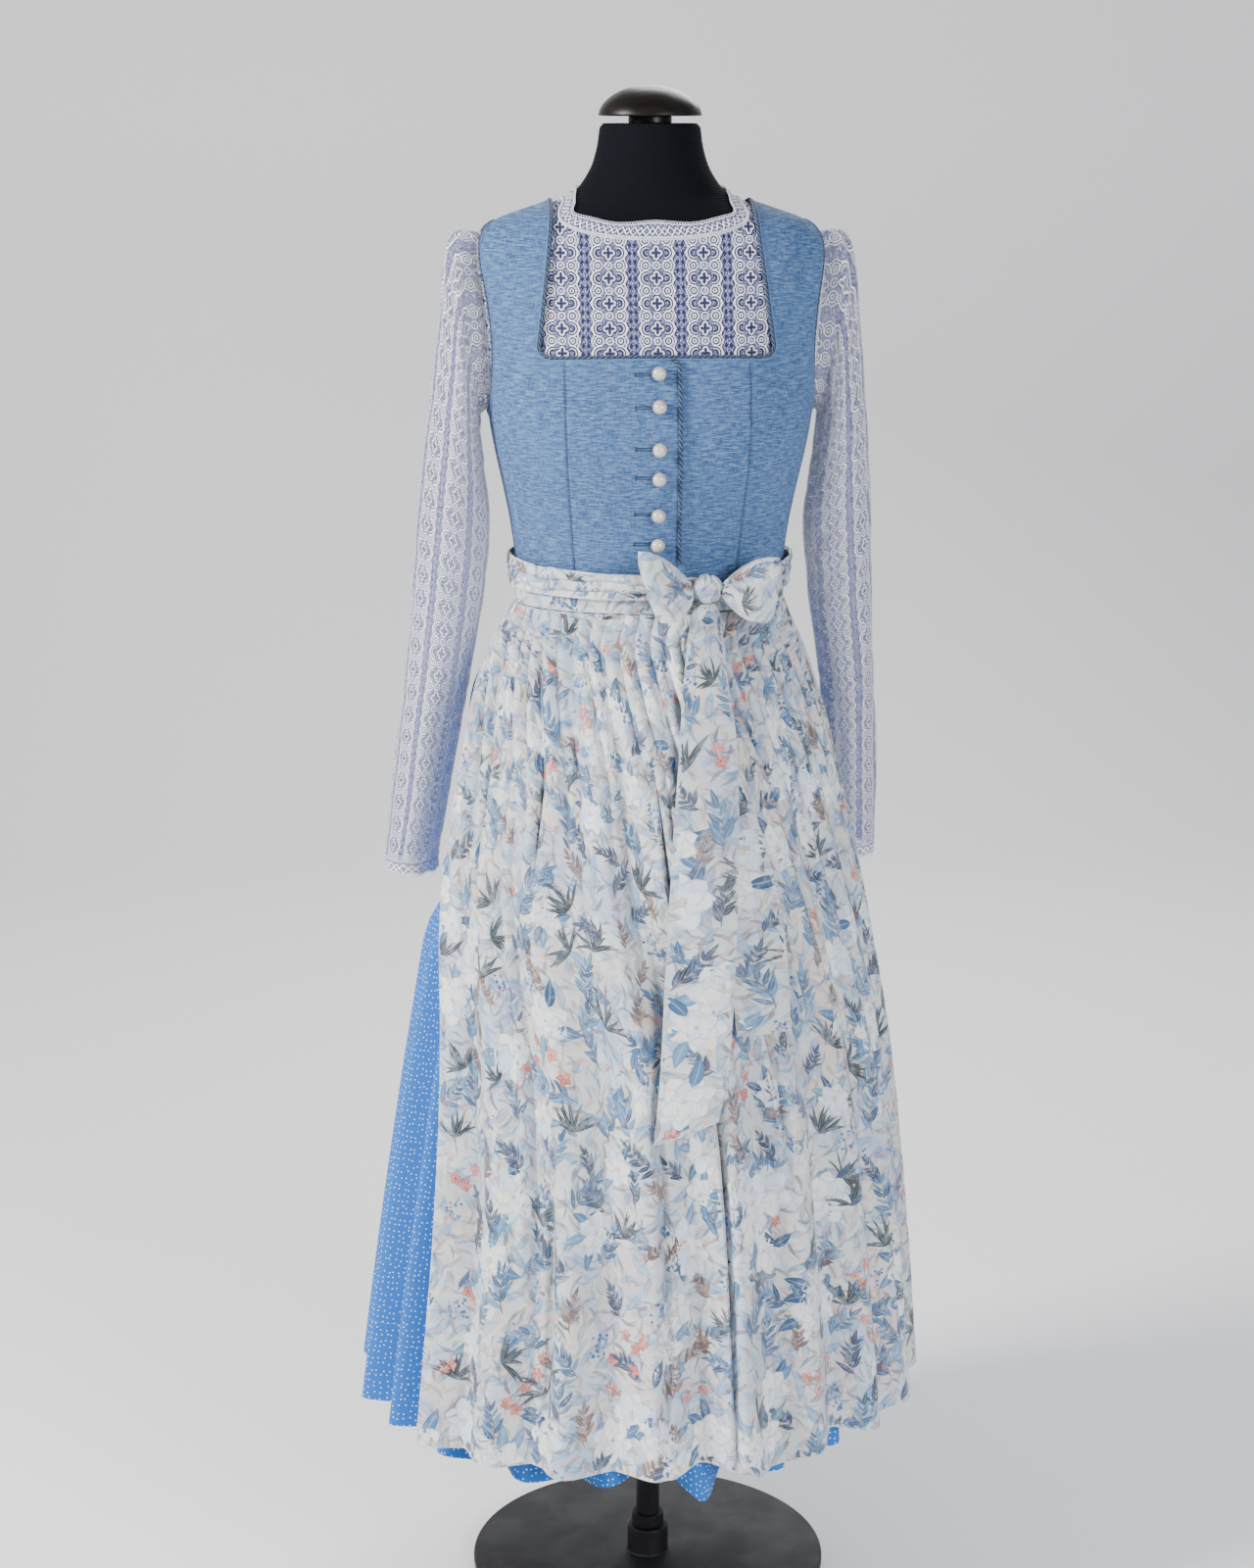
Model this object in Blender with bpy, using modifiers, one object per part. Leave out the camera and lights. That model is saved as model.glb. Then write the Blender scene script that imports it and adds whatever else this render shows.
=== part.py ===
"""A dirndl worn by a limbless dress form on a round stand.

Metres, +Z up. The wearer faces -Y, so +X is the wearer's left and -X the wearer's right.
The origin is the middle of the stand's underside. Angles round the figure are measured from +X
towards +Y: -90 degrees is the front, 0 the left side, 90 the back and 180 the right side.
"""
import math

import bmesh
import bpy
from mathutils import Vector

MM = 0.001

# Driving sizes of the garment
WAIST_Z = 1.060
SEAM_GAP = 0.3 * MM
BLOUSE_LIFT = 1.2 * MM
LACE_THICK = 1.0 * MM
BODICE_LIFT = 4.2 * MM
BODICE_THICK = 1.7 * MM
SKIRT_HEM_Z = 0.225
APRON_HEM_Z = 0.240
SKIRT_THICK = 1.5 * MM
APRON_THICK = 1.5 * MM
PIPING_RADIUS = 1.7 * MM
BUTTON_RADIUS = 7.2 * MM

# Neckline and armhole of the bodice, and armhole of the blouse
NECK_FRONT_Z = 1.3105
NECK_CORNER_X = 0.113
NECK_CORNER_RADIUS = 0.013
NECK_SHOULDER_X = 0.0985
NECK_BACK_Z = 1.392
SEAM_WAIST_X = 0.073
SEAM_NECK_X = 0.088
CLOSING_X = 0.0195
BUST_SEAM_Z = 1.215
ARMHOLE = {"bottom": 1.250, "top": 1.4340, "half_angle": math.radians(25)}
SLEEVE_HOLE = {"bottom": 1.256, "top": 1.4265, "half_angle": math.radians(15)}
BLOUSE_HEM_Z = 1.200
COLLAR_HEIGHT = 0.016
HOLE_STEP = 15
SLEEVE_STEP = 18

# Dress form, a little slimmer than the garment's inside below the shoulders, and its stand
FORM_EASE = 6.0 * MM
FORM_BOTTOM_Z = 0.780
FORM_TOP_Z = 1.532
POLE_RADIUS = 0.0125
BASE_RADIUS = 0.190
BASE_THICK = 0.010

SEAM_TURN = SEAM_GAP / 2 / 0.13
COLLAR_COLUMNS = 28
FRONT = math.radians(-90)
BACK = math.radians(90)


class Table:
    """A smooth curve through a short table: the first column is the key, and no row is overshot."""

    def __init__(self, columns, rows):
        self.columns = columns
        self.rows = sorted(rows)
        self.keys = [row[0] for row in self.rows]
        self.slopes = [self.column_slopes(i) for i in range(1, len(columns))]

    def column_slopes(self, index):
        """Slopes at the rows, by the harmonic mean of the two neighbours' slopes."""
        values = [row[index] for row in self.rows]
        steps = [
            (values[i + 1] - values[i]) / (self.keys[i + 1] - self.keys[i])
            for i in range(len(values) - 1)
        ]
        slopes = [steps[0]]
        for before, after in zip(steps, steps[1:]):
            slopes.append(2 * before * after / (before + after) if before * after > 0 else 0.0)
        slopes.append(steps[-1])
        return slopes

    def at(self, key):
        """The columns after the key, by Hermite curves between the rows."""
        key = min(max(key, self.keys[0]), self.keys[-1])
        i = max(0, sum(1 for k in self.keys if k <= key) - 1)
        i = min(i, len(self.keys) - 2)
        span = self.keys[i + 1] - self.keys[i]
        t = (key - self.keys[i]) / span
        low, high = self.rows[i], self.rows[i + 1]
        found = []
        for column, slopes in enumerate(self.slopes, start=1):
            found.append(
                (2 * t**3 - 3 * t**2 + 1) * low[column]
                + (t**3 - 2 * t**2 + t) * span * slopes[i]
                + (3 * t**2 - 2 * t**3) * high[column]
                + (t**3 - t**2) * span * slopes[i + 1]
            )
        return found


# Cross sections of the dress form's torso and neck, from its bottom edge to the neck's top
TORSO = Table(
    ("z", "half_width", "front", "back", "squareness"),
    [
        (0.780, 0.1380, 0.096, 0.104, 2.00),
        (0.800, 0.1460, 0.101, 0.110, 2.00),
        (0.860, 0.1510, 0.104, 0.116, 2.00),
        (0.920, 0.1490, 0.102, 0.112, 2.00),
        (0.970, 0.1410, 0.097, 0.102, 2.00),
        (1.020, 0.1290, 0.092, 0.092, 2.00),
        (1.060, 0.1270, 0.0915, 0.0895, 2.00),
        (1.100, 0.1295, 0.0945, 0.0905, 2.08),
        (1.140, 0.1345, 0.1015, 0.0935, 2.18),
        (1.175, 0.1410, 0.1100, 0.0975, 2.28),
        (1.210, 0.1485, 0.1170, 0.1015, 2.35),
        (1.240, 0.1540, 0.1190, 0.1045, 2.40),
        (1.280, 0.1590, 0.1130, 0.1065, 2.45),
        (1.320, 0.1635, 0.1030, 0.1055, 2.50),
        (1.360, 0.1680, 0.0925, 0.1005, 2.50),
        (1.395, 0.1705, 0.0815, 0.0905, 2.50),
        (1.415, 0.1680, 0.0740, 0.0810, 2.40),
        (1.427, 0.1610, 0.0695, 0.0740, 2.30),
        (1.436, 0.1470, 0.0660, 0.0685, 2.20),
        (1.442, 0.1310, 0.0637, 0.0652, 2.15),
        (1.448, 0.1130, 0.0613, 0.0623, 2.10),
        (1.455, 0.0935, 0.0588, 0.0593, 2.05),
        (1.464, 0.0775, 0.0563, 0.0568, 2.00),
        (1.478, 0.0652, 0.0543, 0.0548, 2.00),
        (1.495, 0.0563, 0.0518, 0.0518, 2.00),
        (1.515, 0.0513, 0.0493, 0.0493, 2.00),
        (1.528, 0.0495, 0.0480, 0.0480, 2.00),
        (1.532, 0.0460, 0.0445, 0.0445, 2.00),
    ],
)
BUST = {"z": 1.236, "height": 0.055, "angle": math.radians(38), "spread": 0.46, "depth": 0.006}

# Cross sections between the skirt and the apron that lies over it
HANG = Table(
    ("z", "shift_x", "half_width", "front", "back"),
    [
        (0.220, -0.021, 0.288, 0.286, 0.298),
        (0.300, -0.018, 0.280, 0.277, 0.288),
        (0.410, -0.014, 0.268, 0.264, 0.274),
        (0.543, -0.009, 0.252, 0.246, 0.254),
        (0.640, -0.006, 0.2385, 0.230, 0.236),
        (0.736, -0.005, 0.2225, 0.212, 0.216),
        (0.820, -0.006, 0.207, 0.195, 0.198),
        (0.900, -0.007, 0.190, 0.176, 0.179),
        (0.970, -0.007, 0.172, 0.153, 0.156),
        (1.005, -0.005, 0.160, 0.138, 0.140),
        (1.030, -0.003, 0.149, 0.122, 0.124),
        (1.048, -0.001, 0.1390, 0.1085, 0.1085),
        (1.0605, 0.000, 0.1335, 0.0985, 0.0965),
    ],
)

# Depth of the folds, crest to valley, from hem to waist
FOLDS = Table(
    ("z", "skirt", "apron"),
    [
        (0.220, 0.042, 0.028),
        (0.500, 0.032, 0.022),
        (0.750, 0.021, 0.015),
        (0.900, 0.012, 0.011),
        (1.000, 0.0055, 0.0075),
        (1.0605, 0.0016, 0.0028),
    ],
)

# Side edges of the apron round the figure, in degrees
APRON_EDGES = Table(
    ("z", "right_edge", "left_edge"),
    [
        (0.220, -136.5, 8.0),
        (0.400, -138.0, 7.0),
        (0.540, -141.0, 6.5),
        (0.650, -146.0, 5.5),
        (0.740, -153.0, 4.0),
        (0.820, -158.0, 2.0),
        (0.900, -159.0, -2.0),
        (0.970, -164.0, -8.0),
        (1.030, -173.0, -11.0),
        (1.0605, -179.0, -2.0),
    ],
)

# Crests of the hem's folds round the figure, in degrees
SKIRT_CRESTS = [-136, -116, -98, -80, -62, -46, -29, -12, 12, 34, 56, 78, 100, 122, 145, 168, 192, 207, 224]
APRON_CRESTS = [-136.5, -121, -106, -88, -72, -57, -41, -25, -8, 8]
SKIRT_LEVELS = [0.225, 0.44, 0.64, 0.79, 0.89, 0.965, 1.022, WAIST_Z - SEAM_GAP]
APRON_LEVELS = [0.240, 0.44, 0.64, 0.79, 0.89, 0.965, 1.022, 1.0605]

# Sleeves, wearer's right and left: inner and outer edge seen from the front, set-back and half depth
SLEEVE_COLUMNS = ("inner_x", "inner_z", "outer_x", "outer_z", "set_back", "half_depth")
SLEEVE_CAP = [
    (0.1685, 1.2500, 0.1900, 1.4290, 0.000, 0.044),
    (0.1690, 1.2440, 0.2000, 1.4180, 0.001, 0.050),
    (0.1690, 1.2340, 0.2060, 1.3900, 0.002, 0.053),
    (0.1680, 1.2200, 0.2100, 1.3450, 0.004, 0.054),
]
SLEEVE_RIGHT = SLEEVE_CAP + [
    (0.1650, 1.1880, 0.2180, 1.2780, 0.006, 0.053),
    (0.1610, 1.1350, 0.2300, 1.1880, 0.010, 0.051),
    (0.1690, 1.0530, 0.2405, 1.0780, 0.021, 0.048),
    (0.1875, 0.9500, 0.2520, 0.9560, 0.033, 0.045),
    (0.2170, 0.7870, 0.2730, 0.7870, 0.048, 0.042),
]
SLEEVE_LEFT = SLEEVE_CAP + [
    (0.1640, 1.1880, 0.2170, 1.2780, 0.008, 0.053),
    (0.1590, 1.1350, 0.2255, 1.1880, 0.017, 0.051),
    (0.1680, 1.0530, 0.2320, 1.0780, 0.036, 0.048),
    (0.1845, 0.9500, 0.2405, 0.9560, 0.060, 0.045),
    (0.1940, 0.7870, 0.2480, 0.7870, 0.088, 0.042),
]

# Heights of the six buttons that show above the apron's tie
BUTTON_HEIGHTS = [1.2957, 1.2650, 1.2271, 1.1998, 1.1638, 1.1332]

# Tails of the bow, from the knot to the cut end: edges seen from the front and clearance over the apron
TAIL_COLUMNS = ("z_right", "x_right", "z_left", "x_left", "lift")
LONG_TAIL = [
    (1.0740, 0.0410, 1.0740, 0.0550, 0.0178),
    (1.0600, 0.0320, 1.0600, 0.0610, 0.0120),
    (1.0017, 0.0211, 1.0017, 0.0650, 0.0065),
    (0.9478, 0.0159, 0.9478, 0.0718, 0.0052),
    (0.8578, 0.0071, 0.8578, 0.0723, 0.0048),
    (0.7323, -0.0024, 0.7323, 0.0663, 0.0042),
    (0.6403, -0.0085, 0.6403, 0.0584, 0.0036),
    (0.5712, -0.0156, 0.5910, 0.0474, 0.0036),
]
SHORT_TAIL = [
    (1.0700, 0.0430, 1.0700, 0.0585, 0.0060),
    (1.0600, 0.0410, 1.0600, 0.0600, 0.0040),
    (1.0017, 0.0350, 1.0017, 0.0600, 0.0015),
    (0.9478, 0.0360, 0.9478, 0.0680, 0.0010),
    (0.9000, 0.0380, 0.9000, 0.0800, 0.0004),
    (0.8400, 0.0460, 0.8400, 0.1016, 0.0001),
    (0.7587, 0.0590, 0.7587, 0.1181, 0.0001),
    (0.6686, 0.0677, 0.6666, 0.1233, 0.0001),
]


def smooth(low, high, value):
    """0 below low, 1 above high, and an easy curve between them."""
    t = min(max((value - low) / (high - low), 0.0), 1.0)
    return t * t * (3 - 2 * t)


def signed_power(value, power):
    return math.copysign(abs(value) ** power, value)


def torso_skin(angle, z):
    """A point on the dress form, at an angle round it and a height."""
    half_width, front, back, squareness = TORSO.at(z)
    c, s = math.cos(angle), math.sin(angle)
    depth = front if s < 0 else back
    swell = math.exp(-(((z - BUST["z"]) / BUST["height"]) ** 2)) * BUST["depth"]
    for side in (-1, 1):
        off = (angle - (FRONT + side * BUST["angle"]) + math.pi) % (2 * math.pi) - math.pi
        half_width_gain = swell * math.exp(-((off / BUST["spread"]) ** 2))
        half_width += half_width_gain * abs(c)
        depth += half_width_gain
    return Vector((
        half_width * signed_power(c, 2 / squareness),
        depth * signed_power(s, 2 / squareness),
        z,
    ))


def torso_normal(angle, z):
    """The direction straight out of the dress form."""
    da, dz = 0.01, 0.0008
    along = torso_skin(angle + da, z) - torso_skin(angle - da, z)
    up = torso_skin(angle, z + dz) - torso_skin(angle, z - dz)
    return along.cross(up).normalized()


def torso_point(angle, z, lift=0.0):
    return torso_skin(angle, z) + torso_normal(angle, z) * lift


def angle_at(x, z, back=False):
    """The angle round the figure where its skin is that far to the side at that height."""
    half_width, _, _, squareness = TORSO.at(z)
    share = min(abs(x) / half_width, 1.0)
    turn = math.acos(share ** (squareness / 2))
    side = turn if x >= 0 else math.pi - turn
    return side if back else -side


def ridge_height(x):
    """The height of the shoulder's ridge at a distance to the side."""
    low, high = 1.400, 1.530
    for _ in range(40):
        middle = (low + high) / 2
        if TORSO.at(middle)[0] > x:
            low = middle
        else:
            high = middle
    return low


def hang_point(angle, z, lift=0.0):
    """A point on the smooth surface that parts the skirt from the apron, moved out by lift."""
    shift, half_width, front, back = HANG.at(z)
    depth = front if math.sin(angle) < 0 else back
    return Vector((
        shift + (half_width + lift) * math.cos(angle),
        (depth + lift) * math.sin(angle),
        z,
    ))


def apron_front_y(x, z, lift):
    """How far forward the crests of the apron's folds reach at a place seen from the front."""
    shift, half_width, front, _ = HANG.at(z)
    reach = FOLDS.at(z)[1] + APRON_THICK + 1 * MM + lift
    share = min(abs(x - shift) / (half_width + reach), 1.0)
    return -(front + reach) * math.sqrt(1 - share * share)


def material(name, colour, roughness, metallic=0.0):
    made = bpy.data.materials.new(name)
    made.use_nodes = True
    shader = made.node_tree.nodes["Principled BSDF"]
    shader.inputs["Base Color"].default_value = (*colour, 1.0)
    shader.inputs["Roughness"].default_value = roughness
    shader.inputs["Metallic"].default_value = metallic
    made.diffuse_color = (*colour, 1.0)
    return made


def show(name, mesh, finish, smooth_angle=50):
    """Puts a mesh in the scene as one named object."""
    made = bpy.data.objects.new(name, mesh)
    made.data.materials.append(finish)
    made.data.shade_smooth()
    made.data.set_sharp_from_angle(angle=math.radians(smooth_angle))
    PARTS.objects.link(made)
    return made


def sheet_mesh(name, rows, closed=False):
    """An open surface through rows of points, each row as long as the next."""
    bm = bmesh.new()
    grid = [[bm.verts.new(point) for point in row] for row in rows]
    columns = len(rows[0])
    for low, high in zip(grid, grid[1:]):
        for i in range(columns if closed else columns - 1):
            j = (i + 1) % columns
            bm.faces.new((low[i], low[j], high[j], high[i]))
    mesh = bpy.data.meshes.new(name)
    bm.to_mesh(mesh)
    bm.free()
    return mesh


def wall(name, rows, thick, finish, closed=False, mirrored=False, even=False):
    """Cloth: an open surface with its thickness added on the outer side."""
    made = show(name, sheet_mesh(name, rows, closed), finish)
    if mirrored:
        mirror = made.modifiers.new("mirror", "MIRROR")
        mirror.merge_threshold = 0.00005
    solid = made.modifiers.new("thickness", "SOLIDIFY")
    solid.thickness = thick
    solid.offset = 1.0
    solid.use_even_offset = even
    return made


def resample(path, count, lift=0.0):
    """Places evenly spaced along a path of (angle, height) places on the torso."""
    points = [torso_point(a, z, lift) for a, z in path]
    lengths = [0.0]
    for before, after in zip(points, points[1:]):
        lengths.append(lengths[-1] + (after - before).length)
    found = []
    i = 0
    for k in range(count + 1):
        target = lengths[-1] * k / count
        while i < len(path) - 2 and lengths[i + 1] < target:
            i += 1
        span = max(lengths[i + 1] - lengths[i], 1e-12)
        t = min(max((target - lengths[i]) / span, 0.0), 1.0)
        found.append((
            path[i][0] + (path[i + 1][0] - path[i][0]) * t,
            path[i][1] + (path[i + 1][1] - path[i][1]) * t,
        ))
    return found


def panel_rows(left, right, columns, lift):
    """Rows of points on the torso between two edges, which have as many places as each other."""
    rows = []
    for (angle_a, z_a), (angle_b, z_b) in zip(left, right):
        rows.append([
            torso_point(
                angle_a + (angle_b - angle_a) * k / columns,
                z_a + (z_b - z_a) * k / columns,
                lift,
            )
            for k in range(columns + 1)
        ])
    return rows


def straight_edge(x_low, z_low, x_high, z_high, back=False, steps=24):
    """An edge that looks straight from the front or the back."""
    path = []
    for k in range(steps + 1):
        z = z_low + (z_high - z_low) * k / steps
        x = x_low + (x_high - x_low) * k / steps
        path.append((angle_at(x, z, back), z))
    return path


def hole_edge(hole, start, end, step, back=False):
    """Part of an armhole, its turn running from -90 at the armpit to 90 degrees at the shoulder's tip."""
    middle = (hole["bottom"] + hole["top"]) / 2
    half = (hole["top"] - hole["bottom"]) / 2
    path = []
    for turn in range(start, end + 1, step):
        swing = hole["half_angle"] * math.cos(math.radians(turn))
        path.append((swing if back else -swing, middle + half * math.sin(math.radians(turn))))
    return path


def strap_edge():
    """The bodice's front neckline on the wearer's left: bottom edge, round corner and strap, up to the ridge."""
    radius = NECK_CORNER_RADIUS
    corner_x = NECK_CORNER_X - radius
    corner_z = neck_front_height(corner_x) + radius
    top = ridge_height(NECK_SHOULDER_X)
    places = [(SEAM_NECK_X, neck_front_height(SEAM_NECK_X))]
    for turn in (-90, -45, 0):
        c, s = math.cos(math.radians(turn)), math.sin(math.radians(turn))
        places.append((corner_x + radius * c, corner_z + radius * s))
    for k in range(1, 7):
        share = math.sin(math.pi / 2 * k / 6)
        x = NECK_CORNER_X + (NECK_SHOULDER_X - NECK_CORNER_X) * share
        places.append((x, corner_z + (top - corner_z) * share))
    path = [(angle_at(x, z), z) for x, z in places]
    path[-1] = (0.0, top)
    return path


def neck_front_height(x):
    """The bottom edge of the square neckline, a little higher in the middle."""
    return NECK_FRONT_Z - 2 * MM * (x / NECK_CORNER_X) ** 2


def back_neck_edge(steps=36):
    """The bodice's back neckline on the wearer's left, from the middle of the back to the ridge."""
    top = ridge_height(NECK_SHOULDER_X)
    path = []
    for k in range(steps + 1):
        turn = math.pi / 2 * k / steps
        x = NECK_SHOULDER_X * math.sin(turn) ** 0.75
        z = top - (top - NECK_BACK_Z) * math.cos(turn) ** 0.75
        path.append((angle_at(x, z, back=True), z))
    path[-1] = (0.0, top)
    return path


def moved_round(path, amount):
    """A path on the torso, shifted round it by a distance."""
    return [(a + amount / 0.13, z) for a, z in path]


def collar_base(angle):
    """The height of the neck seam of the blouse round the neck."""
    s = math.sin(angle)
    return 1.4580 - 0.0355 * (-s) ** 2.5 if s < 0 else 1.4580 + 0.002 * s * s


def up_the_neck(angle, z, distance):
    """The height reached from z by going that far up the torso's skin."""
    step = 0.0003
    place = torso_skin(angle, z)
    while distance > 0 and z < FORM_TOP_Z - 0.006:
        after = torso_skin(angle, z + step)
        gone = (after - place).length
        z += step * min(1.0, distance / gone)
        distance -= gone
        place = after
    return z


def ridge_path(z_from, z_to, steps=12):
    return [(0.0, z_from + (z_to - z_from) * k / steps) for k in range(steps + 1)]


def flip(rows):
    """The same rows for the other side of the figure, still facing out."""
    return [[Vector((-p.x, p.y, p.z)) for p in reversed(row)] for row in rows]


def loft_solid(name, rings, finish):
    """A closed solid through rings of points, with a flat cap at each end."""
    bm = bmesh.new()
    loops = [[bm.verts.new(point) for point in ring] for ring in rings]
    count = len(rings[0])
    for low, high in zip(loops, loops[1:]):
        for i in range(count):
            j = (i + 1) % count
            bm.faces.new((low[i], low[j], high[j], high[i]))
    bm.faces.new(list(reversed(loops[0])))
    bm.faces.new(loops[-1])
    mesh = bpy.data.meshes.new(name)
    bm.to_mesh(mesh)
    bm.free()
    return show(name, mesh, finish)


def make_dress_form():
    """The torso and neck in one piece, the neck's post and its domed cap."""
    levels = [
        0.780, 0.800, 0.860, 0.920, 0.980, 1.060, 1.130, 1.185, 1.240, 1.290, 1.340, 1.385, 1.415,
        1.431, 1.442, 1.452, 1.464, 1.480, 1.500, 1.528, 1.532,
    ]
    sides = 28
    rings = []
    for z in levels:
        under = FORM_EASE * (1 - smooth(1.420, 1.450, z))
        rings.append([torso_point(2 * math.pi * k / sides, z, -under) for k in range(sides)])
    for ring, z in zip(rings, levels):
        for point in ring:
            point.z = z
    loft_solid("form_torso", rings, FORM_CLOTH)

    post_high = 0.0065
    post = primitive("form_neck_post", "cylinder", FORM_CAP, radius=0.021, depth=post_high, vertices=16)
    post.location.z = FORM_TOP_Z + SEAM_GAP + post_high / 2
    profile = [
        (0.000, 0.0295), (0.020, 0.0276), (0.037, 0.0205), (0.047, 0.0115), (0.0508, 0.0035),
        (0.0495, 0.000), (0.000, 0.000),
    ]
    turned("form_cap", FORM_CAP, profile, FORM_TOP_Z + 2 * SEAM_GAP + post_high, 24)


def make_stand():
    """A round plate that rests on the floor, with a boss for the pole."""
    top = BASE_THICK
    boss = top + 0.030
    profile = [
        (0.000, boss), (0.020, boss), (0.022, boss - 0.002), (0.022, top), (BASE_RADIUS - 0.003, top),
        (BASE_RADIUS, top - 0.003), (BASE_RADIUS, 0.0), (0.000, 0.0),
    ]
    turned("stand_base", STAND_METAL, profile, 0.0, 32)
    low = boss + SEAM_GAP
    high = FORM_BOTTOM_Z - SEAM_GAP
    pole = primitive("stand_pole", "cylinder", STAND_METAL, radius=POLE_RADIUS, depth=high - low, vertices=16)
    pole.location.z = (low + high) / 2


def primitive(name, shape, finish, radius, depth=0.0, vertices=24, rings=8):
    """A Blender primitive as one named part."""
    bm = bmesh.new()
    if shape == "cylinder":
        bmesh.ops.create_cone(bm, cap_ends=True, segments=vertices, radius1=radius, radius2=radius, depth=depth)
    else:
        bmesh.ops.create_uvsphere(bm, u_segments=vertices, v_segments=rings, radius=radius)
    mesh = bpy.data.meshes.new(name)
    bm.to_mesh(mesh)
    bm.free()
    return show(name, mesh, finish)


def turned(name, finish, profile, z, sides):
    """A shape turned about +Z from a profile of (radius, height) that runs down its outer side."""
    mesh = bpy.data.meshes.new(name)
    mesh.from_pydata([(r, 0.0, h + z) for r, h in profile], [(i, i + 1) for i in range(len(profile) - 1)], [])
    made = show(name, mesh, finish)
    screw = made.modifiers.new("turn", "SCREW")
    screw.steps = sides
    screw.render_steps = sides
    screw.use_merge_vertices = True
    screw.merge_threshold = 0.0001
    return made


def make_blouse_body():
    """Front and back of the lace blouse, from its short hem to the neck seam, shoulders and sleeve seams."""
    for back in (False, True):
        facing = BACK if back else FRONT
        name = "blouse_back" if back else "blouse_front"
        turn = SEAM_TURN if back else -SEAM_TURN
        neck = []
        for k in range(COLLAR_COLUMNS // 4 + 1):
            angle = facing * (1 - 4 * k / COLLAR_COLUMNS)
            neck.append((angle, collar_base(angle)))
        middle = [(facing, z) for z in (BLOUSE_HEM_Z, 1.225, 1.249, 1.272, 1.325, 1.394)]
        side = [(0.0, BLOUSE_HEM_Z + (SLEEVE_HOLE["bottom"] - BLOUSE_HEM_Z) * k / 3) for k in range(3)]
        inner = middle + neck
        outer = side + hole_edge(SLEEVE_HOLE, -90, 90, SLEEVE_STEP, back)
        inner[-1] = (turn, inner[-1][1])
        outer = [(a + turn, z) for a, z in outer]
        rows = panel_rows(inner, outer, 7, BLOUSE_LIFT)
        for row in rows[:len(middle) + 1]:
            row[0].x = 0.0
        if back:
            rows = [list(reversed(row)) for row in rows]
        wall(name, rows, LACE_THICK, LACE, mirrored=True)


def make_collar():
    """The lace band round the neck, with a scalloped top edge."""
    rows = []
    for level, distance in enumerate((4 * SEAM_GAP, COLLAR_HEIGHT / 2, COLLAR_HEIGHT)):
        row = []
        for k in range(COLLAR_COLUMNS):
            angle = 2 * math.pi * k / COLLAR_COLUMNS
            wave = 1.2 * MM * (1 if k % 2 else -1) if level == 2 else 0.0
            z = up_the_neck(angle, collar_base(angle), distance + wave)
            row.append(torso_point(angle, z, BLOUSE_LIFT + 0.4 * MM * level))
        rows.append(row)
    wall("blouse_collar", rows, LACE_THICK, LACE, closed=True)


def sleeve_rings(table, side):
    """Rings of points down a sleeve: the first lies just over the blouse's sleeve seam."""
    count = 360 // SLEEVE_STEP
    turns = [math.radians(SLEEVE_STEP * k) for k in range(count)]
    hole = dict(SLEEVE_HOLE)
    middle = (hole["bottom"] + hole["top"]) / 2
    half = (hole["top"] - hole["bottom"]) / 2 - 0.6 * MM
    lift = BLOUSE_LIFT + LACE_THICK + 0.5 * MM
    rings = [[
        torso_point((hole["half_angle"] - 0.006) * math.sin(t), middle + half * math.cos(t), lift) for t in turns
    ]]
    for row in table:
        values = dict(zip(SLEEVE_COLUMNS, row))
        inner = Vector((values["inner_x"], values["set_back"], values["inner_z"]))
        outer = Vector((values["outer_x"], values["set_back"], values["outer_z"]))
        centre, reach = (inner + outer) / 2, (outer - inner) / 2
        across = Vector((0.0, values["half_depth"], 0.0))
        rings.append([centre + reach * math.cos(t) + across * math.sin(t) for t in turns])
    return [[Vector((p.x * side, p.y, p.z)) for p in ring] for ring in rings]


def make_sleeves():
    """Two long lace sleeves, open at the cuff, each with a scalloped lace trim."""
    for word, table, side in (("right", SLEEVE_RIGHT, -1), ("left", SLEEVE_LEFT, 1)):
        rings = sleeve_rings(table, side)
        if side > 0:
            rings = [list(reversed(ring)) for ring in rings]
        made = wall("blouse_sleeve_" + word, rings, LACE_THICK, LACE, closed=True)
        made.modifiers["thickness"].offset = -1.0
        cuff = []
        for level in range(2):
            ring = []
            for k, point in enumerate(rings[-1]):
                wave = 1.2 * MM * (1 if k % 2 else -1) * level
                ring.append(Vector((point.x, point.y, point.z - SEAM_GAP - 0.012 * level + wave)))
            cuff.append(ring)
        trim = wall("blouse_cuff_" + word, cuff, LACE_THICK, LACE, closed=True)
        trim.modifiers["thickness"].offset = -1.0


def front_seam(shift):
    """The shaped seam from the waist to the neckline on the wearer's left, moved sideways by shift."""
    top = neck_front_height(SEAM_NECK_X)
    path = []
    for z in [WAIST_Z + (BUST_SEAM_Z - WAIST_Z) * k / 8 for k in range(8)] + [BUST_SEAM_Z, 1.247, 1.279, top]:
        t = (z - WAIST_Z) / (top - WAIST_Z)
        x = SEAM_WAIST_X + (SEAM_NECK_X - SEAM_WAIST_X) * t + 2.5 * MM * math.sin(math.pi * t) + shift
        path.append((angle_at(x, z), z))
    return path


def side_seam(turn):
    """The side seam of the bodice, from the waist to the armpit."""
    return [(turn, WAIST_Z + (ARMHOLE["bottom"] - WAIST_Z) * k / 8) for k in range(9)]


def turned_round(path, turn):
    return [(a + turn, z) for a, z in path]


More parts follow.
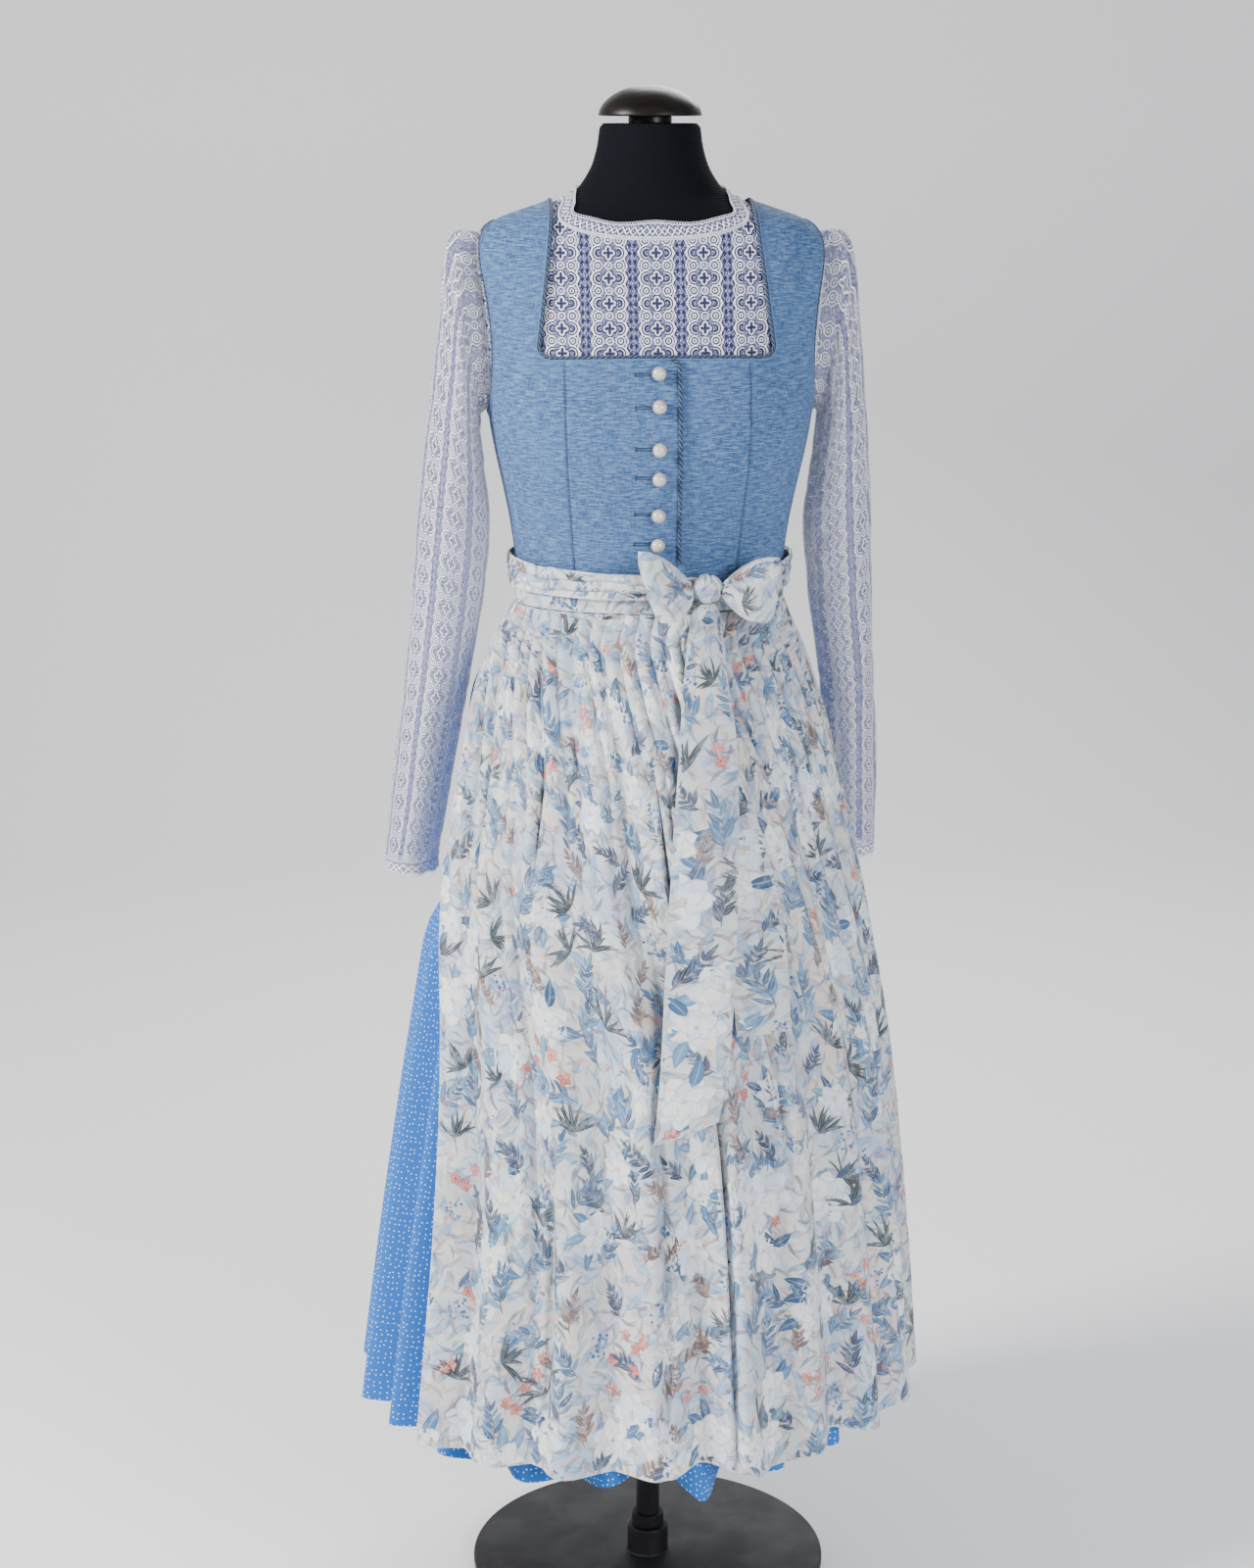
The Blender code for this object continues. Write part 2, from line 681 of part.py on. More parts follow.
def make_bodice_front():
    """Two centre panels that meet at the closing edge, and two side panels that rise as straps."""
    for word, side in (("right", -1), ("left", 1)):
        inner_x = CLOSING_X * side + SEAM_GAP / 2
        seam = front_seam(-SEAM_GAP / 2)
        closing = []
        for angle, z in seam:
            height = z + (neck_front_height(inner_x) - neck_front_height(SEAM_NECK_X)) * (z - WAIST_Z) / 0.25
            closing.append((angle_at(inner_x, height), height))
        rows = panel_rows(closing, seam, 4 if side > 0 else 6, BODICE_LIFT)
        wall("bodice_centre_" + word, rows if side > 0 else flip(rows), BODICE_THICK, LINEN)

        inner = front_seam(SEAM_GAP / 2)[:-1] + turned_round(strap_edge(), SEAM_TURN)
        inner[-1] = (-SEAM_TURN, inner[-1][1])
        hole = turned_round(hole_edge(ARMHOLE, -90, 90, HOLE_STEP), -SEAM_TURN)
        rows = panel_rows(inner, side_seam(-SEAM_TURN)[:-1] + hole, 5, BODICE_LIFT)
        wall("bodice_side_" + word, rows if side > 0 else flip(rows), BODICE_THICK, LINEN)


def make_bodice_back():
    """A centre back with the back straps, and two side backs."""
    meet = -30
    low_hole = hole_edge(ARMHOLE, -90, meet, HOLE_STEP, back=True)
    high_hole = hole_edge(ARMHOLE, meet, 90, HOLE_STEP, back=True)
    end_angle, end_z = high_hole[0]
    start_angle = angle_at(0.040, WAIST_Z, back=True)
    seam = []
    for k in range(9):
        t = k / 8
        seam.append((start_angle + (end_angle - start_angle) * t**2.2, WAIST_Z + (end_z - WAIST_Z) * t))
    middle = [(BACK, WAIST_Z + (NECK_BACK_Z - WAIST_Z) * k / 9) for k in range(9)]
    inner = middle + resample(back_neck_edge(), 7)
    outer = turned_round(seam[:-1] + high_hole, SEAM_TURN)
    inner[-1] = (SEAM_TURN, inner[-1][1])
    rows = panel_rows(inner, outer, 7, BODICE_LIFT)
    for row in rows[:len(middle) + 1]:
        row[0].x = 0.0
    wall("bodice_back_centre", [list(reversed(row)) for row in rows], BODICE_THICK, LINEN, mirrored=True)

    rows = panel_rows(turned_round(seam, -SEAM_TURN), side_seam(SEAM_TURN), 4, BODICE_LIFT)
    armpit = turned_round(list(reversed(low_hole)), SEAM_TURN)
    armpit[0] = (seam[-1][0] - SEAM_TURN, seam[-1][1])
    rows[-1] = [torso_point(a, z, BODICE_LIFT) for a, z in armpit]
    for word, side in (("right", -1), ("left", 1)):
        facing = [list(reversed(row)) for row in rows]
        wall("bodice_back_" + word, facing if side > 0 else flip(facing), BODICE_THICK, LINEN)


def beside(path, away, lift, closed=False):
    """Points beside an edge on the torso, in its surface, at a distance to the left of its run."""
    points = []
    count = len(path)
    for i, (angle, z) in enumerate(path):
        before = path[i - 1] if i or closed else path[i]
        after = path[(i + 1) % count] if i < count - 1 or closed else path[i]
        run = torso_point(*after, lift) - torso_point(*before, lift)
        normal = torso_normal(angle, z)
        points.append(torso_point(angle, z, lift) + normal.cross(run).normalized() * away)
    return points


def cord_tube(name, points, radius, finish, closed):
    """A round tube along points, as a curve with a bevel."""
    curve = bpy.data.curves.new(name, "CURVE")
    curve.dimensions = "3D"
    curve.bevel_depth = radius
    curve.bevel_resolution = 1
    curve.use_fill_caps = not closed
    spline = curve.splines.new("POLY")
    spline.points.add(len(points) - 1)
    for spot, point in zip(spline.points, points):
        spot.co = (*point, 1.0)
    spline.use_cyclic_u = closed
    made = bpy.data.objects.new(name, curve)
    made.data.materials.append(finish)
    PARTS.objects.link(made)
    return made


def make_piping():
    """Braided piping round the neckline and armholes, and down the closing edge."""
    lift = BODICE_LIFT + BODICE_THICK / 2 + 0.6 * MM
    away = PIPING_RADIUS + 0.5 * MM
    front = []
    for x in (0.0, SEAM_NECK_X / 2):
        front.append((angle_at(x, neck_front_height(x)), neck_front_height(x)))
    half = beside(front + strap_edge() + list(reversed(resample(back_neck_edge(), 7)))[1:], away, lift)
    half[0].x = 0.0
    half[-1].x = 0.0
    other = [Vector((-p.x, p.y, p.z)) for p in reversed(half[1:-1])]
    cord_tube("piping_neck", half + other, PIPING_RADIUS, PIPING, closed=True)

    hole = hole_edge(ARMHOLE, -90, 90, HOLE_STEP)
    ring = hole + list(reversed(hole_edge(ARMHOLE, -90, 90, HOLE_STEP, back=True)))[1:-1]
    points = beside(ring, -away, lift, closed=True)
    for word, side in (("right", -1), ("left", 1)):
        mirrored = [Vector((p.x * side, p.y, p.z)) for p in points]
        cord_tube("piping_armhole_" + word, mirrored, PIPING_RADIUS, PIPING, closed=True)

    edge = straight_edge(CLOSING_X + 1.2 * MM, 1.1145, CLOSING_X + 0.4 * MM, NECK_FRONT_Z - 4.5 * MM)
    high = BODICE_LIFT + BODICE_THICK + PIPING_RADIUS + 0.5 * MM
    points = [torso_point(a, z, high) for a, z in resample(edge, 11)]
    cord_tube("piping_closing_edge", points, PIPING_RADIUS, PIPING, closed=False)


def make_buttons():
    """Half-round pearl buttons on the centre front."""
    for number, z in enumerate(BUTTON_HEIGHTS, start=1):
        lift = BODICE_LIFT + BODICE_THICK + 0.1 * MM
        made = primitive(f"button_{number}", "sphere", PEARL, radius=BUTTON_RADIUS, vertices=8, rings=6)
        flatten = 0.82
        for vertex in made.data.vertices:
            vertex.co.z *= flatten
        facing = torso_normal(FRONT, z)
        made.rotation_mode = "QUATERNION"
        made.rotation_quaternion = facing.to_track_quat("Z", "Y")
        made.location = torso_point(FRONT, z, lift) + facing * BUTTON_RADIUS * flatten


def fold_wave(angle, crests, gathers, share_top):
    """0 in a valley and 1 on a crest. Near the waist each fold splits into its gathers."""
    turn = min(max(angle, crests[0]), crests[-1])
    i = max(k for k in range(len(crests) - 1) if crests[k] <= turn + 1e-9)
    part = (turn - crests[i]) / (crests[i + 1] - crests[i])
    broad = 0.5 + 0.5 * math.cos(2 * math.pi * part)
    fine = 0.5 + 0.5 * math.cos(2 * math.pi * gathers(crests[i]) * part)
    return broad * (1 - share_top) + fine * share_top


def skirt_gathers(crest):
    """How many gathers feed the fold after a crest. The side seams lie in the valleys of their folds."""
    return 3 if crest in (-12, 168) else 2


def apron_gathers(crest):
    return 3


def skirt_columns():
    """Hem angles of the skirt's columns: two for each gather."""
    found = []
    for low, high in zip(SKIRT_CRESTS, SKIRT_CRESTS[1:]):
        steps = 2 * skirt_gathers(low)
        found += [low + (high - low) * k / steps for k in range(steps)]
    return found


def skirt_point(hem_angle, z):
    """A point on the skirt's outer side. Where no apron lies over it, its crests stand a little further out."""
    top = smooth(0.90, 1.05, z)
    wave = fold_wave(hem_angle, SKIRT_CRESTS, skirt_gathers, top)
    right_edge, left_edge = APRON_EDGES.at(z)
    around = (hem_angle + 180) % 360 - 180
    covered = right_edge < around < left_edge
    outside = 0.0 if covered else min((around - left_edge) % 360, (right_edge - around) % 360)
    push = 6 * MM * smooth(8, 32, outside) * smooth(0.0, 0.12, 1.06 - z)
    beside_arm = 1 - smooth(18, 36, abs(hem_angle % 360 - 170))
    dent = 17 * MM * beside_arm * smooth(0.70, 0.76, z) * (1 - smooth(0.87, 0.975, z))
    depth = FOLDS.at(z)[0]
    return hang_point(math.radians(hem_angle), z, push - dent - 1.8 * MM - depth * (1 - wave))


def make_skirt():
    """Front and back of the skirt, sewn at the sides and gathered into the waist."""
    seam = 2 * math.degrees(SEAM_TURN)
    around = sorted((a + 180) % 360 - 180 for a in skirt_columns())
    for name, low, high in (("skirt_front", -180, 0), ("skirt_back", 0, 180)):
        inside = [a for a in around if low + 1 < a < high - 1]
        angles = [low + seam] + inside + [high - seam]
        rows = []
        for z in SKIRT_LEVELS:
            rows.append([skirt_point(a if a >= SKIRT_CRESTS[0] else a + 360, z) for a in angles])
        made = wall(name, rows, SKIRT_THICK, SKIRT_COTTON)
        made.modifiers["thickness"].offset = -1.0


def apron_point(share, z, lift=0.0):
    """A point on the apron's inner side: share runs from its right edge to its left edge."""
    right_edge, left_edge = APRON_EDGES.at(z)
    hem_angle = APRON_CRESTS[0] + (APRON_CRESTS[-1] - APRON_CRESTS[0]) * share
    wave = fold_wave(hem_angle, APRON_CRESTS, apron_gathers, smooth(0.93, 1.05, z))
    angle = math.radians(right_edge + (left_edge - right_edge) * share)
    calm = 0.55 + 0.45 * min(1.0, 2.2 * abs(math.sin(angle)))
    return hang_point(angle, z, 1.0 * MM + FOLDS.at(z)[1] * wave * calm + lift)


def make_apron():
    """The gathered apron and its straight waistband."""
    folds = len(APRON_CRESTS) - 1
    shares = []
    for fold in range(folds):
        for k in range(6):
            hem_angle = APRON_CRESTS[fold] + (APRON_CRESTS[fold + 1] - APRON_CRESTS[fold]) * k / 6
            shares.append((hem_angle - APRON_CRESTS[0]) / (APRON_CRESTS[-1] - APRON_CRESTS[0]))
    shares.append(1.0)
    rows = [[apron_point(share, z) for share in shares] for z in APRON_LEVELS]
    wall("apron_skirt", rows, APRON_THICK, APRON_PRINT)

    band_low, band_high = 1.0620, 1.0920
    rows = []
    for z in (band_low, (band_low + band_high) / 2, band_high):
        rows.append([torso_point(math.radians(-179 + 177 * k / 24), z, 7.2 * MM) for k in range(25)])
    wall("apron_waistband", rows, 1.6 * MM, APRON_PRINT)


def tie_rows(start, end, columns, low, high, lift):
    """A tie wound round the waist between two angles, with two soft folds along it."""
    rows = []
    for level in range(5):
        row = []
        for k in range(columns + 1):
            t = k / columns
            angle = math.radians(start + (end - start) * t)
            bottom = low[0] + (low[1] - low[0]) * t
            top = high[0] + (high[1] - high[0]) * t
            fold = (0.0, 2.6, 0.8, 2.8, 0.4)[level] * MM
            row.append(torso_point(angle, bottom + (top - bottom) * level / 4, lift + fold))
        rows.append(row)
    return rows


def make_tie():
    """The tie round the waist: over the band on both sides of the knot, and across the back."""
    lift = 9.7 * MM
    rows = tie_rows(-179, -68, 14, (1.0795, 1.0770), (1.1120, 1.0985), lift)
    wall("tie_wrap_right", rows, 1.5 * MM, APRON_PRINT)
    rows = tie_rows(-58, -1, 7, (1.0770, 1.0795), (1.0985, 1.1120), lift)
    wall("tie_wrap_left", rows, 1.5 * MM, APRON_PRINT)
    rows = tie_rows(-0.8, 180.8, 20, (1.0795, 1.0795), (1.1120, 1.1120), lift - 1 * MM)
    wall("tie_back", rows, 1.5 * MM, APRON_PRINT)


def loop_rows(knot, end_high, end_low, depth, columns, across):
    """A bow loop: out along the front, round its outer end and back behind, wide at the end."""
    rows = []
    low, high = Vector(end_low), Vector(end_high)
    for step in range(columns + 1):
        turn = 2 * math.pi * (0.035 + 0.93 * step / columns)
        reach = (1 - math.cos(turn)) / 2
        forward = Vector((0, -depth * math.sin(turn), 0))
        spread = smooth(-0.10, 0.85, reach)
        row = []
        for k in range(across + 1):
            place = low + (high - low) * k / across
            pinch = Vector(knot) + Vector((0, 0, 0.008 * (2 * k / across - 1)))
            point = pinch + (place - pinch) * reach
            centre = Vector(knot) + ((low + high) / 2 - Vector(knot)) * reach
            point = centre + (point - centre) * (0.45 + 0.55 * spread) / max(reach, 0.45)
            bulge = 1 - 0.35 * (2 * k / across - 1) ** 2
            row.append(point + forward * bulge)
        rows.append(row)
    return rows


def tail_rows(table, columns):
    rows = []
    for row in table:
        values = dict(zip(TAIL_COLUMNS, row))
        line = []
        for k in range(columns + 1):
            t = k / columns
            x = values["x_right"] + (values["x_left"] - values["x_right"]) * t
            z = values["z_right"] + (values["z_left"] - values["z_right"]) * t
            bow = 1.5 * MM * math.sin(math.pi * t)
            line.append(Vector((x, apron_front_y(x, z, values["lift"] + bow), z)))
        rows.append(line)
    return rows


def make_bow():
    """The bow on the wearer's left of the closing: a knot, two loops and two hanging tails."""
    rows = loop_rows((0.0331, -0.1160, 1.0890), (-0.0240, -0.1320, 1.1290), (-0.0030, -0.1330, 1.0600),
                     0.0095, 11, 4)
    wall("bow_loop_right", rows, 1.4 * MM, APRON_PRINT)
    rows = loop_rows((0.0629, -0.1160, 1.0890), (0.1240, -0.1050, 1.1170), (0.1110, -0.1230, 1.0560),
                     0.0090, 11, 4)
    wall("bow_loop_left", rows, 1.4 * MM, APRON_PRINT)
    knot = primitive("bow_knot", "sphere", APRON_PRINT, radius=0.0145, vertices=12, rings=8)
    for vertex in knot.data.vertices:
        vertex.co = Vector((vertex.co.x * 1.05, vertex.co.y * 0.80, vertex.co.z))
    knot.location = (0.0480, -0.1150, 1.0888)
    wall("bow_tail_long", list(reversed(tail_rows(LONG_TAIL, 4))), 1.3 * MM, APRON_PRINT)
    wall("bow_tail_short", list(reversed(tail_rows(SHORT_TAIL, 3))), 1.3 * MM, APRON_PRINT)


for old in list(bpy.data.objects):
    bpy.data.objects.remove(old, do_unlink=True)
PARTS = bpy.data.collections.new("dirndl")
bpy.context.scene.collection.children.link(PARTS)
FORM_CLOTH = material("form_cloth", (0.012, 0.014, 0.022), 0.85)
FORM_CAP = material("form_cap", (0.020, 0.014, 0.012), 0.30)
STAND_METAL = material("stand_metal", (0.030, 0.030, 0.032), 0.35, 0.9)
LACE = material("lace", (0.78, 0.79, 0.93), 0.80)
LINEN = material("linen", (0.21, 0.33, 0.52), 0.85)
PIPING = material("piping", (0.06, 0.09, 0.16), 0.70)
PEARL = material("pearl", (0.78, 0.76, 0.72), 0.25)
SKIRT_COTTON = material("skirt_cotton", (0.16, 0.38, 0.70), 0.85)
APRON_PRINT = material("apron_print", (0.72, 0.76, 0.78), 0.55)
make_dress_form()
make_stand()
make_blouse_body()
make_collar()
make_sleeves()
make_bodice_front()
make_bodice_back()
make_piping()
make_buttons()
make_skirt()
make_apron()
make_tie()
make_bow()
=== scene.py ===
"""The looks of a dirndl on a limbless dress form: linen bodice, lace blouse, dotted skirt, printed apron.

Metres, +Z up. The wearer faces -Y, so +X is the wearer's left. Angles round the figure are measured
from +X towards +Y: -90 degrees is the front, 0 the left side, 90 the back and 180 the right side.
"""
import math
import random

import bpy
import numpy as np
from bpy.props import FloatProperty, FloatVectorProperty, PointerProperty
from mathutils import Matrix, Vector


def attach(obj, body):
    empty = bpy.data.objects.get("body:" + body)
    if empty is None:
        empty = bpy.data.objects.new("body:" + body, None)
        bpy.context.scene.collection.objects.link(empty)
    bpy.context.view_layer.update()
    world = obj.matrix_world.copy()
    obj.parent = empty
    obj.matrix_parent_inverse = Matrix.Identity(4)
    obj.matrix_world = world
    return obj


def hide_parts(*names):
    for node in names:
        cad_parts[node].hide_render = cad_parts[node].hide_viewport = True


bl_info = {
    "name": "Dirndl on a dress form",
    "version": (1, 0, 0),
    "blender": (4, 5, 0),
    "location": "View3D > Sidebar > Dirndl",
    "description": "Builds the cloth, lace, piping and print of a dirndl round its packed model",
    "category": "Object",
}

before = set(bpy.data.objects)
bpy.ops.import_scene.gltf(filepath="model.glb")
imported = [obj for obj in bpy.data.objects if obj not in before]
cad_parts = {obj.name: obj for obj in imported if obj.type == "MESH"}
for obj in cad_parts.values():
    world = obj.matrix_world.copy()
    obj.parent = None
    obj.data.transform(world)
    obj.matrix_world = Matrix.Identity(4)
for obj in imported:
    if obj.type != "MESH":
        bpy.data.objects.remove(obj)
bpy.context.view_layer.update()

MM = 0.001
BODY = "root"

# Driving sizes, the same as in the part's source
WAIST_Z = 1.060
SEAM_GAP = 0.3 * MM
BLOUSE_LIFT = 1.2 * MM
LACE_THICK = 1.0 * MM
BODICE_LIFT = 4.2 * MM
BODICE_THICK = 1.7 * MM
SKIRT_THICK = 1.5 * MM
APRON_THICK = 1.5 * MM
PIPING_RADIUS = 1.7 * MM
BUTTON_RADIUS = 7.2 * MM
NECK_FRONT_Z = 1.3105
NECK_CORNER_X = 0.113
NECK_CORNER_RADIUS = 0.013
NECK_SHOULDER_X = 0.0985
NECK_BACK_Z = 1.392
SEAM_WAIST_X = 0.073
SEAM_NECK_X = 0.088
CLOSING_X = 0.0195
BUST_SEAM_Z = 1.215
ARMHOLE = {"bottom": 1.250, "top": 1.4340, "half_angle": math.radians(25)}
SLEEVE_HOLE = {"bottom": 1.256, "top": 1.4265, "half_angle": math.radians(15)}
BLOUSE_HEM_Z = 1.200
COLLAR_HEIGHT = 0.016
CUFF_HEIGHT = 0.012
BAND_BOTTOM_Z = 1.062
BAND_TOP_Z = 1.092
CLOSING_BOTTOM_Z = 1.1145
FORM_EASE = 6.0 * MM
FORM_BOTTOM_Z = 0.780
FORM_TOP_Z = 1.532
POST_HEIGHT = 6.5 * MM
CAP_RADIUS = 0.0508
CAP_HEIGHT = 0.0295
POLE_RADIUS = 0.0125
BASE_RADIUS = 0.190
BASE_THICK = 0.010
SEAM_TURN = SEAM_GAP / 2 / 0.13
COLLAR_WAVES = 14
FRONT = math.radians(-90)
BACK = math.radians(90)

# Repeats of the lace's pattern and the point that the lights look at
LACE_COLUMN = 0.046
LACE_REPEAT = 0.0235
EDGING_REPEAT = 0.013
PICOT_RADIUS = 1.35 * MM
LIT_POINT = Vector((0, 0, 0.9))

# Node groups, finishes and Geometry Nodes trees by name, each made once
GROUPS = {}
FINISHES = {}
TREES = {}


class Table:
    """A smooth curve through a short table: the first column is the key, and no row is overshot."""

    def __init__(self, rows):
        self.rows = np.array(sorted(rows), float)
        self.keys = self.rows[:, 0]
        steps = np.diff(self.rows[:, 1:], axis=0) / np.diff(self.keys)[:, None]
        before, after = steps[:-1], steps[1:]
        total = np.where(before + after == 0, 1.0, before + after)
        middle = np.where(before * after > 0, 2 * before * after / total, 0.0)
        self.slopes = np.concatenate([steps[:1], middle, steps[-1:]])

    def at(self, key):
        """The columns after the key, by Hermite curves between the rows."""
        key = np.clip(np.asarray(key, float), self.keys[0], self.keys[-1])
        i = np.clip(np.searchsorted(self.keys, key, side="right") - 1, 0, len(self.keys) - 2)
        span = self.keys[i + 1] - self.keys[i]
        t = (key - self.keys[i]) / span
        found = []
        for column in range(self.slopes.shape[1]):
            low, high = self.rows[i, column + 1], self.rows[i + 1, column + 1]
            found.append(
                (2 * t**3 - 3 * t**2 + 1) * low
                + (t**3 - 2 * t**2 + t) * span * self.slopes[i, column]
                + (3 * t**2 - 2 * t**3) * high
                + (t**3 - t**2) * span * self.slopes[i + 1, column]
            )
        return found


# Cross sections of the dress form: height, half width, front, back, squareness
TORSO = Table([
    (0.780, 0.1380, 0.096, 0.104, 2.00), (0.800, 0.1460, 0.101, 0.110, 2.00),
    (0.860, 0.1510, 0.104, 0.116, 2.00), (0.920, 0.1490, 0.102, 0.112, 2.00),
    (0.970, 0.1410, 0.097, 0.102, 2.00), (1.020, 0.1290, 0.092, 0.092, 2.00),
    (1.060, 0.1270, 0.0915, 0.0895, 2.00), (1.100, 0.1295, 0.0945, 0.0905, 2.08),
    (1.140, 0.1345, 0.1015, 0.0935, 2.18), (1.175, 0.1410, 0.1100, 0.0975, 2.28),
    (1.210, 0.1485, 0.1170, 0.1015, 2.35), (1.240, 0.1540, 0.1190, 0.1045, 2.40),
    (1.280, 0.1590, 0.1130, 0.1065, 2.45), (1.320, 0.1635, 0.1030, 0.1055, 2.50),
    (1.360, 0.1680, 0.0925, 0.1005, 2.50), (1.395, 0.1705, 0.0815, 0.0905, 2.50),
    (1.415, 0.1680, 0.0740, 0.0810, 2.40), (1.427, 0.1610, 0.0695, 0.0740, 2.30),
    (1.436, 0.1470, 0.0660, 0.0685, 2.20), (1.442, 0.1310, 0.0637, 0.0652, 2.15),
    (1.448, 0.1130, 0.0613, 0.0623, 2.10), (1.455, 0.0935, 0.0588, 0.0593, 2.05),
    (1.464, 0.0775, 0.0563, 0.0568, 2.00), (1.478, 0.0652, 0.0543, 0.0548, 2.00),
    (1.495, 0.0563, 0.0518, 0.0518, 2.00), (1.515, 0.0513, 0.0493, 0.0493, 2.00),
    (1.528, 0.0495, 0.0480, 0.0480, 2.00), (1.532, 0.0460, 0.0445, 0.0445, 2.00),
])
BUST = {"z": 1.236, "height": 0.055, "angle": math.radians(38), "spread": 0.46, "depth": 0.006}

# The surface between skirt and apron: height, shift to the side, half width, front, back
HANG = Table([
    (0.220, -0.021, 0.288, 0.286, 0.298), (0.300, -0.018, 0.280, 0.277, 0.288),
    (0.410, -0.014, 0.268, 0.264, 0.274), (0.543, -0.009, 0.252, 0.246, 0.254),
    (0.640, -0.006, 0.2385, 0.230, 0.236), (0.736, -0.005, 0.2225, 0.212, 0.216),
    (0.820, -0.006, 0.207, 0.195, 0.198), (0.900, -0.007, 0.190, 0.176, 0.179),
    (0.970, -0.007, 0.172, 0.153, 0.156), (1.005, -0.005, 0.160, 0.138, 0.140),
    (1.030, -0.003, 0.149, 0.122, 0.124), (1.048, -0.001, 0.1390, 0.1085, 0.1085),
    (1.0605, 0.000, 0.1335, 0.0985, 0.0965),
])

# Depth of the folds, crest to valley: height, skirt, apron
FOLDS = Table([
    (0.220, 0.042, 0.028), (0.500, 0.032, 0.022), (0.750, 0.021, 0.015),
    (0.900, 0.012, 0.011), (1.000, 0.0055, 0.0075), (1.0605, 0.0016, 0.0028),
])

# Side edges of the apron round the figure, in degrees: height, right edge, left edge
APRON_EDGES = Table([
    (0.220, -136.5, 8.0), (0.400, -138.0, 7.0), (0.540, -141.0, 6.5), (0.650, -146.0, 5.5),
    (0.740, -153.0, 4.0), (0.820, -158.0, 2.0), (0.900, -159.0, -2.0), (0.970, -164.0, -8.0),
    (1.030, -173.0, -11.0), (1.0605, -179.0, -2.0),
])
SKIRT_CRESTS = [-136, -116, -98, -80, -62, -46, -29, -12, 12, 34, 56, 78, 100, 122, 145, 168, 192, 207, 224]
APRON_CRESTS = [-136.5, -121, -106, -88, -72, -57, -41, -25, -8, 8]
FOLD_SHARPNESS = 0.62
SKIRT_HEM_Z = 0.225
APRON_HEM_Z = 0.240
APRON_TOP_Z = 1.0605

# Sleeves from shoulder to cuff: inner x and z, outer x and z, set-back, half depth
SLEEVE_CAP = [
    (0.1685, 1.2500, 0.1900, 1.4290, 0.000, 0.044), (0.1690, 1.2440, 0.2000, 1.4180, 0.001, 0.050),
    (0.1690, 1.2340, 0.2060, 1.3900, 0.002, 0.053), (0.1680, 1.2200, 0.2100, 1.3450, 0.004, 0.054),
]
SLEEVE_RIGHT = SLEEVE_CAP + [
    (0.1650, 1.1880, 0.2180, 1.2780, 0.006, 0.053), (0.1610, 1.1350, 0.2300, 1.1880, 0.010, 0.051),
    (0.1690, 1.0530, 0.2405, 1.0780, 0.021, 0.048), (0.1875, 0.9500, 0.2520, 0.9560, 0.033, 0.045),
    (0.2170, 0.7870, 0.2730, 0.7870, 0.048, 0.042),
]
SLEEVE_LEFT = SLEEVE_CAP + [
    (0.1640, 1.1880, 0.2170, 1.2780, 0.008, 0.053), (0.1590, 1.1350, 0.2255, 1.1880, 0.017, 0.051),
    (0.1680, 1.0530, 0.2320, 1.0780, 0.036, 0.048), (0.1845, 0.9500, 0.2405, 0.9560, 0.060, 0.045),
    (0.1940, 0.7870, 0.2480, 0.7870, 0.088, 0.042),
]
BUTTON_HEIGHTS = [1.2957, 1.2650, 1.2271, 1.1998, 1.1638, 1.1332]

# Tails of the bow, knot to cut end: right edge z and x, left edge z and x, clearance over the apron
LONG_TAIL = [
    (1.0740, 0.0410, 1.0740, 0.0550, 0.0178), (1.0600, 0.0320, 1.0600, 0.0610, 0.0120),
    (1.0017, 0.0211, 1.0017, 0.0650, 0.0085), (0.9478, 0.0159, 0.9478, 0.0718, 0.0078),
    (0.8578, 0.0071, 0.8578, 0.0723, 0.0072), (0.7323, -0.0024, 0.7323, 0.0663, 0.0066),
    (0.6403, -0.0085, 0.6403, 0.0584, 0.0060), (0.5712, -0.0156, 0.5910, 0.0474, 0.0056),
]
SHORT_TAIL = [
    (1.0700, 0.0430, 1.0700, 0.0585, 0.0060), (1.0600, 0.0410, 1.0600, 0.0600, 0.0040),
    (1.0017, 0.0350, 1.0017, 0.0600, 0.0015), (0.9478, 0.0360, 0.9478, 0.0680, 0.0010),
    (0.9000, 0.0380, 0.9000, 0.0800, 0.0004), (0.8400, 0.0460, 0.8400, 0.1016, 0.0001),
    (0.7587, 0.0590, 0.7587, 0.1181, 0.0001), (0.6686, 0.0677, 0.6666, 0.1233, 0.0001),
]

# Creases as start (across, up), end (across, up), half width and height, in metres on the cloth.
# A negative height is a trough.
SLEEVE_CREASES = [
    (0.010, 0.015, 0.060, 0.050, 0.007, -0.0030), (-0.050, 0.010, -0.010, 0.070, 0.008, -0.0030),
    (0.045, 0.100, 0.090, 0.180, 0.009, 0.0032), (-0.010, 0.140, 0.030, 0.230, 0.008, -0.0028),
    (0.070, 0.210, 0.110, 0.235, 0.006, -0.0034), (0.060, 0.240, 0.115, 0.250, 0.005, 0.0030),
    (0.075, 0.262, 0.118, 0.262, 0.006, -0.0034), (0.030, 0.250, 0.080, 0.300, 0.008, 0.0026),
    (-0.020, 0.300, 0.020, 0.390, 0.009, -0.0028), (0.040, 0.330, 0.055, 0.440, 0.008, 0.0026),
    (-0.070, 0.330, -0.050, 0.470, 0.009, 0.0030), (0.005, 0.430, 0.015, 0.560, 0.008, 0.0024),
    (0.075, 0.420, 0.065, 0.560, 0.009, -0.0026), (-0.045, 0.480, -0.035, 0.600, 0.008, -0.0024),
]
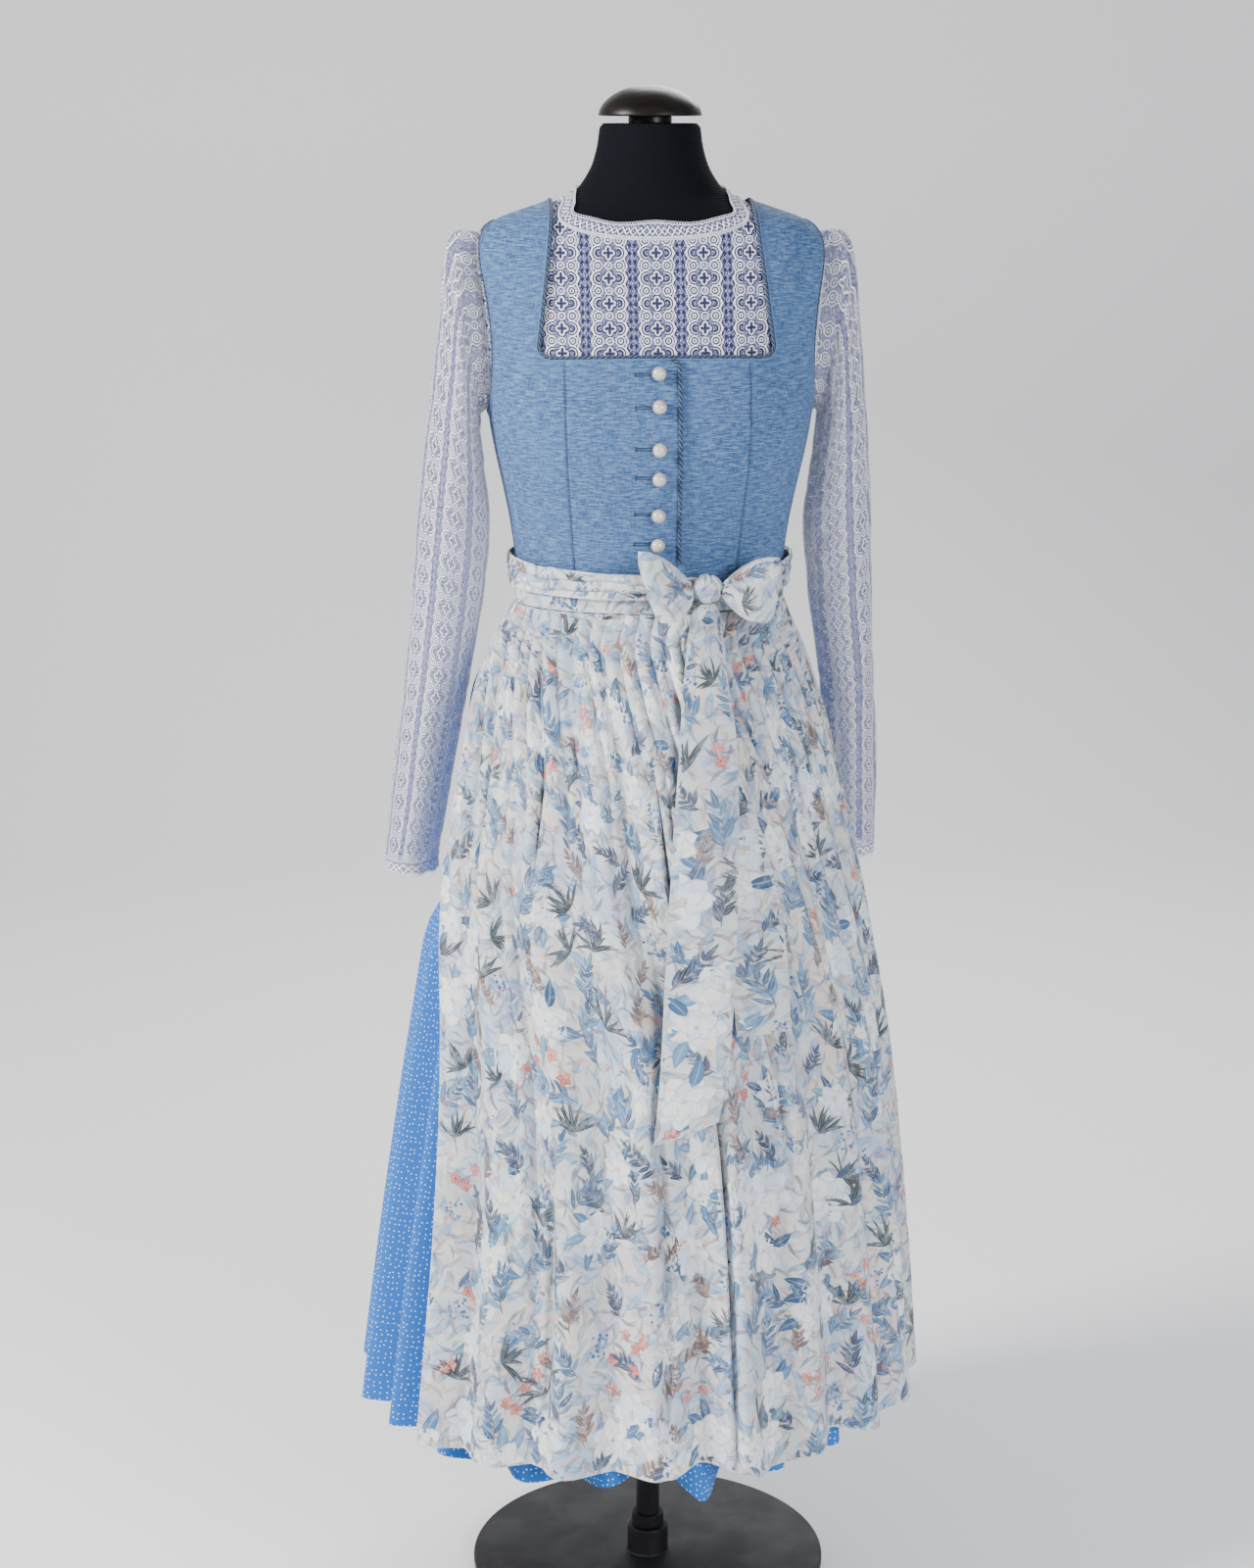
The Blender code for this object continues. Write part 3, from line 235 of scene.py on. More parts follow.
# Creases of the apron: across is the share from its right edge to its left edge
APRON_CREASES = [
    (0.055, 1.02, 0.045, 0.62, 0.008, -0.006), (0.105, 1.03, 0.085, 0.70, 0.008, -0.007),
    (0.165, 1.00, 0.140, 0.42, 0.007, 0.006), (0.235, 1.04, 0.215, 0.80, 0.006, -0.007),
    (0.300, 0.98, 0.275, 0.52, 0.008, -0.008), (0.345, 1.04, 0.335, 0.62, 0.006, 0.006),
    (0.385, 1.05, 0.372, 0.74, 0.005, -0.008), (0.442, 0.92, 0.436, 0.24, 0.005, -0.014),
    (0.470, 1.04, 0.468, 0.60, 0.006, 0.006), (0.525, 1.02, 0.545, 0.50, 0.006, -0.008),
    (0.600, 1.03, 0.620, 0.66, 0.006, 0.006), (0.655, 1.04, 0.690, 0.60, 0.007, -0.009),
    (0.715, 1.00, 0.760, 0.40, 0.008, 0.006), (0.800, 1.02, 0.830, 0.52, 0.008, -0.008),
    (0.875, 1.00, 0.905, 0.45, 0.008, -0.007), (0.940, 1.02, 0.955, 0.60, 0.007, -0.006),
    (0.190, 0.52, 0.180, 0.24, 0.009, -0.009), (0.350, 0.62, 0.340, 0.24, 0.008, -0.010),
    (0.600, 0.56, 0.612, 0.24, 0.009, -0.010), (0.765, 0.46, 0.775, 0.24, 0.009, -0.009),
]

# Uneven hems: place round the hem, half width of the dip, and how far the cloth drops
APRON_DIPS = [(0.40, 0.030, -0.006), (0.485, 0.036, 0.015), (0.60, 0.030, -0.008), (0.71, 0.035, 0.008)]
SKIRT_DIPS = [(-127, 7, 0.012), (-108, 9, 0.014), (-78, 5, 0.025), (-67, 4, 0.010), (-55, 6, 0.012)]
BODICE_CREASES = [
    (0.012, 1.075, 0.030, 1.150, 0.006, 0.0010), (0.045, 1.070, 0.040, 1.170, 0.007, -0.0009),
    (0.062, 1.085, 0.070, 1.190, 0.006, 0.0009), (0.020, 1.245, 0.075, 1.262, 0.007, -0.0007),
    (0.070, 1.100, 0.085, 1.230, 0.007, -0.0008), (0.030, 1.180, 0.062, 1.232, 0.006, 0.0007),
]


def smooth(low, high, value):
    """0 below low, 1 above high, and an easy curve between them."""
    t = np.clip((np.asarray(value, float) - low) / (high - low), 0.0, 1.0)
    return t * t * (3 - 2 * t)


def point(x, y, z):
    """Points from their three coordinates, which may be arrays."""
    x, y, z = np.broadcast_arrays(np.asarray(x, float), y, z)
    return np.stack([x, y, z], axis=-1)


def unit(vectors):
    """The directions as vectors of length one."""
    return vectors / np.maximum(np.linalg.norm(vectors, axis=-1, keepdims=True), 1e-12)


def torso_skin(angle, z):
    """Points on the dress form, at angles round it and heights."""
    angle, z = np.broadcast_arrays(np.asarray(angle, float), np.asarray(z, float))
    half_width, front, back, squareness = TORSO.at(z)
    c, s = np.cos(angle), np.sin(angle)
    depth = np.where(s < 0, front, back)
    swell = np.exp(-(((z - BUST["z"]) / BUST["height"]) ** 2)) * BUST["depth"]
    for side in (-1, 1):
        off = (angle - (FRONT + side * BUST["angle"]) + math.pi) % (2 * math.pi) - math.pi
        gain = swell * np.exp(-((off / BUST["spread"]) ** 2))
        half_width = half_width + gain * np.abs(c)
        depth = depth + gain
    power = 2 / squareness
    return point(half_width * np.sign(c) * np.abs(c) ** power, depth * np.sign(s) * np.abs(s) ** power, z)


def torso_normal(angle, z):
    """The directions straight out of the dress form."""
    angle, z = np.asarray(angle, float), np.asarray(z, float)
    along = torso_skin(angle + 0.01, z) - torso_skin(angle - 0.01, z)
    up = torso_skin(angle, z + 0.0008) - torso_skin(angle, z - 0.0008)
    return unit(np.cross(along, up))


def torso_point(angle, z, lift=0.0):
    """A point on the torso at an angle and height, lifted outwards off its surface."""
    return torso_skin(angle, z) + torso_normal(angle, z) * np.asarray(lift)[..., None]


def angle_at(x, z, back=False):
    """The angle round the figure where its skin is that far to the side at that height."""
    half_width, _, _, squareness = TORSO.at(z)
    share = np.minimum(np.abs(x) / half_width, 1.0)
    turn = np.arccos(share ** (squareness / 2))
    side = np.where(np.asarray(x) >= 0, turn, math.pi - turn)
    return side if back else -side


def ridge_height(x):
    """The height of the shoulder's ridge at a distance to the side."""
    low, high = 1.400, 1.530
    for _ in range(40):
        middle = (low + high) / 2
        low, high = (middle, high) if TORSO.at(middle)[0] > x else (low, middle)
    return low


def hang_point(angle, z, lift=0.0):
    """Points on the smooth surface that parts the skirt from the apron, moved out by lift."""
    shift, half_width, front, back = HANG.at(z)
    depth = np.where(np.sin(angle) < 0, front, back)
    return point(shift + (half_width + lift) * np.cos(angle), (depth + lift) * np.sin(angle), z)


def apron_front_y(x, z, lift):
    """How far forward the crests of the apron's folds reach at a place seen from the front."""
    shift, half_width, front, _ = HANG.at(z)
    reach = FOLDS.at(z)[1] + APRON_THICK + 1 * MM + lift
    share = np.minimum(np.abs(x - shift) / (half_width + reach), 1.0)
    return -(front + reach) * np.sqrt(1 - share * share)


def neck_front_height(x):
    """The bottom edge of the square neckline, a little higher in the middle."""
    return NECK_FRONT_Z - 2 * MM * (np.asarray(x) / NECK_CORNER_X) ** 2


def hole_edge(hole, turn, back=False):
    """Places on an armhole: the turn runs from -90 at the armpit to 90 degrees at the shoulder's tip."""
    middle = (hole["bottom"] + hole["top"]) / 2
    half = (hole["top"] - hole["bottom"]) / 2
    swing = hole["half_angle"] * np.cos(np.radians(turn))
    return (swing if back else -swing), middle + half * np.sin(np.radians(turn))


SEAM_TOP_Z = float(neck_front_height(SEAM_NECK_X))
SEAM_HEIGHTS = [WAIST_Z + (BUST_SEAM_Z - WAIST_Z) * k / 8 for k in range(9)] + [1.247, 1.279, SEAM_TOP_Z]


def front_seam(r, shift):
    """The shaped seam on the wearer's left, from the waist at r = 0 to the neckline at r = 11."""
    z = np.interp(r, range(12), SEAM_HEIGHTS)
    t = (z - WAIST_Z) / (SEAM_TOP_Z - WAIST_Z)
    x = SEAM_WAIST_X + (SEAM_NECK_X - SEAM_WAIST_X) * t + 2.5 * MM * np.sin(math.pi * t) + shift
    return angle_at(x, z), z


def strap_edge(r):
    """The front neckline on the wearer's left.

    It runs from the bottom edge at r = 0 round the corner and up the strap's edge to r = 9.
    """
    radius = NECK_CORNER_RADIUS
    corner_x = NECK_CORNER_X - radius
    corner_z = neck_front_height(corner_x) + radius
    top = ridge_height(NECK_SHOULDER_X)
    flat_x = SEAM_NECK_X + (corner_x - SEAM_NECK_X) * np.clip(r, 0, 1)
    turn = np.radians(-90 + 45 * np.clip(r - 1, 0, 2))
    share = np.sin(math.pi / 2 * np.clip((r - 3) / 6, 0, 1))
    x = np.where(r < 1, flat_x, corner_x + radius * np.cos(turn))
    z = np.where(r < 1, neck_front_height(flat_x), corner_z + radius * np.sin(turn))
    x = np.where(r > 3, NECK_CORNER_X + (NECK_SHOULDER_X - NECK_CORNER_X) * share, x)
    z = np.where(r > 3, corner_z + (top - corner_z) * share, z)
    angle = angle_at(x, z)
    return np.where(r > 8.999, 0.0, angle), z


def back_neck_edge(share):
    """The back neckline on the wearer's left, evenly from the middle of the back to the ridge."""
    top = ridge_height(NECK_SHOULDER_X)
    turn = np.linspace(0, math.pi / 2, 200)
    x = NECK_SHOULDER_X * np.sin(turn) ** 0.75
    z = top - (top - NECK_BACK_Z) * np.cos(turn) ** 0.75
    angle = angle_at(x, z, back=True)
    angle[-1] = 0.0
    steps = np.linalg.norm(np.diff(torso_point(angle, z), axis=0), axis=1)
    length = np.concatenate([[0], np.cumsum(steps)])
    place = np.asarray(share) * length[-1]
    return np.interp(place, length, angle), np.interp(place, length, z)


def collar_base(angle):
    """The height of the neck seam of the blouse round the neck."""
    s = np.sin(angle)
    return np.where(s < 0, 1.4580 - 0.0355 * np.maximum(-s, 0) ** 2.5, 1.4580 + 0.002 * s * s)


def up_the_neck(angle, z, distance):
    """The heights reached from z by going that far up the torso's skin."""
    step = 0.0003
    angle, z, distance = np.broadcast_arrays(angle, z, distance)
    z, left = z.copy(), distance.copy()
    place = torso_skin(angle, z)
    while (left > 1e-9).any():
        after = torso_skin(angle, z + step)
        gone = np.linalg.norm(after - place, axis=-1)
        move = np.clip(left / gone, 0.0, 1.0)
        z = z + step * move
        left = left - gone * move
        place = torso_skin(angle, z)
    return z


def fold_wave(turn, crests, gathers, share_top):
    """0 in a valley and 1 on a crest. Near the waist each fold splits into its gathers."""
    crests = np.array(crests, float)
    turn = np.clip(turn, crests[0], crests[-1])
    i = np.clip(np.searchsorted(crests, turn + 1e-9, side="right") - 1, 0, len(crests) - 2)
    part = (turn - crests[i]) / (crests[i + 1] - crests[i])
    broad = (0.5 + 0.5 * np.cos(2 * math.pi * (part + 0.05 * np.sin(2 * math.pi * part)))) ** FOLD_SHARPNESS
    fine = (0.5 + 0.5 * np.cos(2 * math.pi * np.array(gathers)[i] * part)) ** FOLD_SHARPNESS
    return broad * (1 - share_top) + fine * share_top


def grid_normals(points, closed=False):
    """The outward normals of a grid of points."""
    across = np.roll(points, -1, 1) - np.roll(points, 1, 1) if closed else np.gradient(points, axis=1)
    return unit(np.cross(across, np.gradient(points, axis=0)))


def run_lengths(points, closed=False):
    """Distances along each row from its first point. A closed row has one more, back at its start."""
    if closed:
        points = np.concatenate([points, points[:, :1]], axis=1)
    steps = np.linalg.norm(np.diff(points, axis=1), axis=-1)
    return np.concatenate([np.zeros((len(points), 1)), np.cumsum(steps, axis=1)], axis=1)


def rise(points):
    """The mean distance of each row from the first one, along the cloth."""
    steps = np.linalg.norm(np.diff(points, axis=0), axis=-1).mean(axis=1)
    return np.concatenate([[0.0], np.cumsum(steps)])


def creases(table, across, up):
    """The height of listed creases at places on a cloth."""
    total = np.zeros(np.broadcast(across, up).shape)
    for a0, u0, a1, u1, half_width, height in table:
        run = np.array([a1 - a0, u1 - u0])
        t = np.clip(((across - a0) * run[0] + (up - u0) * run[1]) / (run @ run), 0, 1)
        off = np.hypot(across - a0 - t * run[0], up - u0 - t * run[1])
        total += height * np.exp(-((off / half_width) ** 2)) * np.sqrt(np.clip(4.2 * t * (1 - t), 0.05, 1))
    return total


def hem_drop(table, across, z, low, high):
    """How far an uneven hem hangs lower than an even one. The drop fades out upwards."""
    drop = sum(depth * np.exp(-(((across - place) / half) ** 2)) for place, half, depth in table)
    return drop * (1 - smooth(low, high, z))


def linked(name, data):
    """An object of the scene that holds the data."""
    made = bpy.data.objects.new(name, data)
    bpy.context.scene.collection.objects.link(made)
    return made


def mesh_object(name, places, faces, uvs=None, finish=None, sharp=50):
    """A smooth mesh from points and faces, with the flat sizes of its cloth as a UV map.

    Edges that turn by more than the sharp angle, in degrees, stay hard.
    """
    mesh = bpy.data.meshes.new(name)
    faces = faces.tolist() if isinstance(faces, np.ndarray) else faces
    mesh.from_pydata(np.asarray(places).tolist(), [], faces)
    if uvs is not None:
        layer = mesh.uv_layers.new(name="cloth")
        layer.data.foreach_set("uv", np.asarray(uvs, np.float32).ravel())
    mesh.shade_smooth()
    if sharp is not None:
        mesh.set_sharp_from_angle(angle=math.radians(sharp))
    if finish is not None:
        mesh.materials.append(finish)
    return linked(name, mesh)


def capped_rings(rings):
    """Points and faces of a closed solid, from rings that run upwards and anticlockwise.

    The middle of the first ring and of the last one close its ends.
    """
    rows, sides = rings.shape[:2]
    ends = np.stack([rings[0].mean(axis=0), rings[-1].mean(axis=0)])
    low, high = rows * sides, rows * sides + 1
    faces = []
    for k in range(sides):
        j = (k + 1) % sides
        for r in range(rows - 1):
            faces.append((r * sides + k, r * sides + j, (r + 1) * sides + j, (r + 1) * sides + k))
        faces.append((j, k, low))
        faces.append(((rows - 1) * sides + k, (rows - 1) * sides + j, high))
    return np.concatenate([rings.reshape(-1, 3), ends]), faces


# Each finished cloth by name: the points of its outer side, its normals and its flat sizes
CLOTHS = {}


def shell(name, points, uvs, thick, finish, closed=False, outward=True):
    """Cloth with two sides and closed rims, from rows of points that run upwards and anticlockwise."""
    rows, columns = points.shape[:2]
    normals = grid_normals(points, closed)
    other = points + normals * (thick if outward else -thick)
    inner, outer = (points, other) if outward else (other, points)
    places = np.concatenate([inner.reshape(-1, 3), outer.reshape(-1, 3)])
    faces, corners = [], []

    def add(*steps, r, c):
        found = [(r + dr) * columns + (c + dc) % columns + side * rows * columns for dr, dc, side in steps]
        faces.append(np.stack([f.ravel() for f in found], axis=1))
        flat = [uvs[r + dr, c + dc].reshape(-1, 2) for dr, dc, _ in steps]
        corners.append(np.stack(flat, axis=1))

    last = columns if closed else columns - 1
    r, c = np.meshgrid(np.arange(rows - 1), np.arange(last), indexing="ij")
    add((0, 0, 1), (0, 1, 1), (1, 1, 1), (1, 0, 1), r=r, c=c)
    add((1, 0, 0), (1, 1, 0), (0, 1, 0), (0, 0, 0), r=r, c=c)
    along = np.arange(last)
    add((0, 0, 0), (0, 1, 0), (0, 1, 1), (0, 0, 1), r=np.zeros_like(along), c=along)
    add((0, 0, 1), (0, 1, 1), (0, 1, 0), (0, 0, 0), r=np.full_like(along, rows - 1), c=along)
    if not closed:
        up = np.arange(rows - 1)
        add((0, 0, 0), (0, 0, 1), (1, 0, 1), (1, 0, 0), r=up, c=np.zeros_like(up))
        add((0, 0, 1), (0, 0, 0), (1, 0, 0), (1, 0, 1), r=up, c=np.full_like(up, columns - 1))
    made = mesh_object(name, places, np.concatenate(faces), np.concatenate(corners), finish)
    CLOTHS[name] = (outer, normals, uvs)
    return made


def settle(made, slot, *replaced):
    """Every piece rides on the part's one body and hides the parts that it replaces. The slot is not used.
    """
    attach(made, BODY)
    if replaced:
        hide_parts(*replaced)
    return made


def cloth_area(name):
    """The area of a cloth's outer side."""
    points = CLOTHS[name][0]
    a, b = points[:-1, 1:] - points[:-1, :-1], points[1:, :-1] - points[:-1, :-1]
    return float(np.linalg.norm(np.cross(a, b), axis=-1).sum())


def declare_sheet(made, flat=None):
    """Works out the flat cut of a cloth: a rectangle round it, and its area where it isn't one. Nothing is
    done with them.
    """
    _, _, uvs = CLOTHS[made.name]
    width = float(uvs[..., 0].max() - uvs[..., 0].min())
    height = float(uvs[..., 1].max() - uvs[..., 1].min())
    area = cloth_area(made.name)
    width, height = flat or (width, height)


class Wiring:
    """Adds nodes to a node tree. What feeds a socket is a value or another node's output."""

    def __init__(self, tree):
        self.tree = tree

    def add(self, kind, settings=None, inputs=None):
        node = self.tree.nodes.new(kind)
        for key, value in (settings or {}).items():
            setattr(node, key, value)
        for key, value in (inputs or {}).items():
            self.feed(node.inputs[key], value)
        return node

    def feed(self, socket, value):
        """Links a socket, or sets the value, as the input of a node."""
        if isinstance(value, bpy.types.NodeSocket):
            self.tree.links.new(value, socket)
        elif value is not None:
            socket.default_value = value

    def maths(self, operation, *values, clamp=False):
        """The result of a maths node."""
        settings = {"operation": operation, "use_clamp": clamp}
        return self.add("ShaderNodeMath", settings, dict(enumerate(values))).outputs[0]

    def vector(self, operation, *values):
        """The result of a vector maths node."""
        node = self.add("ShaderNodeVectorMath", {"operation": operation}, dict(enumerate(values)))
        return node.outputs["Value" if operation in ("LENGTH", "DOT_PRODUCT") else "Vector"]

    def step(self, value, low, high):
        """0 up to low, 1 from high on, with a soft change between them."""
        settings = {"interpolation_type": "SMOOTHSTEP"}
        return self.add("ShaderNodeMapRange", settings, {0: value, 1: low, 2: high}).outputs[0]

    def mix(self, share, first, second):
        """A colour between two others."""
        settings = {"data_type": "RGBA"}
        mixed = self.add("ShaderNodeMix", settings, {0: share, 6: colour(first), 7: colour(second)})
        return mixed.outputs[2]

    def noise(self, vector, scale, detail=2.0, rough=0.5):
        """The value of a noise texture."""
        inputs = {"Vector": vector, "Scale": scale, "Detail": detail, "Roughness": rough}
        return self.add("ShaderNodeTexNoise", None, inputs).outputs["Fac"]

    def split(self, vector):
        """The parts of a vector."""
        node = self.add("ShaderNodeSeparateXYZ", None, {0: vector})
        return node.outputs[0], node.outputs[1], node.outputs[2]

    def scaled(self, vector, size):
        """A vector scaled by three factors."""
        return self.vector("MULTIPLY", vector, size)


def colour(value):
    """A colour of three numbers gets its fourth."""
    if isinstance(value, bpy.types.NodeSocket) or len(value) == 4:
        return value
    return (*value, 1.0)


def shade(red, green, blue):
    """A colour from the 0 to 255 values that a screen shows."""
    found = []
    for part in (red, green, blue):
        part /= 255
        found.append(part / 12.92 if part <= 0.04045 else ((part + 0.055) / 1.055) ** 2.4)
    return tuple(found)


def node_group(name, kind, inputs, outputs):
    """An empty node group with named sockets, and the two nodes at its ends."""
    tree = bpy.data.node_groups.new(name, kind)
    for label, socket, default in inputs:
        made = tree.interface.new_socket(name=label, in_out="INPUT", socket_type=socket)
        if default is not None:
            made.default_value = default
    for label, socket in outputs:
        tree.interface.new_socket(name=label, in_out="OUTPUT", socket_type=socket)
    return tree, tree.nodes.new("NodeGroupInput").outputs, tree.nodes.new("NodeGroupOutput").inputs


NUMBER, VECTOR, GEOMETRY = "NodeSocketFloat", "NodeSocketVector", "NodeSocketGeometry"


def woven_group():
    """Threads over and under each other, with slubs: uneven thick places that run along the weft."""
    tree, given, out = node_group(
        "woven threads", "ShaderNodeTree",
        [("Cloth", VECTOR, None), ("Thread Pitch", NUMBER, 0.0006), ("Slub Length", NUMBER, 0.012)],
        [("Height", NUMBER), ("Slubs", NUMBER)],
    )
    w = Wiring(tree)
    across, up, _ = w.split(given["Cloth"])
    turns = w.maths("DIVIDE", math.pi, given["Thread Pitch"])
    warp = w.maths("SINE", w.maths("MULTIPLY", across, turns))
    weft = w.maths("SINE", w.maths("MULTIPLY", up, turns))
    weave = w.maths("MULTIPLY", warp, weft)
    short = w.maths("DIVIDE", 1.0, given["Slub Length"])
    along = w.add("ShaderNodeCombineXYZ", None, {0: w.maths("MULTIPLY", across, short),
                                                 1: w.maths("MULTIPLY", up, 900.0)}).outputs[0]
    upright = w.add("ShaderNodeCombineXYZ", None, {0: w.maths("MULTIPLY", across, 900.0),
                                                   1: w.maths("MULTIPLY", up, short)}).outputs[0]
    weft_slubs = w.noise(along, 1.0, 3.0, 0.6)
    warp_slubs = w.noise(upright, 1.0, 3.0, 0.6)
    slubs = w.maths("ADD", w.maths("MULTIPLY", weft_slubs, 0.62), w.maths("MULTIPLY", warp_slubs, 0.38))
    w.feed(out["Slubs"], w.step(slubs, 0.41, 0.61))
    w.feed(out["Height"], w.maths("ADD", w.maths("MULTIPLY", weave, 0.4), slubs))
    return tree


def lace_group():
    """Guipure lace in columns of crosses with looped petals, scallops and a ladder between them."""
    tree, given, out = node_group(
        "lace pattern", "ShaderNodeTree",
        [("Cloth", VECTOR, None), ("Column Width", NUMBER, LACE_COLUMN), ("Repeat", NUMBER, LACE_REPEAT)],
        [("Cord", NUMBER), ("Hole", NUMBER), ("Net", NUMBER)],
    )
    w = Wiring(tree)
    m = w.maths
    across, up, _ = w.split(given["Cloth"])

    def folded(value, size, units):
        """Distance from the middle of its repeat, in millimetres."""
        share = m("SUBTRACT", m("FRACT", m("ADD", m("DIVIDE", value, size), 0.5)), 0.5)
        return m("MULTIPLY", m("ABSOLUTE", share), units)

    x = folded(across, given["Column Width"], 46.0)
    y = folded(up, given["Repeat"], 23.5)

    def away(centre_x, centre_y):
        return w.vector("LENGTH", w.add("ShaderNodeCombineXYZ", None, {
            0: m("SUBTRACT", x, centre_x), 1: m("SUBTRACT", y, centre_y)}).outputs[0])

    def line(value, place, half):
        """1 on a cord that follows value = place."""
        off = m("ABSOLUTE", m("SUBTRACT", value, place))
        return m("SUBTRACT", 1.0, w.step(off, half * 0.55, half * 1.3))

    def most(*values):
        found = values[0]
        for value in values[1:]:
            found = m("MAXIMUM", found, value)
        return found

    def bar(first, second, reach):
        past = m("MAXIMUM", m("SUBTRACT", second, reach), 0.0)
        return m("SQRT", m("ADD", m("POWER", first, 2.0), m("POWER", past, 2.0)))

    plus = m("MINIMUM", bar(x, y, 3.9), bar(y, x, 3.4))
    petals = line(plus, 2.35, 0.80)
    slit = m("SUBTRACT", 1.0, w.step(plus, 0.75, 1.15))
    scallop = away(9.2, 0.0)
    open_side = w.step(x, 7.3, 8.3)
    arcs = m("MULTIPLY", most(line(scallop, 7.1, 0.80), line(scallop, 4.5, 0.60)), open_side)
    small = away(10.4, 11.75)
    tufts = most(line(small, 4.2, 0.70), line(small, 1.7, 0.60))
    knot = away(0.0, 11.75)
    centre = most(line(knot, 3.3, 0.70), m("SUBTRACT", 1.0, w.step(knot, 0.7, 1.3)))
    wave = m("MULTIPLY", m("COSINE", m("MULTIPLY", y, 2 * math.pi / 11.75)), 1.2)
    border = line(m("SUBTRACT", x, wave), 16.3, 0.70)
    rung_y = m("ABSOLUTE", m("SUBTRACT", m("FRACT", m("ADD", m("DIVIDE", up, 0.00783), 0.5)), 0.5))
    rung_y = m("MULTIPLY", rung_y, 7.83)
    diamond = m("ADD", m("DIVIDE", m("ABSOLUTE", m("SUBTRACT", x, 20.5)), 2.2), m("DIVIDE", rung_y, 3.3))
    ladder = m("SUBTRACT", 1.0, w.step(diamond, 0.75, 1.1))
    side_gap = m("MULTIPLY", line(m("SUBTRACT", x, wave), 18.1, 0.55), w.step(rung_y, 1.2, 2.4))
    gap = most(line(plus, 3.60, 0.80), m("MULTIPLY", line(scallop, 5.8, 0.75), open_side),
               line(small, 3.0, 0.75), m("MULTIPLY", line(scallop, 8.4, 0.75), open_side),
               m("MULTIPLY", line(scallop, 3.0, 1.1), open_side))
    cord = m("MULTIPLY", most(petals, arcs, tufts, centre, border), m("SUBTRACT", 1.0, most(slit, ladder)))
    stipple = w.noise(w.scaled(given["Cloth"], (1000.0, 1000.0, 1000.0)), 0.75, 1.0)
    broken = w.step(stipple, 0.27, 0.39)
    pinholes = m("MULTIPLY", w.step(stipple, 0.44, 0.52), 0.9)
    hole = most(slit, ladder, side_gap, m("MULTIPLY", gap, broken), pinholes)
    w.feed(out["Cord"], cord)
    w.feed(out["Hole"], m("MULTIPLY", hole, m("SUBTRACT", 1.0, cord)))
    w.feed(out["Net"], w.step(stipple, 0.30, 0.50))
    return tree


def edging_group():
    """Narrow lace edging: a band of zigzag diamonds between two cords, with pinholes."""
    tree, given, out = node_group(
        "lace edging", "ShaderNodeTree",
        [("Cloth", VECTOR, None), ("Height", NUMBER, COLLAR_HEIGHT), ("Repeat", NUMBER, EDGING_REPEAT)],
        [("Cord", NUMBER), ("Hole", NUMBER)],
    )
    w = Wiring(tree)
    m = w.maths
    across, up, _ = w.split(given["Cloth"])
    level = m("DIVIDE", up, given["Height"])
    share = m("FRACT", m("DIVIDE", across, given["Repeat"]))
    zig = m("MULTIPLY", m("ABSOLUTE", m("SUBTRACT", share, 0.5)), 2.0)
    first = m("ABSOLUTE", m("SUBTRACT", level, m("MULTIPLY_ADD", zig, 0.50, 0.22)))
    second = m("ABSOLUTE", m("SUBTRACT", level, m("MULTIPLY_ADD", zig, -0.50, 0.78)))
    cord = m("SUBTRACT", 1.0, w.step(m("MINIMUM", first, second), 0.055, 0.085))
    near = w.step(m("MINIMUM", first, second), 0.09, 0.12)
    pin = w.add("ShaderNodeTexVoronoi", None, {"Vector": given["Cloth"], "Scale": 620.0}).outputs["Distance"]
    pinhole = m("MULTIPLY", m("SUBTRACT", 1.0, w.step(pin, 0.30, 0.42)), near)
    hole = m("SUBTRACT", 1.0, w.step(m("MINIMUM", first, second), 0.16, 0.22))
    dark = m("MULTIPLY", hole, m("SUBTRACT", 1.0, cord))
    band = m("MULTIPLY", w.step(level, 0.16, 0.22), m("SUBTRACT", 1.0, w.step(level, 0.88, 0.94)))
    w.feed(out["Cord"], m("MAXIMUM", cord, m("SUBTRACT", 1.0, band)))
    w.feed(out["Hole"], m("MULTIPLY", m("MAXIMUM", pinhole, m("MULTIPLY", dark, 0.8)), band))
    return tree


def wash_group():
    """Soft patches of watercolour, three of them independent of each other."""
    tree, given, out = node_group(
        "watercolour washes", "ShaderNodeTree",
        [("Cloth", VECTOR, None), ("Patch Size", NUMBER, 0.07)],
        [("First", NUMBER), ("Second", NUMBER), ("Third", NUMBER)],
    )
    w = Wiring(tree)
    size = w.maths("DIVIDE", 1.0, given["Patch Size"])
    layers = (("First", 3.1, 0.46, 0.68), ("Second", 17.7, 0.50, 0.70), ("Third", 41.3, 0.54, 0.72))
    for label, offset, low, high in layers:
        moved = w.vector("ADD", given["Cloth"], (offset, offset * 0.7, offset * 0.3))
        w.feed(out[label], w.step(w.noise(moved, size, 5.0, 0.62), low, high))
    return tree


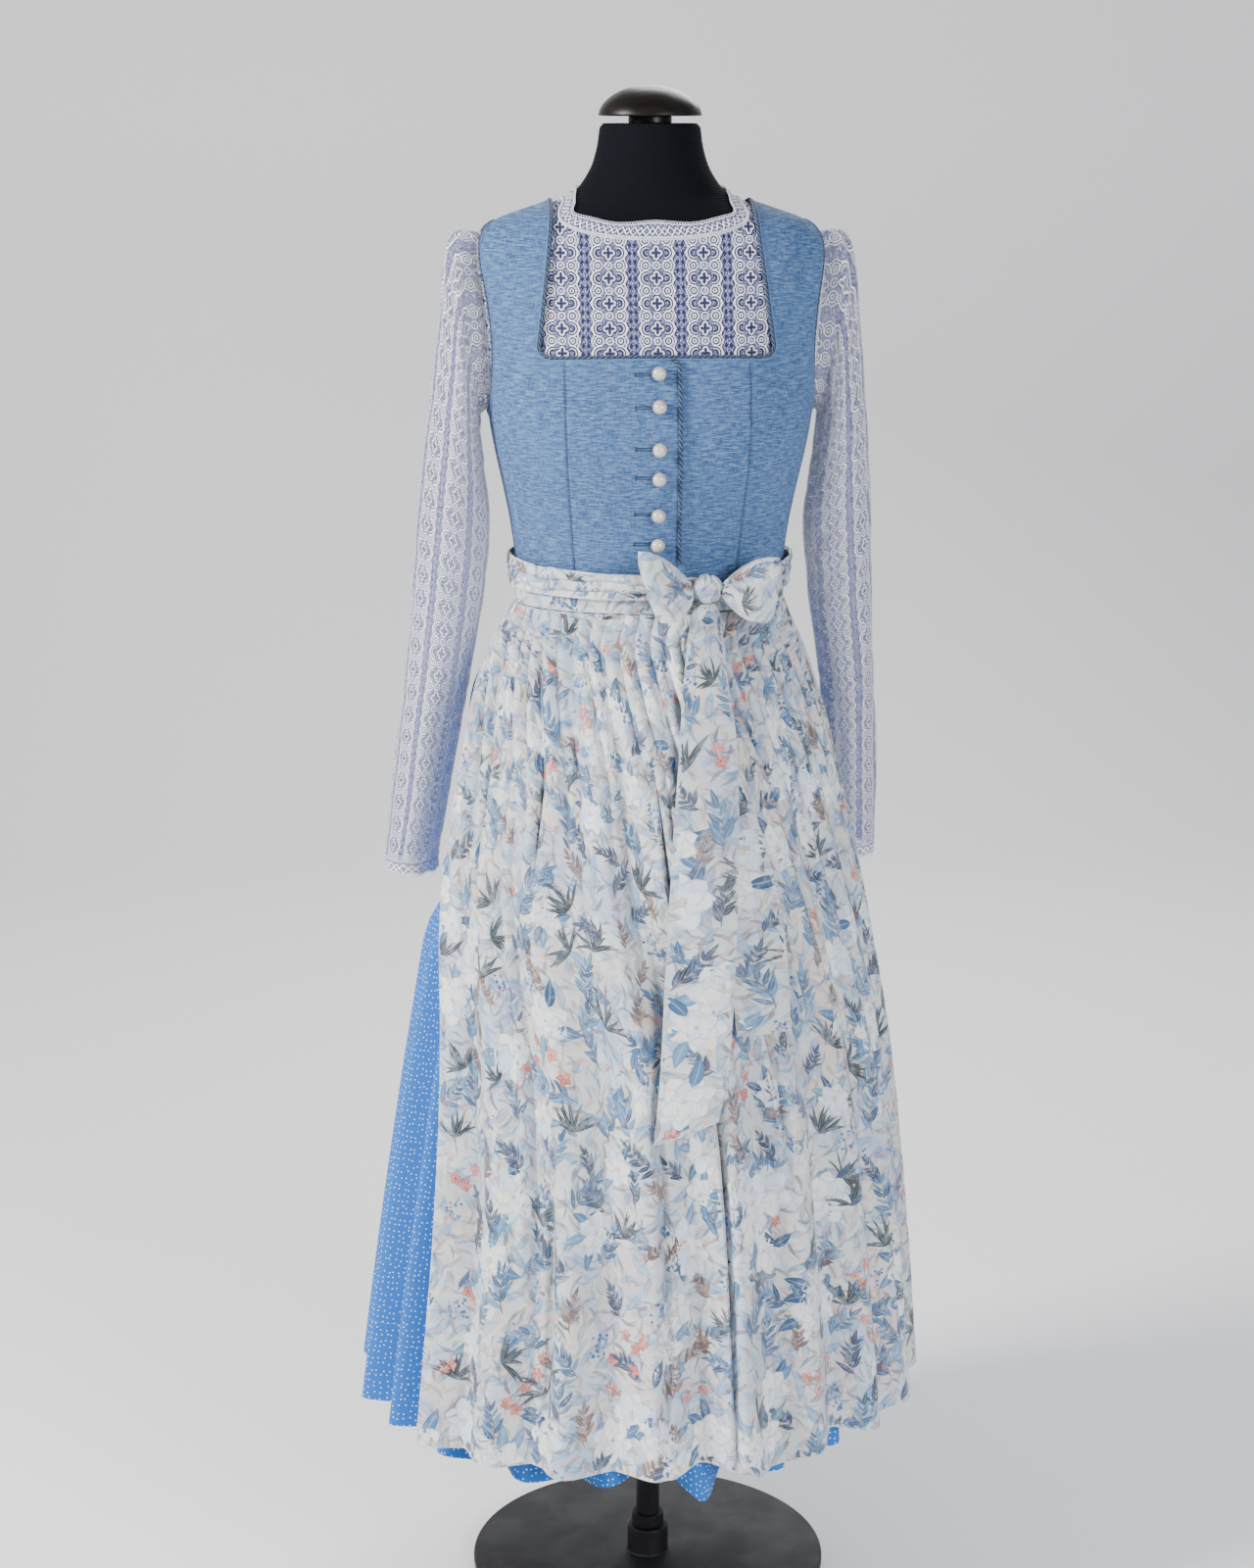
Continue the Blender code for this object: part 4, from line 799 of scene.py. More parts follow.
def leaf_group():
    """Faded leaves: one in each cell of a scattered pattern, each turned its own way."""
    tree, given, out = node_group(
        "faded leaves", "ShaderNodeTree",
        [("Cloth", VECTOR, None), ("Spacing", NUMBER, 0.03), ("Length", NUMBER, 0.45),
         ("Width", NUMBER, 0.14)],
        [("Leaf", NUMBER), ("Vein", NUMBER), ("Chance", NUMBER)],
    )
    w = Wiring(tree)
    m = w.maths
    size = m("DIVIDE", 1.0, given["Spacing"])
    place = w.add(
        "ShaderNodeVectorMath", {"operation": "SCALE"}, {0: given["Cloth"], "Scale": size}).outputs[0]
    cells = w.add(
        "ShaderNodeTexVoronoi", {"voronoi_dimensions": "2D"},
        {"Vector": place, "Scale": 1.0, "Randomness": 0.8})
    chance, other, _ = w.split(cells.outputs["Color"])
    local = w.vector("SUBTRACT", place, cells.outputs["Position"])
    turned = w.add("ShaderNodeVectorRotate", {"rotation_type": "Z_AXIS"},
                   {"Vector": local, "Angle": m("MULTIPLY", chance, 2 * math.pi)}).outputs[0]
    along, across, _ = w.split(turned)
    across = m("ADD", across, m("MULTIPLY", m("POWER", along, 2.0), 0.5))
    reach = m("DIVIDE", along, given["Length"])
    belly = m("SUBTRACT", 1.0, m("POWER", m("ABSOLUTE", reach), 1.6))
    edge = m("SUBTRACT", m("DIVIDE", m("ABSOLUTE", across), given["Width"]), belly)
    leaf = m("SUBTRACT", 1.0, w.step(edge, -0.12, 0.02))
    vein = m("SUBTRACT", 1.0, w.step(m("ABSOLUTE", across), 0.006, 0.022))
    w.feed(out["Leaf"], m("MULTIPLY", leaf, w.step(other, 0.12, 0.14)))
    w.feed(out["Vein"], m("MULTIPLY", leaf, vein))
    w.feed(out["Chance"], other)
    return tree


def dots_group():
    """Tiny printed dots in uneven rows."""
    tree, given, out = node_group(
        "tiny dots", "ShaderNodeTree",
        [("Cloth", VECTOR, None), ("Spacing", NUMBER, 0.006), ("Dot Radius", NUMBER, 0.0006)],
        [("Dots", NUMBER)],
    )
    w = Wiring(tree)
    cells = w.maths("DIVIDE", 1.0, given["Spacing"])
    inputs = {"Vector": given["Cloth"], "Scale": cells, "Randomness": 0.55}
    near = w.add("ShaderNodeTexVoronoi", {"voronoi_dimensions": "2D"}, inputs).outputs["Distance"]
    radius = w.maths("DIVIDE", given["Dot Radius"], given["Spacing"])
    inner, outer = w.maths("MULTIPLY", radius, 0.8), w.maths("MULTIPLY", radius, 1.3)
    dots = w.maths("SUBTRACT", 1.0, w.step(near, inner, outer))
    w.feed(out["Dots"], dots)
    return tree


def soil_group():
    """Slow uneven change of tone, for wear and dust."""
    tree, given, out = node_group(
        "uneven tone", "ShaderNodeTree",
        [("Place", VECTOR, None), ("Patch Size", NUMBER, 0.05)],
        [("Tone", NUMBER), ("Specks", NUMBER)],
    )
    w = Wiring(tree)
    size = w.maths("DIVIDE", 1.0, given["Patch Size"])
    w.feed(out["Tone"], w.step(w.noise(given["Place"], size, 4.0, 0.6), 0.3, 0.7))
    w.feed(out["Specks"], w.step(w.noise(given["Place"], 1400.0, 2.0, 0.6), 0.45, 0.75))
    return tree


def new_material(name, **constants):
    """A material with a Principled shader. Constants go straight on its sockets."""
    made = bpy.data.materials.new(name)
    made.use_nodes = True
    shader = made.node_tree.nodes["Principled BSDF"]
    for key, value in constants.items():
        label = key.replace("_", " ").title().replace("Ior", "IOR")
        shader.inputs[label].default_value = colour(value) if isinstance(value, tuple) else value
    return made, Wiring(made.node_tree), shader


def placed_group(w, tree, inputs):
    """Places a node group, feeds its inputs and returns its outputs by name."""
    node = w.add("ShaderNodeGroup")
    node.node_tree = tree
    for key, value in inputs.items():
        w.feed(node.inputs[key], value)
    return node.outputs


def bump(w, shader, height, distance, strength=1.0):
    """Joins a height to the shader's normal as a bump."""
    node = w.add("ShaderNodeBump", None, {"Height": height, "Distance": distance, "Strength": strength})
    w.feed(shader.inputs["Normal"], node.outputs[0])


def cloth_uv(w):
    """The flat sizes of the cloth at the shaded point."""
    return w.add("ShaderNodeUVMap", {"uv_map": "cloth"}).outputs[0]


def object_place(w):
    """The shaded point in the object's own frame."""
    return w.add("ShaderNodeTexCoord").outputs["Object"]


def finish(name):
    """A material by its name, made when it is first asked for."""
    if name not in FINISHES:
        FINISHES[name] = MAKERS[name]()
    return FINISHES[name]


def group(name):
    """The node group of that name, made once."""
    if name not in GROUPS:
        GROUPS[name] = {
            "woven": woven_group, "lace": lace_group, "edging": edging_group, "wash": wash_group,
            "dots": dots_group, "soil": soil_group, "leaf": leaf_group,
        }[name]()
    return GROUPS[name]


def linen_finish():
    """Blue linen with pale slubs along the weft."""
    tints = bpy.context.scene.dirndl_colours
    made, w, shader = new_material(
        "blue_slub_linen", roughness=0.92, sheen_weight=0.05, specular_ior_level=0.25)
    cloth = cloth_uv(w)
    weave = placed_group(w, group("woven"), {"Cloth": cloth, "Thread Pitch": 0.0007, "Slub Length": 0.007})
    tone = placed_group(w, group("soil"), {"Place": cloth, "Patch Size": 0.05})
    dark = w.mix(weave["Slubs"], tuple(tints.linen_shade), tuple(tints.linen))
    weft = w.step(w.noise(w.scaled(cloth, (75.0, 620.0, 1.0)), 1.0, 2.0, 0.6), 0.46, 0.60)
    warp = w.step(w.noise(w.scaled(cloth, (620.0, 95.0, 1.0)), 1.0, 2.0, 0.6), 0.48, 0.62)
    hatched = w.mix(w.maths("MULTIPLY", weft, 0.38), dark, shade(136, 168, 206))
    spotted = w.mix(w.maths("MULTIPLY", warp, 0.34), hatched, shade(46, 72, 116))
    fibres = w.maths("MULTIPLY", tone["Tone"], 0.22)
    w.feed(shader.inputs["Base Color"], w.mix(fibres, spotted, shade(78, 110, 158)))
    bump(w, shader, weave["Height"], 0.00008)
    return made


def lace_finish():
    """White cord on pale lilac net. The holes let through what lies behind, and are tinted a dark lilac as
    painted shade.
    """
    tints = bpy.context.scene.dirndl_colours
    made, w, shader = new_material("guipure_lace", roughness=0.85, sheen_weight=0.05)
    cloth = cloth_uv(w)
    lace = placed_group(w, group("lace"), {"Cloth": cloth})
    net = w.mix(lace["Net"], tuple(tints.lace_net), shade(196, 200, 238))
    thread = w.mix(lace["Cord"], net, tuple(tints.lace_cord))
    holes = w.maths("MULTIPLY", lace["Hole"], 0.9)
    # Painted shade: the holes are tinted a dark lilac, the darkness seen through them
    w.feed(shader.inputs["Base Color"], w.mix(holes, thread, shade(96, 102, 168)))
    bump(w, shader, w.maths("SUBTRACT", lace["Cord"], lace["Hole"]), 0.0008)
    w.feed(shader.inputs["Alpha"], w.maths("SUBTRACT", 1.0, w.maths("MULTIPLY", lace["Hole"], 0.90)))
    return made


def edging_finish():
    """The narrow scalloped lace of collar and cuffs. Its holes are tinted a dark blue as painted shade and
    let part of what lies behind through.
    """
    tints = bpy.context.scene.dirndl_colours
    made, w, shader = new_material("lace_edging", roughness=0.85, sheen_weight=0.15)
    lace = placed_group(w, group("edging"), {"Cloth": cloth_uv(w)})
    net = w.mix(lace["Cord"], shade(150, 156, 206), tuple(tints.lace_cord))
    holes = w.maths("MULTIPLY", lace["Hole"], 0.95)
    # Painted shade: the holes are tinted a dark blue, the darkness seen through them
    w.feed(shader.inputs["Base Color"], w.mix(holes, net, shade(40, 42, 84)))
    bump(w, shader, w.maths("SUBTRACT", lace["Cord"], lace["Hole"]), 0.0005)
    w.feed(shader.inputs["Alpha"], w.maths("SUBTRACT", 1.0, w.maths("MULTIPLY", lace["Hole"], 0.7)))
    return made


def thread_finish(name, tint, roughness=0.8):
    """Spun thread of one colour with a little fuzz."""
    made, w, shader = new_material(name, roughness=roughness, sheen_weight=0.2)
    tone = placed_group(w, group("soil"), {"Place": object_place(w), "Patch Size": 0.004})
    darker = tuple(part * 0.72 for part in tint)
    w.feed(shader.inputs["Base Color"], w.mix(tone["Tone"], darker, tint))
    bump(w, shader, tone["Specks"], 0.0002)
    return made


def skirt_finish():
    """Sky blue cotton sprinkled with tiny white dots."""
    tints = bpy.context.scene.dirndl_colours
    made, w, shader = new_material(
        "dotted_blue_cotton", roughness=0.9, sheen_weight=0.03, specular_ior_level=0.25)
    cloth = cloth_uv(w)
    dots = placed_group(w, group("dots"), {"Cloth": cloth, "Spacing": 0.0065, "Dot Radius": 0.00075})
    weave = placed_group(w, group("woven"), {"Cloth": cloth, "Thread Pitch": 0.0005, "Slub Length": 0.004})
    tone = placed_group(w, group("soil"), {"Place": cloth, "Patch Size": 0.08})
    base = w.mix(weave["Slubs"], shade(34, 98, 180), tuple(tints.skirt))
    base = w.mix(w.maths("MULTIPLY", tone["Tone"], 0.15), base, shade(50, 106, 180))
    w.feed(shader.inputs["Base Color"], w.mix(dots["Dots"], base, shade(222, 234, 248)))
    bump(w, shader, weave["Height"], 0.0001)
    return made


def apron_finish():
    """Pale satin-faced cloth with washes of blue, beige and blush under its printed leaves and flowers."""
    tints = bpy.context.scene.dirndl_colours
    made, w, shader = new_material(
        "watercolour_satin", roughness=0.58, sheen_weight=0.15, sheen_roughness=0.4, specular_ior_level=0.4)
    cloth = cloth_uv(w)
    wash = placed_group(w, group("wash"), {"Cloth": cloth, "Patch Size": 0.085})
    small = placed_group(w, group("wash"), {"Cloth": w.scaled(cloth, (1.0, 0.8, 1.0)), "Patch Size": 0.028})
    weave = placed_group(w, group("woven"), {"Cloth": cloth, "Thread Pitch": 0.0004, "Slub Length": 0.003})
    base = w.mix(w.maths("MULTIPLY", wash["First"], 0.80), tuple(tints.apron), shade(168, 188, 214))
    base = w.mix(w.maths("MULTIPLY", wash["Second"], 0.60), base, shade(204, 198, 178))
    base = w.mix(w.maths("MULTIPLY", wash["Third"], 0.65), base, shade(230, 190, 176))
    base = w.mix(w.maths("MULTIPLY", small["First"], 0.50), base, shade(138, 172, 208))
    base = w.mix(w.maths("MULTIPLY", small["Third"], 0.50), base, shade(184, 186, 178))
    for spacing, length, width, shift, ink, share in (
        (0.026, 0.58, 0.16, 0.0, shade(96, 132, 168), 0.75),
        (0.019, 0.50, 0.13, 5.3, shade(132, 124, 110), 0.75),
        (0.033, 0.56, 0.17, 9.1, shade(84, 138, 188), 0.90),
        (0.014, 0.50, 0.20, 13.7, shade(220, 150, 130), 0.60),
        (0.022, 0.66, 0.09, 21.1, shade(50, 66, 82), 0.90),
        (0.017, 0.62, 0.08, 31.7, shade(44, 74, 116), 0.85),
    ):
        moved = w.vector("ADD", cloth, (shift, shift * 0.37, 0.0))
        leaf = placed_group(
            w, group("leaf"), {"Cloth": moved, "Spacing": spacing, "Length": length, "Width": width})
        shown = w.maths("MULTIPLY", leaf["Leaf"], w.step(leaf["Chance"], 0.12, 0.35))
        painted = w.maths("MULTIPLY", shown, share)
        patch = w.maths("MULTIPLY_ADD", w.noise(moved, 55.0, 2.0), 1.5, -0.15, clamp=True)
        base = w.mix(w.maths("MULTIPLY", painted, patch), base, ink)
        base = w.mix(w.maths("MULTIPLY", leaf["Vein"], 0.25), base, shade(232, 234, 234))
    w.feed(shader.inputs["Base Color"], base)
    bump(w, shader, weave["Height"], 0.00012)
    return made


def ink_finish():
    """Printed watercolour: each shape has its own ink, darker at its rim and paler along its middle."""
    made, w, shader = new_material("printed_ink", roughness=0.5, sheen_weight=0.3)
    ink = w.add("ShaderNodeAttribute", {"attribute_name": "ink"}).outputs["Color"]
    shape_uv = w.add("ShaderNodeUVMap", {"uv_map": "cloth"}).outputs[0]
    across = w.split(shape_uv)[0]
    rim = w.step(w.maths("ABSOLUTE", across), 0.55, 1.0)
    vein = w.maths("SUBTRACT", 1.0, w.step(w.maths("ABSOLUTE", across), 0.03, 0.16))
    wash = placed_group(w, group("wash"), {"Cloth": object_place(w), "Patch Size": 0.010})
    pale = w.mix(w.maths("MULTIPLY", wash["First"], 0.26), ink, shade(206, 216, 226))
    pale = w.mix(w.maths("MULTIPLY", vein, 0.32), pale, shade(216, 226, 232))
    dark = w.add("ShaderNodeMix", {"data_type": "RGBA", "blend_type": "MULTIPLY"},
                 {0: w.maths("MULTIPLY", rim, 0.55), 6: pale, 7: (0.45, 0.50, 0.58, 1.0)}).outputs[2]
    w.feed(shader.inputs["Base Color"], dark)
    fade = w.maths("MULTIPLY", wash["Second"], 0.16)
    w.feed(shader.inputs["Alpha"], w.maths("SUBTRACT", 0.97, fade))
    return made


def pearl_finish():
    """Cream pearl with a cool and a warm cast, a rim darkened as painted shade, and a hard clear skin."""
    made, w, shader = new_material("cream_pearl", roughness=0.16, coat_weight=1.0, coat_roughness=0.05)
    place = object_place(w)
    swirl = w.noise(w.scaled(place, (1.0, 1.0, 2.4)), 160.0, 4.0, 0.6)
    cast = w.mix(w.step(swirl, 0.35, 0.65), shade(214, 204, 186), shade(180, 180, 184))
    # Painted shade: where the surface turns away from view, the colour is darkened towards grey brown
    edge = w.add("ShaderNodeLayerWeight", None, {"Blend": 0.35}).outputs["Facing"]
    w.feed(shader.inputs["Base Color"], w.mix(w.maths("MULTIPLY", edge, 0.85), cast, shade(96, 86, 80)))
    bump(w, shader, swirl, 0.0001)
    return made


def form_finish():
    """Black-blue jersey with fine ribs across it; the troughs between the ribs are darkened as painted
    shade.
    """
    made, w, shader = new_material("black_jersey", roughness=0.95, specular_ior_level=0.15)
    place = object_place(w)
    _, _, up = w.split(place)
    rib = w.maths("SINE", w.maths("MULTIPLY", up, 2 * math.pi / 0.0022))
    tone = placed_group(w, group("soil"), {"Place": place, "Patch Size": 0.02})
    # Painted shade: the rib troughs are coloured darker and the crests lighter, in step with the rib bump
    base = w.mix(w.maths("MULTIPLY_ADD", rib, 0.3, 0.35), shade(5, 6, 12), shade(15, 17, 28))
    specks = w.maths("MULTIPLY", tone["Specks"], 0.4)
    w.feed(shader.inputs["Base Color"], w.mix(specks, base, shade(8, 9, 16)))
    bump(w, shader, rib, 0.0004)
    return made


def cap_finish():
    """Dark brown turned wood under gloss lacquer."""
    made, w, shader = new_material("dark_lacquer", specular_ior_level=0.25)
    place = object_place(w)
    grain = w.noise(w.scaled(place, (14.0, 160.0, 60.0)), 1.0, 4.0, 0.6)
    tone = placed_group(w, group("soil"), {"Place": place, "Patch Size": 0.03})
    base = w.mix(w.step(grain, 0.35, 0.7), shade(10, 8, 8), shade(26, 18, 15))
    w.feed(shader.inputs["Base Color"], base)
    w.feed(shader.inputs["Roughness"], w.maths("MULTIPLY_ADD", tone["Tone"], 0.12, 0.30))
    bump(w, shader, grain, 0.00015)
    return made


def stand_finish():
    """Black powder coat on steel, finely pebbled and a little dusty."""
    made, w, shader = new_material("black_powder_coat", metallic=0.6)
    place = object_place(w)
    tone = placed_group(w, group("soil"), {"Place": place, "Patch Size": 0.06})
    base = w.mix(w.maths("MULTIPLY", tone["Tone"], 0.5), shade(22, 22, 24), shade(42, 42, 45))
    w.feed(shader.inputs["Base Color"], base)
    w.feed(shader.inputs["Roughness"], w.maths("MULTIPLY_ADD", tone["Tone"], 0.2, 0.35))
    bump(w, shader, tone["Specks"], 0.0002)
    return made


def floor_finish():
    """The plain pale studio floor."""
    made, w, shader = new_material("pale_floor", roughness=0.75)
    tone = placed_group(w, group("soil"), {"Place": object_place(w), "Patch Size": 1.5})
    cloudy = w.mix(w.maths("MULTIPLY", tone["Tone"], 0.06), shade(244, 244, 246), shade(236, 237, 240))
    w.feed(shader.inputs["Base Color"], cloudy)
    return made


MAKERS = {
    "linen": linen_finish, "lace": lace_finish, "edging": edging_finish, "skirt": skirt_finish,
    "apron": apron_finish, "ink": ink_finish, "pearl": pearl_finish, "form": form_finish,
    "cap": cap_finish, "stand": stand_finish, "floor": floor_finish,
    "piping dark": lambda: thread_finish("piping_dark_yarn", shade(14, 22, 44)),
    "piping light": lambda: thread_finish("piping_light_yarn", shade(74, 100, 142)),
    "piping edge": lambda: thread_finish("piping_edge", shade(84, 122, 170)),
    "blue thread": lambda: thread_finish("dark_blue_thread", shade(20, 34, 66)),
    "white thread": lambda: thread_finish("white_thread", shade(238, 240, 250)),
    "pale thread": lambda: thread_finish("pale_thread", shade(186, 194, 206)),
}


def start_tree(name, inputs):
    """A Geometry Nodes tree whose input is a line of edges with a facing direction at each point."""
    tree, given, out = node_group(
        name, "GeometryNodeTree", [("Geometry", GEOMETRY, None), *inputs], [("Geometry", GEOMETRY)])
    tree.is_modifier = True
    w = Wiring(tree)
    line = w.add("GeometryNodeMeshToCurve", None, {"Mesh": given["Geometry"]}).outputs[0]
    return tree, w, given, out, line


def end_tree(w, out, geometry, material):
    """Ends a tree with Realize Instances and Set Material."""
    real = w.add("GeometryNodeRealizeInstances", None, {0: geometry}).outputs[0]
    smooth_shading = w.add("GeometryNodeSetShadeSmooth", None, {0: real}).outputs[0]
    coated = w.add("GeometryNodeSetMaterial", None, {"Geometry": smooth_shading, "Material": material})
    w.feed(out["Geometry"], coated.outputs[0])


def twisted_cord_tree():
    """One strand of a twisted cord: a yarn that winds round the line at a lay radius."""
    tree, w, given, out, line = start_tree("twisted cord", [
        ("Step", NUMBER, 0.001), ("Lay Radius", NUMBER, 0.001), ("Strand Radius", NUMBER, 0.0007),
        ("Pitch", NUMBER, 0.012), ("Phase", NUMBER, 0.0), ("Material", "NodeSocketMaterial", None),
    ])
    fine = w.add("GeometryNodeResampleCurve", None, {"Curve": line})
    fine.mode = "LENGTH"
    w.feed(fine.inputs["Length"], given["Step"])
    facing = w.add(
        "GeometryNodeInputNamedAttribute", {"data_type": "FLOAT_VECTOR"}, {"Name": "facing"}).outputs[0]
    along = w.add("GeometryNodeInputTangent").outputs[0]
    beside = w.vector("NORMALIZE", w.vector("CROSS_PRODUCT", along, facing))
    outwards = w.vector("NORMALIZE", w.vector("CROSS_PRODUCT", beside, along))
    length = w.add("GeometryNodeSplineParameter").outputs["Length"]
    turn = w.maths("MULTIPLY", w.maths("DIVIDE", length, given["Pitch"]), 2 * math.pi)
    turn = w.maths("ADD", turn, given["Phase"])

    def times(vector, number):
        node = w.add("ShaderNodeVectorMath", {"operation": "SCALE"}, {0: vector, "Scale": number})
        return node.outputs[0]

    sideways = times(beside, w.maths("MULTIPLY", w.maths("COSINE", turn), given["Lay Radius"]))
    out_and_in = times(outwards, w.maths("MULTIPLY", w.maths("SINE", turn), given["Lay Radius"]))
    wound = w.add("GeometryNodeSetPosition", None, {
        "Geometry": fine.outputs[0], "Offset": w.vector("ADD", sideways, out_and_in)}).outputs[0]
    ring = w.add(
        "GeometryNodeCurvePrimitiveCircle", None, {"Resolution": 6, "Radius": given["Strand Radius"]})
    tube = w.add(
        "GeometryNodeCurveToMesh", None,
        {"Curve": wound, "Profile Curve": ring.outputs[0], "Fill Caps": True})
    end_tree(w, out, tube.outputs[0], given["Material"])
    return tree


def stitch_row_tree():
    """Like shapes along a line: stitches, or loops where a ring radius is given."""
    tree, w, given, out, line = start_tree("row of stitches", [
        ("Spacing", NUMBER, 0.003), ("Stitch Size", VECTOR, (0.0003, 0.0004, 0.001)),
        ("Ring Radius", NUMBER, 0.0), ("Material", "NodeSocketMaterial", None),
    ])
    facing = w.add(
        "GeometryNodeInputNamedAttribute", {"data_type": "FLOAT_VECTOR"}, {"Name": "facing"}).outputs[0]
    spots = w.add("GeometryNodeCurveToPoints", {"mode": "LENGTH"}, {"Curve": line})
    w.feed(spots.inputs["Length"], given["Spacing"])
    turned = w.add("FunctionNodeAlignRotationToVector", {"axis": "Z"}, {"Vector": spots.outputs["Tangent"]})
    faced = w.add("FunctionNodeAlignRotationToVector", {"axis": "X", "pivot_axis": "Z"},
                  {"Rotation": turned.outputs[0], "Vector": facing})
    bead = w.add("GeometryNodeMeshUVSphere", None, {"Segments": 5, "Rings": 3, "Radius": 1.0}).outputs[0]
    sized = w.add(
        "GeometryNodeTransform", None, {"Geometry": bead, "Scale": given["Stitch Size"]}).outputs[0]
    loop = w.add(
        "GeometryNodeCurvePrimitiveCircle", None,
        {"Resolution": 9, "Radius": given["Ring Radius"]}).outputs[0]
    yarn = w.add("GeometryNodeCurvePrimitiveCircle", None, {"Resolution": 5, "Radius": 0.00028}).outputs[0]
    ring = w.add("GeometryNodeCurveToMesh", None, {"Curve": loop, "Profile Curve": yarn}).outputs[0]
    upright = w.add(
        "GeometryNodeTransform", None, {"Geometry": ring, "Rotation": (0.0, math.pi / 2, 0.0)}).outputs[0]
    has_ring = w.maths("GREATER_THAN", given["Ring Radius"], 0.0)
    shape = w.add(
        "GeometryNodeSwitch", {"input_type": "GEOMETRY"},
        {"Switch": has_ring, "False": sized, "True": upright})
    rows = w.add("GeometryNodeInstanceOnPoints", None, {
        "Points": spots.outputs["Points"], "Instance": shape.outputs[0],
        "Rotation": faced.outputs[0]}).outputs[0]
    end_tree(w, out, rows, given["Material"])
    return tree



def along_line(name, builder, places, facing, settings, closed=False):
    """A piece that a Geometry Nodes tree makes along a line, turned into a plain mesh."""
    if builder not in TREES:
        TREES[builder] = builder()
    tree = TREES[builder]
    count = len(places)
    edges = [(i, (i + 1) % count) for i in range(count if closed else count - 1)]
    guide = bpy.data.meshes.new(name + "_line")
    guide.from_pydata(np.asarray(places).tolist(), edges, [])
    layer = guide.attributes.new("facing", "FLOAT_VECTOR", "POINT")
    layer.data.foreach_set("vector", np.asarray(facing, np.float32).ravel())
    carrier = linked(name + "_line", guide)
    modifier = carrier.modifiers.new("nodes", "NODES")
    modifier.node_group = tree
    for item in tree.interface.items_tree:
        if item.in_out == "INPUT" and item.name in settings:
            modifier[item.identifier] = settings[item.name]
    evaluated = carrier.evaluated_get(bpy.context.evaluated_depsgraph_get())
    mesh = bpy.data.meshes.new_from_object(evaluated)
    carrier.modifiers.remove(modifier)
    bpy.data.objects.remove(carrier, do_unlink=True)
    if not mesh.polygons:
        raise RuntimeError(f"{name} came out empty")
    mesh.name = name
    return mesh


def joined(name, meshes):
    """One plain object from several meshes, each with its own materials."""
    places, faces, kinds, finishes = [], [], [], []
    start = 0
    for mesh in meshes:
        co = np.empty(len(mesh.vertices) * 3, np.float32)
        mesh.vertices.foreach_get("co", co)
        places.append(co.reshape(-1, 3))
        slots = []
        for material in mesh.materials:
            if material not in finishes:
                finishes.append(material)
            slots.append(finishes.index(material))
        for polygon in mesh.polygons:
            faces.append([start + v for v in polygon.vertices])
            kinds.append(slots[polygon.material_index])
        start += len(mesh.vertices)
        bpy.data.meshes.remove(mesh)
    made = bpy.data.meshes.new(name)
    made.from_pydata(np.concatenate(places).tolist(), [], faces)
    for material in finishes:
        made.materials.append(material)
    made.polygons.foreach_set("material_index", np.array(kinds, np.int32))
    made.shade_smooth()
    made.set_sharp_from_angle(angle=math.radians(60))
    return linked(name, made)


def line_length(places, closed=False):
    """The length of a line of points."""
    places = np.asarray(places)
    if closed:
        places = np.concatenate([places, places[:1]])
    return float(np.linalg.norm(np.diff(places, axis=0), axis=1).sum())


def twisted_cord(name, places, facing, radius, closed=False, replaced=()):
    """Piping: four yarns, dark and light in turn, twisted to a cord of a radius."""
    sizes = bpy.context.scene.dirndl_sizes
    lay, strand = radius * 0.585, radius * 0.415
    turns = max(1, round(line_length(places, closed) / sizes.piping_pitch))
    pitch = line_length(places, closed) / turns
    meshes = []
    for k in range(4):
        meshes.append(along_line(name, twisted_cord_tree, places, facing, {
            "Step": 0.00125, "Lay Radius": lay, "Strand Radius": strand, "Pitch": pitch,
            "Phase": k * math.pi / 2, "Material": finish("piping light" if k % 2 else "piping dark"),
        }, closed))
    return settle(joined(name, meshes), "piping", *replaced)


def stitches(name, places, facing, spacing, size, thread, closed=False, ring=0.0):
    """A row of stitches or rings along a line."""
    return along_line(name, stitch_row_tree, places, facing, {
        "Spacing": spacing, "Stitch Size": size, "Ring Radius": ring, "Material": finish(thread)}, closed)


def picot_row(places, facing, spacing):
    """The small loops of cord along the edge of a lace trim."""
    return stitches("picot", places, facing, spacing, (1, 1, 1), "white thread", True, PICOT_RADIUS)


def turned_solid(name, profile, z, sides, material):
    """A closed shape turned about +Z, from a profile of (radius, height) that runs from top to bottom."""
    profile = np.array(profile)
    turns = np.arange(sides) * 2 * math.pi / sides
    body = profile[1:-1][::-1]
    rings = point(body[:, :1] * np.cos(turns), body[:, :1] * np.sin(turns), body[:, 1:])
    places, faces = capped_rings(rings)
    places[-2:] = [[0, 0, profile[-1, 1]], [0, 0, profile[0, 1]]]
    return mesh_object(name, places + [0, 0, z], faces, None, material, 40)


def round_corners(profile, radius, steps=4):
    """A profile whose corners are rounded off."""
    profile = [np.array(p, float) for p in profile]
    found = [profile[0]]
    for before, corner, after in zip(profile, profile[1:], profile[2:]):
        back, on = before - corner, after - corner
        reach = min(radius, np.linalg.norm(back) * 0.45, np.linalg.norm(on) * 0.45)
        start = corner + back / np.linalg.norm(back) * reach
        end = corner + on / np.linalg.norm(on) * reach
        for k in range(steps + 1):
            t = k / steps
            found.append((1 - t) ** 2 * start + 2 * t * (1 - t) * corner + t * t * end)
    found.append(profile[-1])
    return found


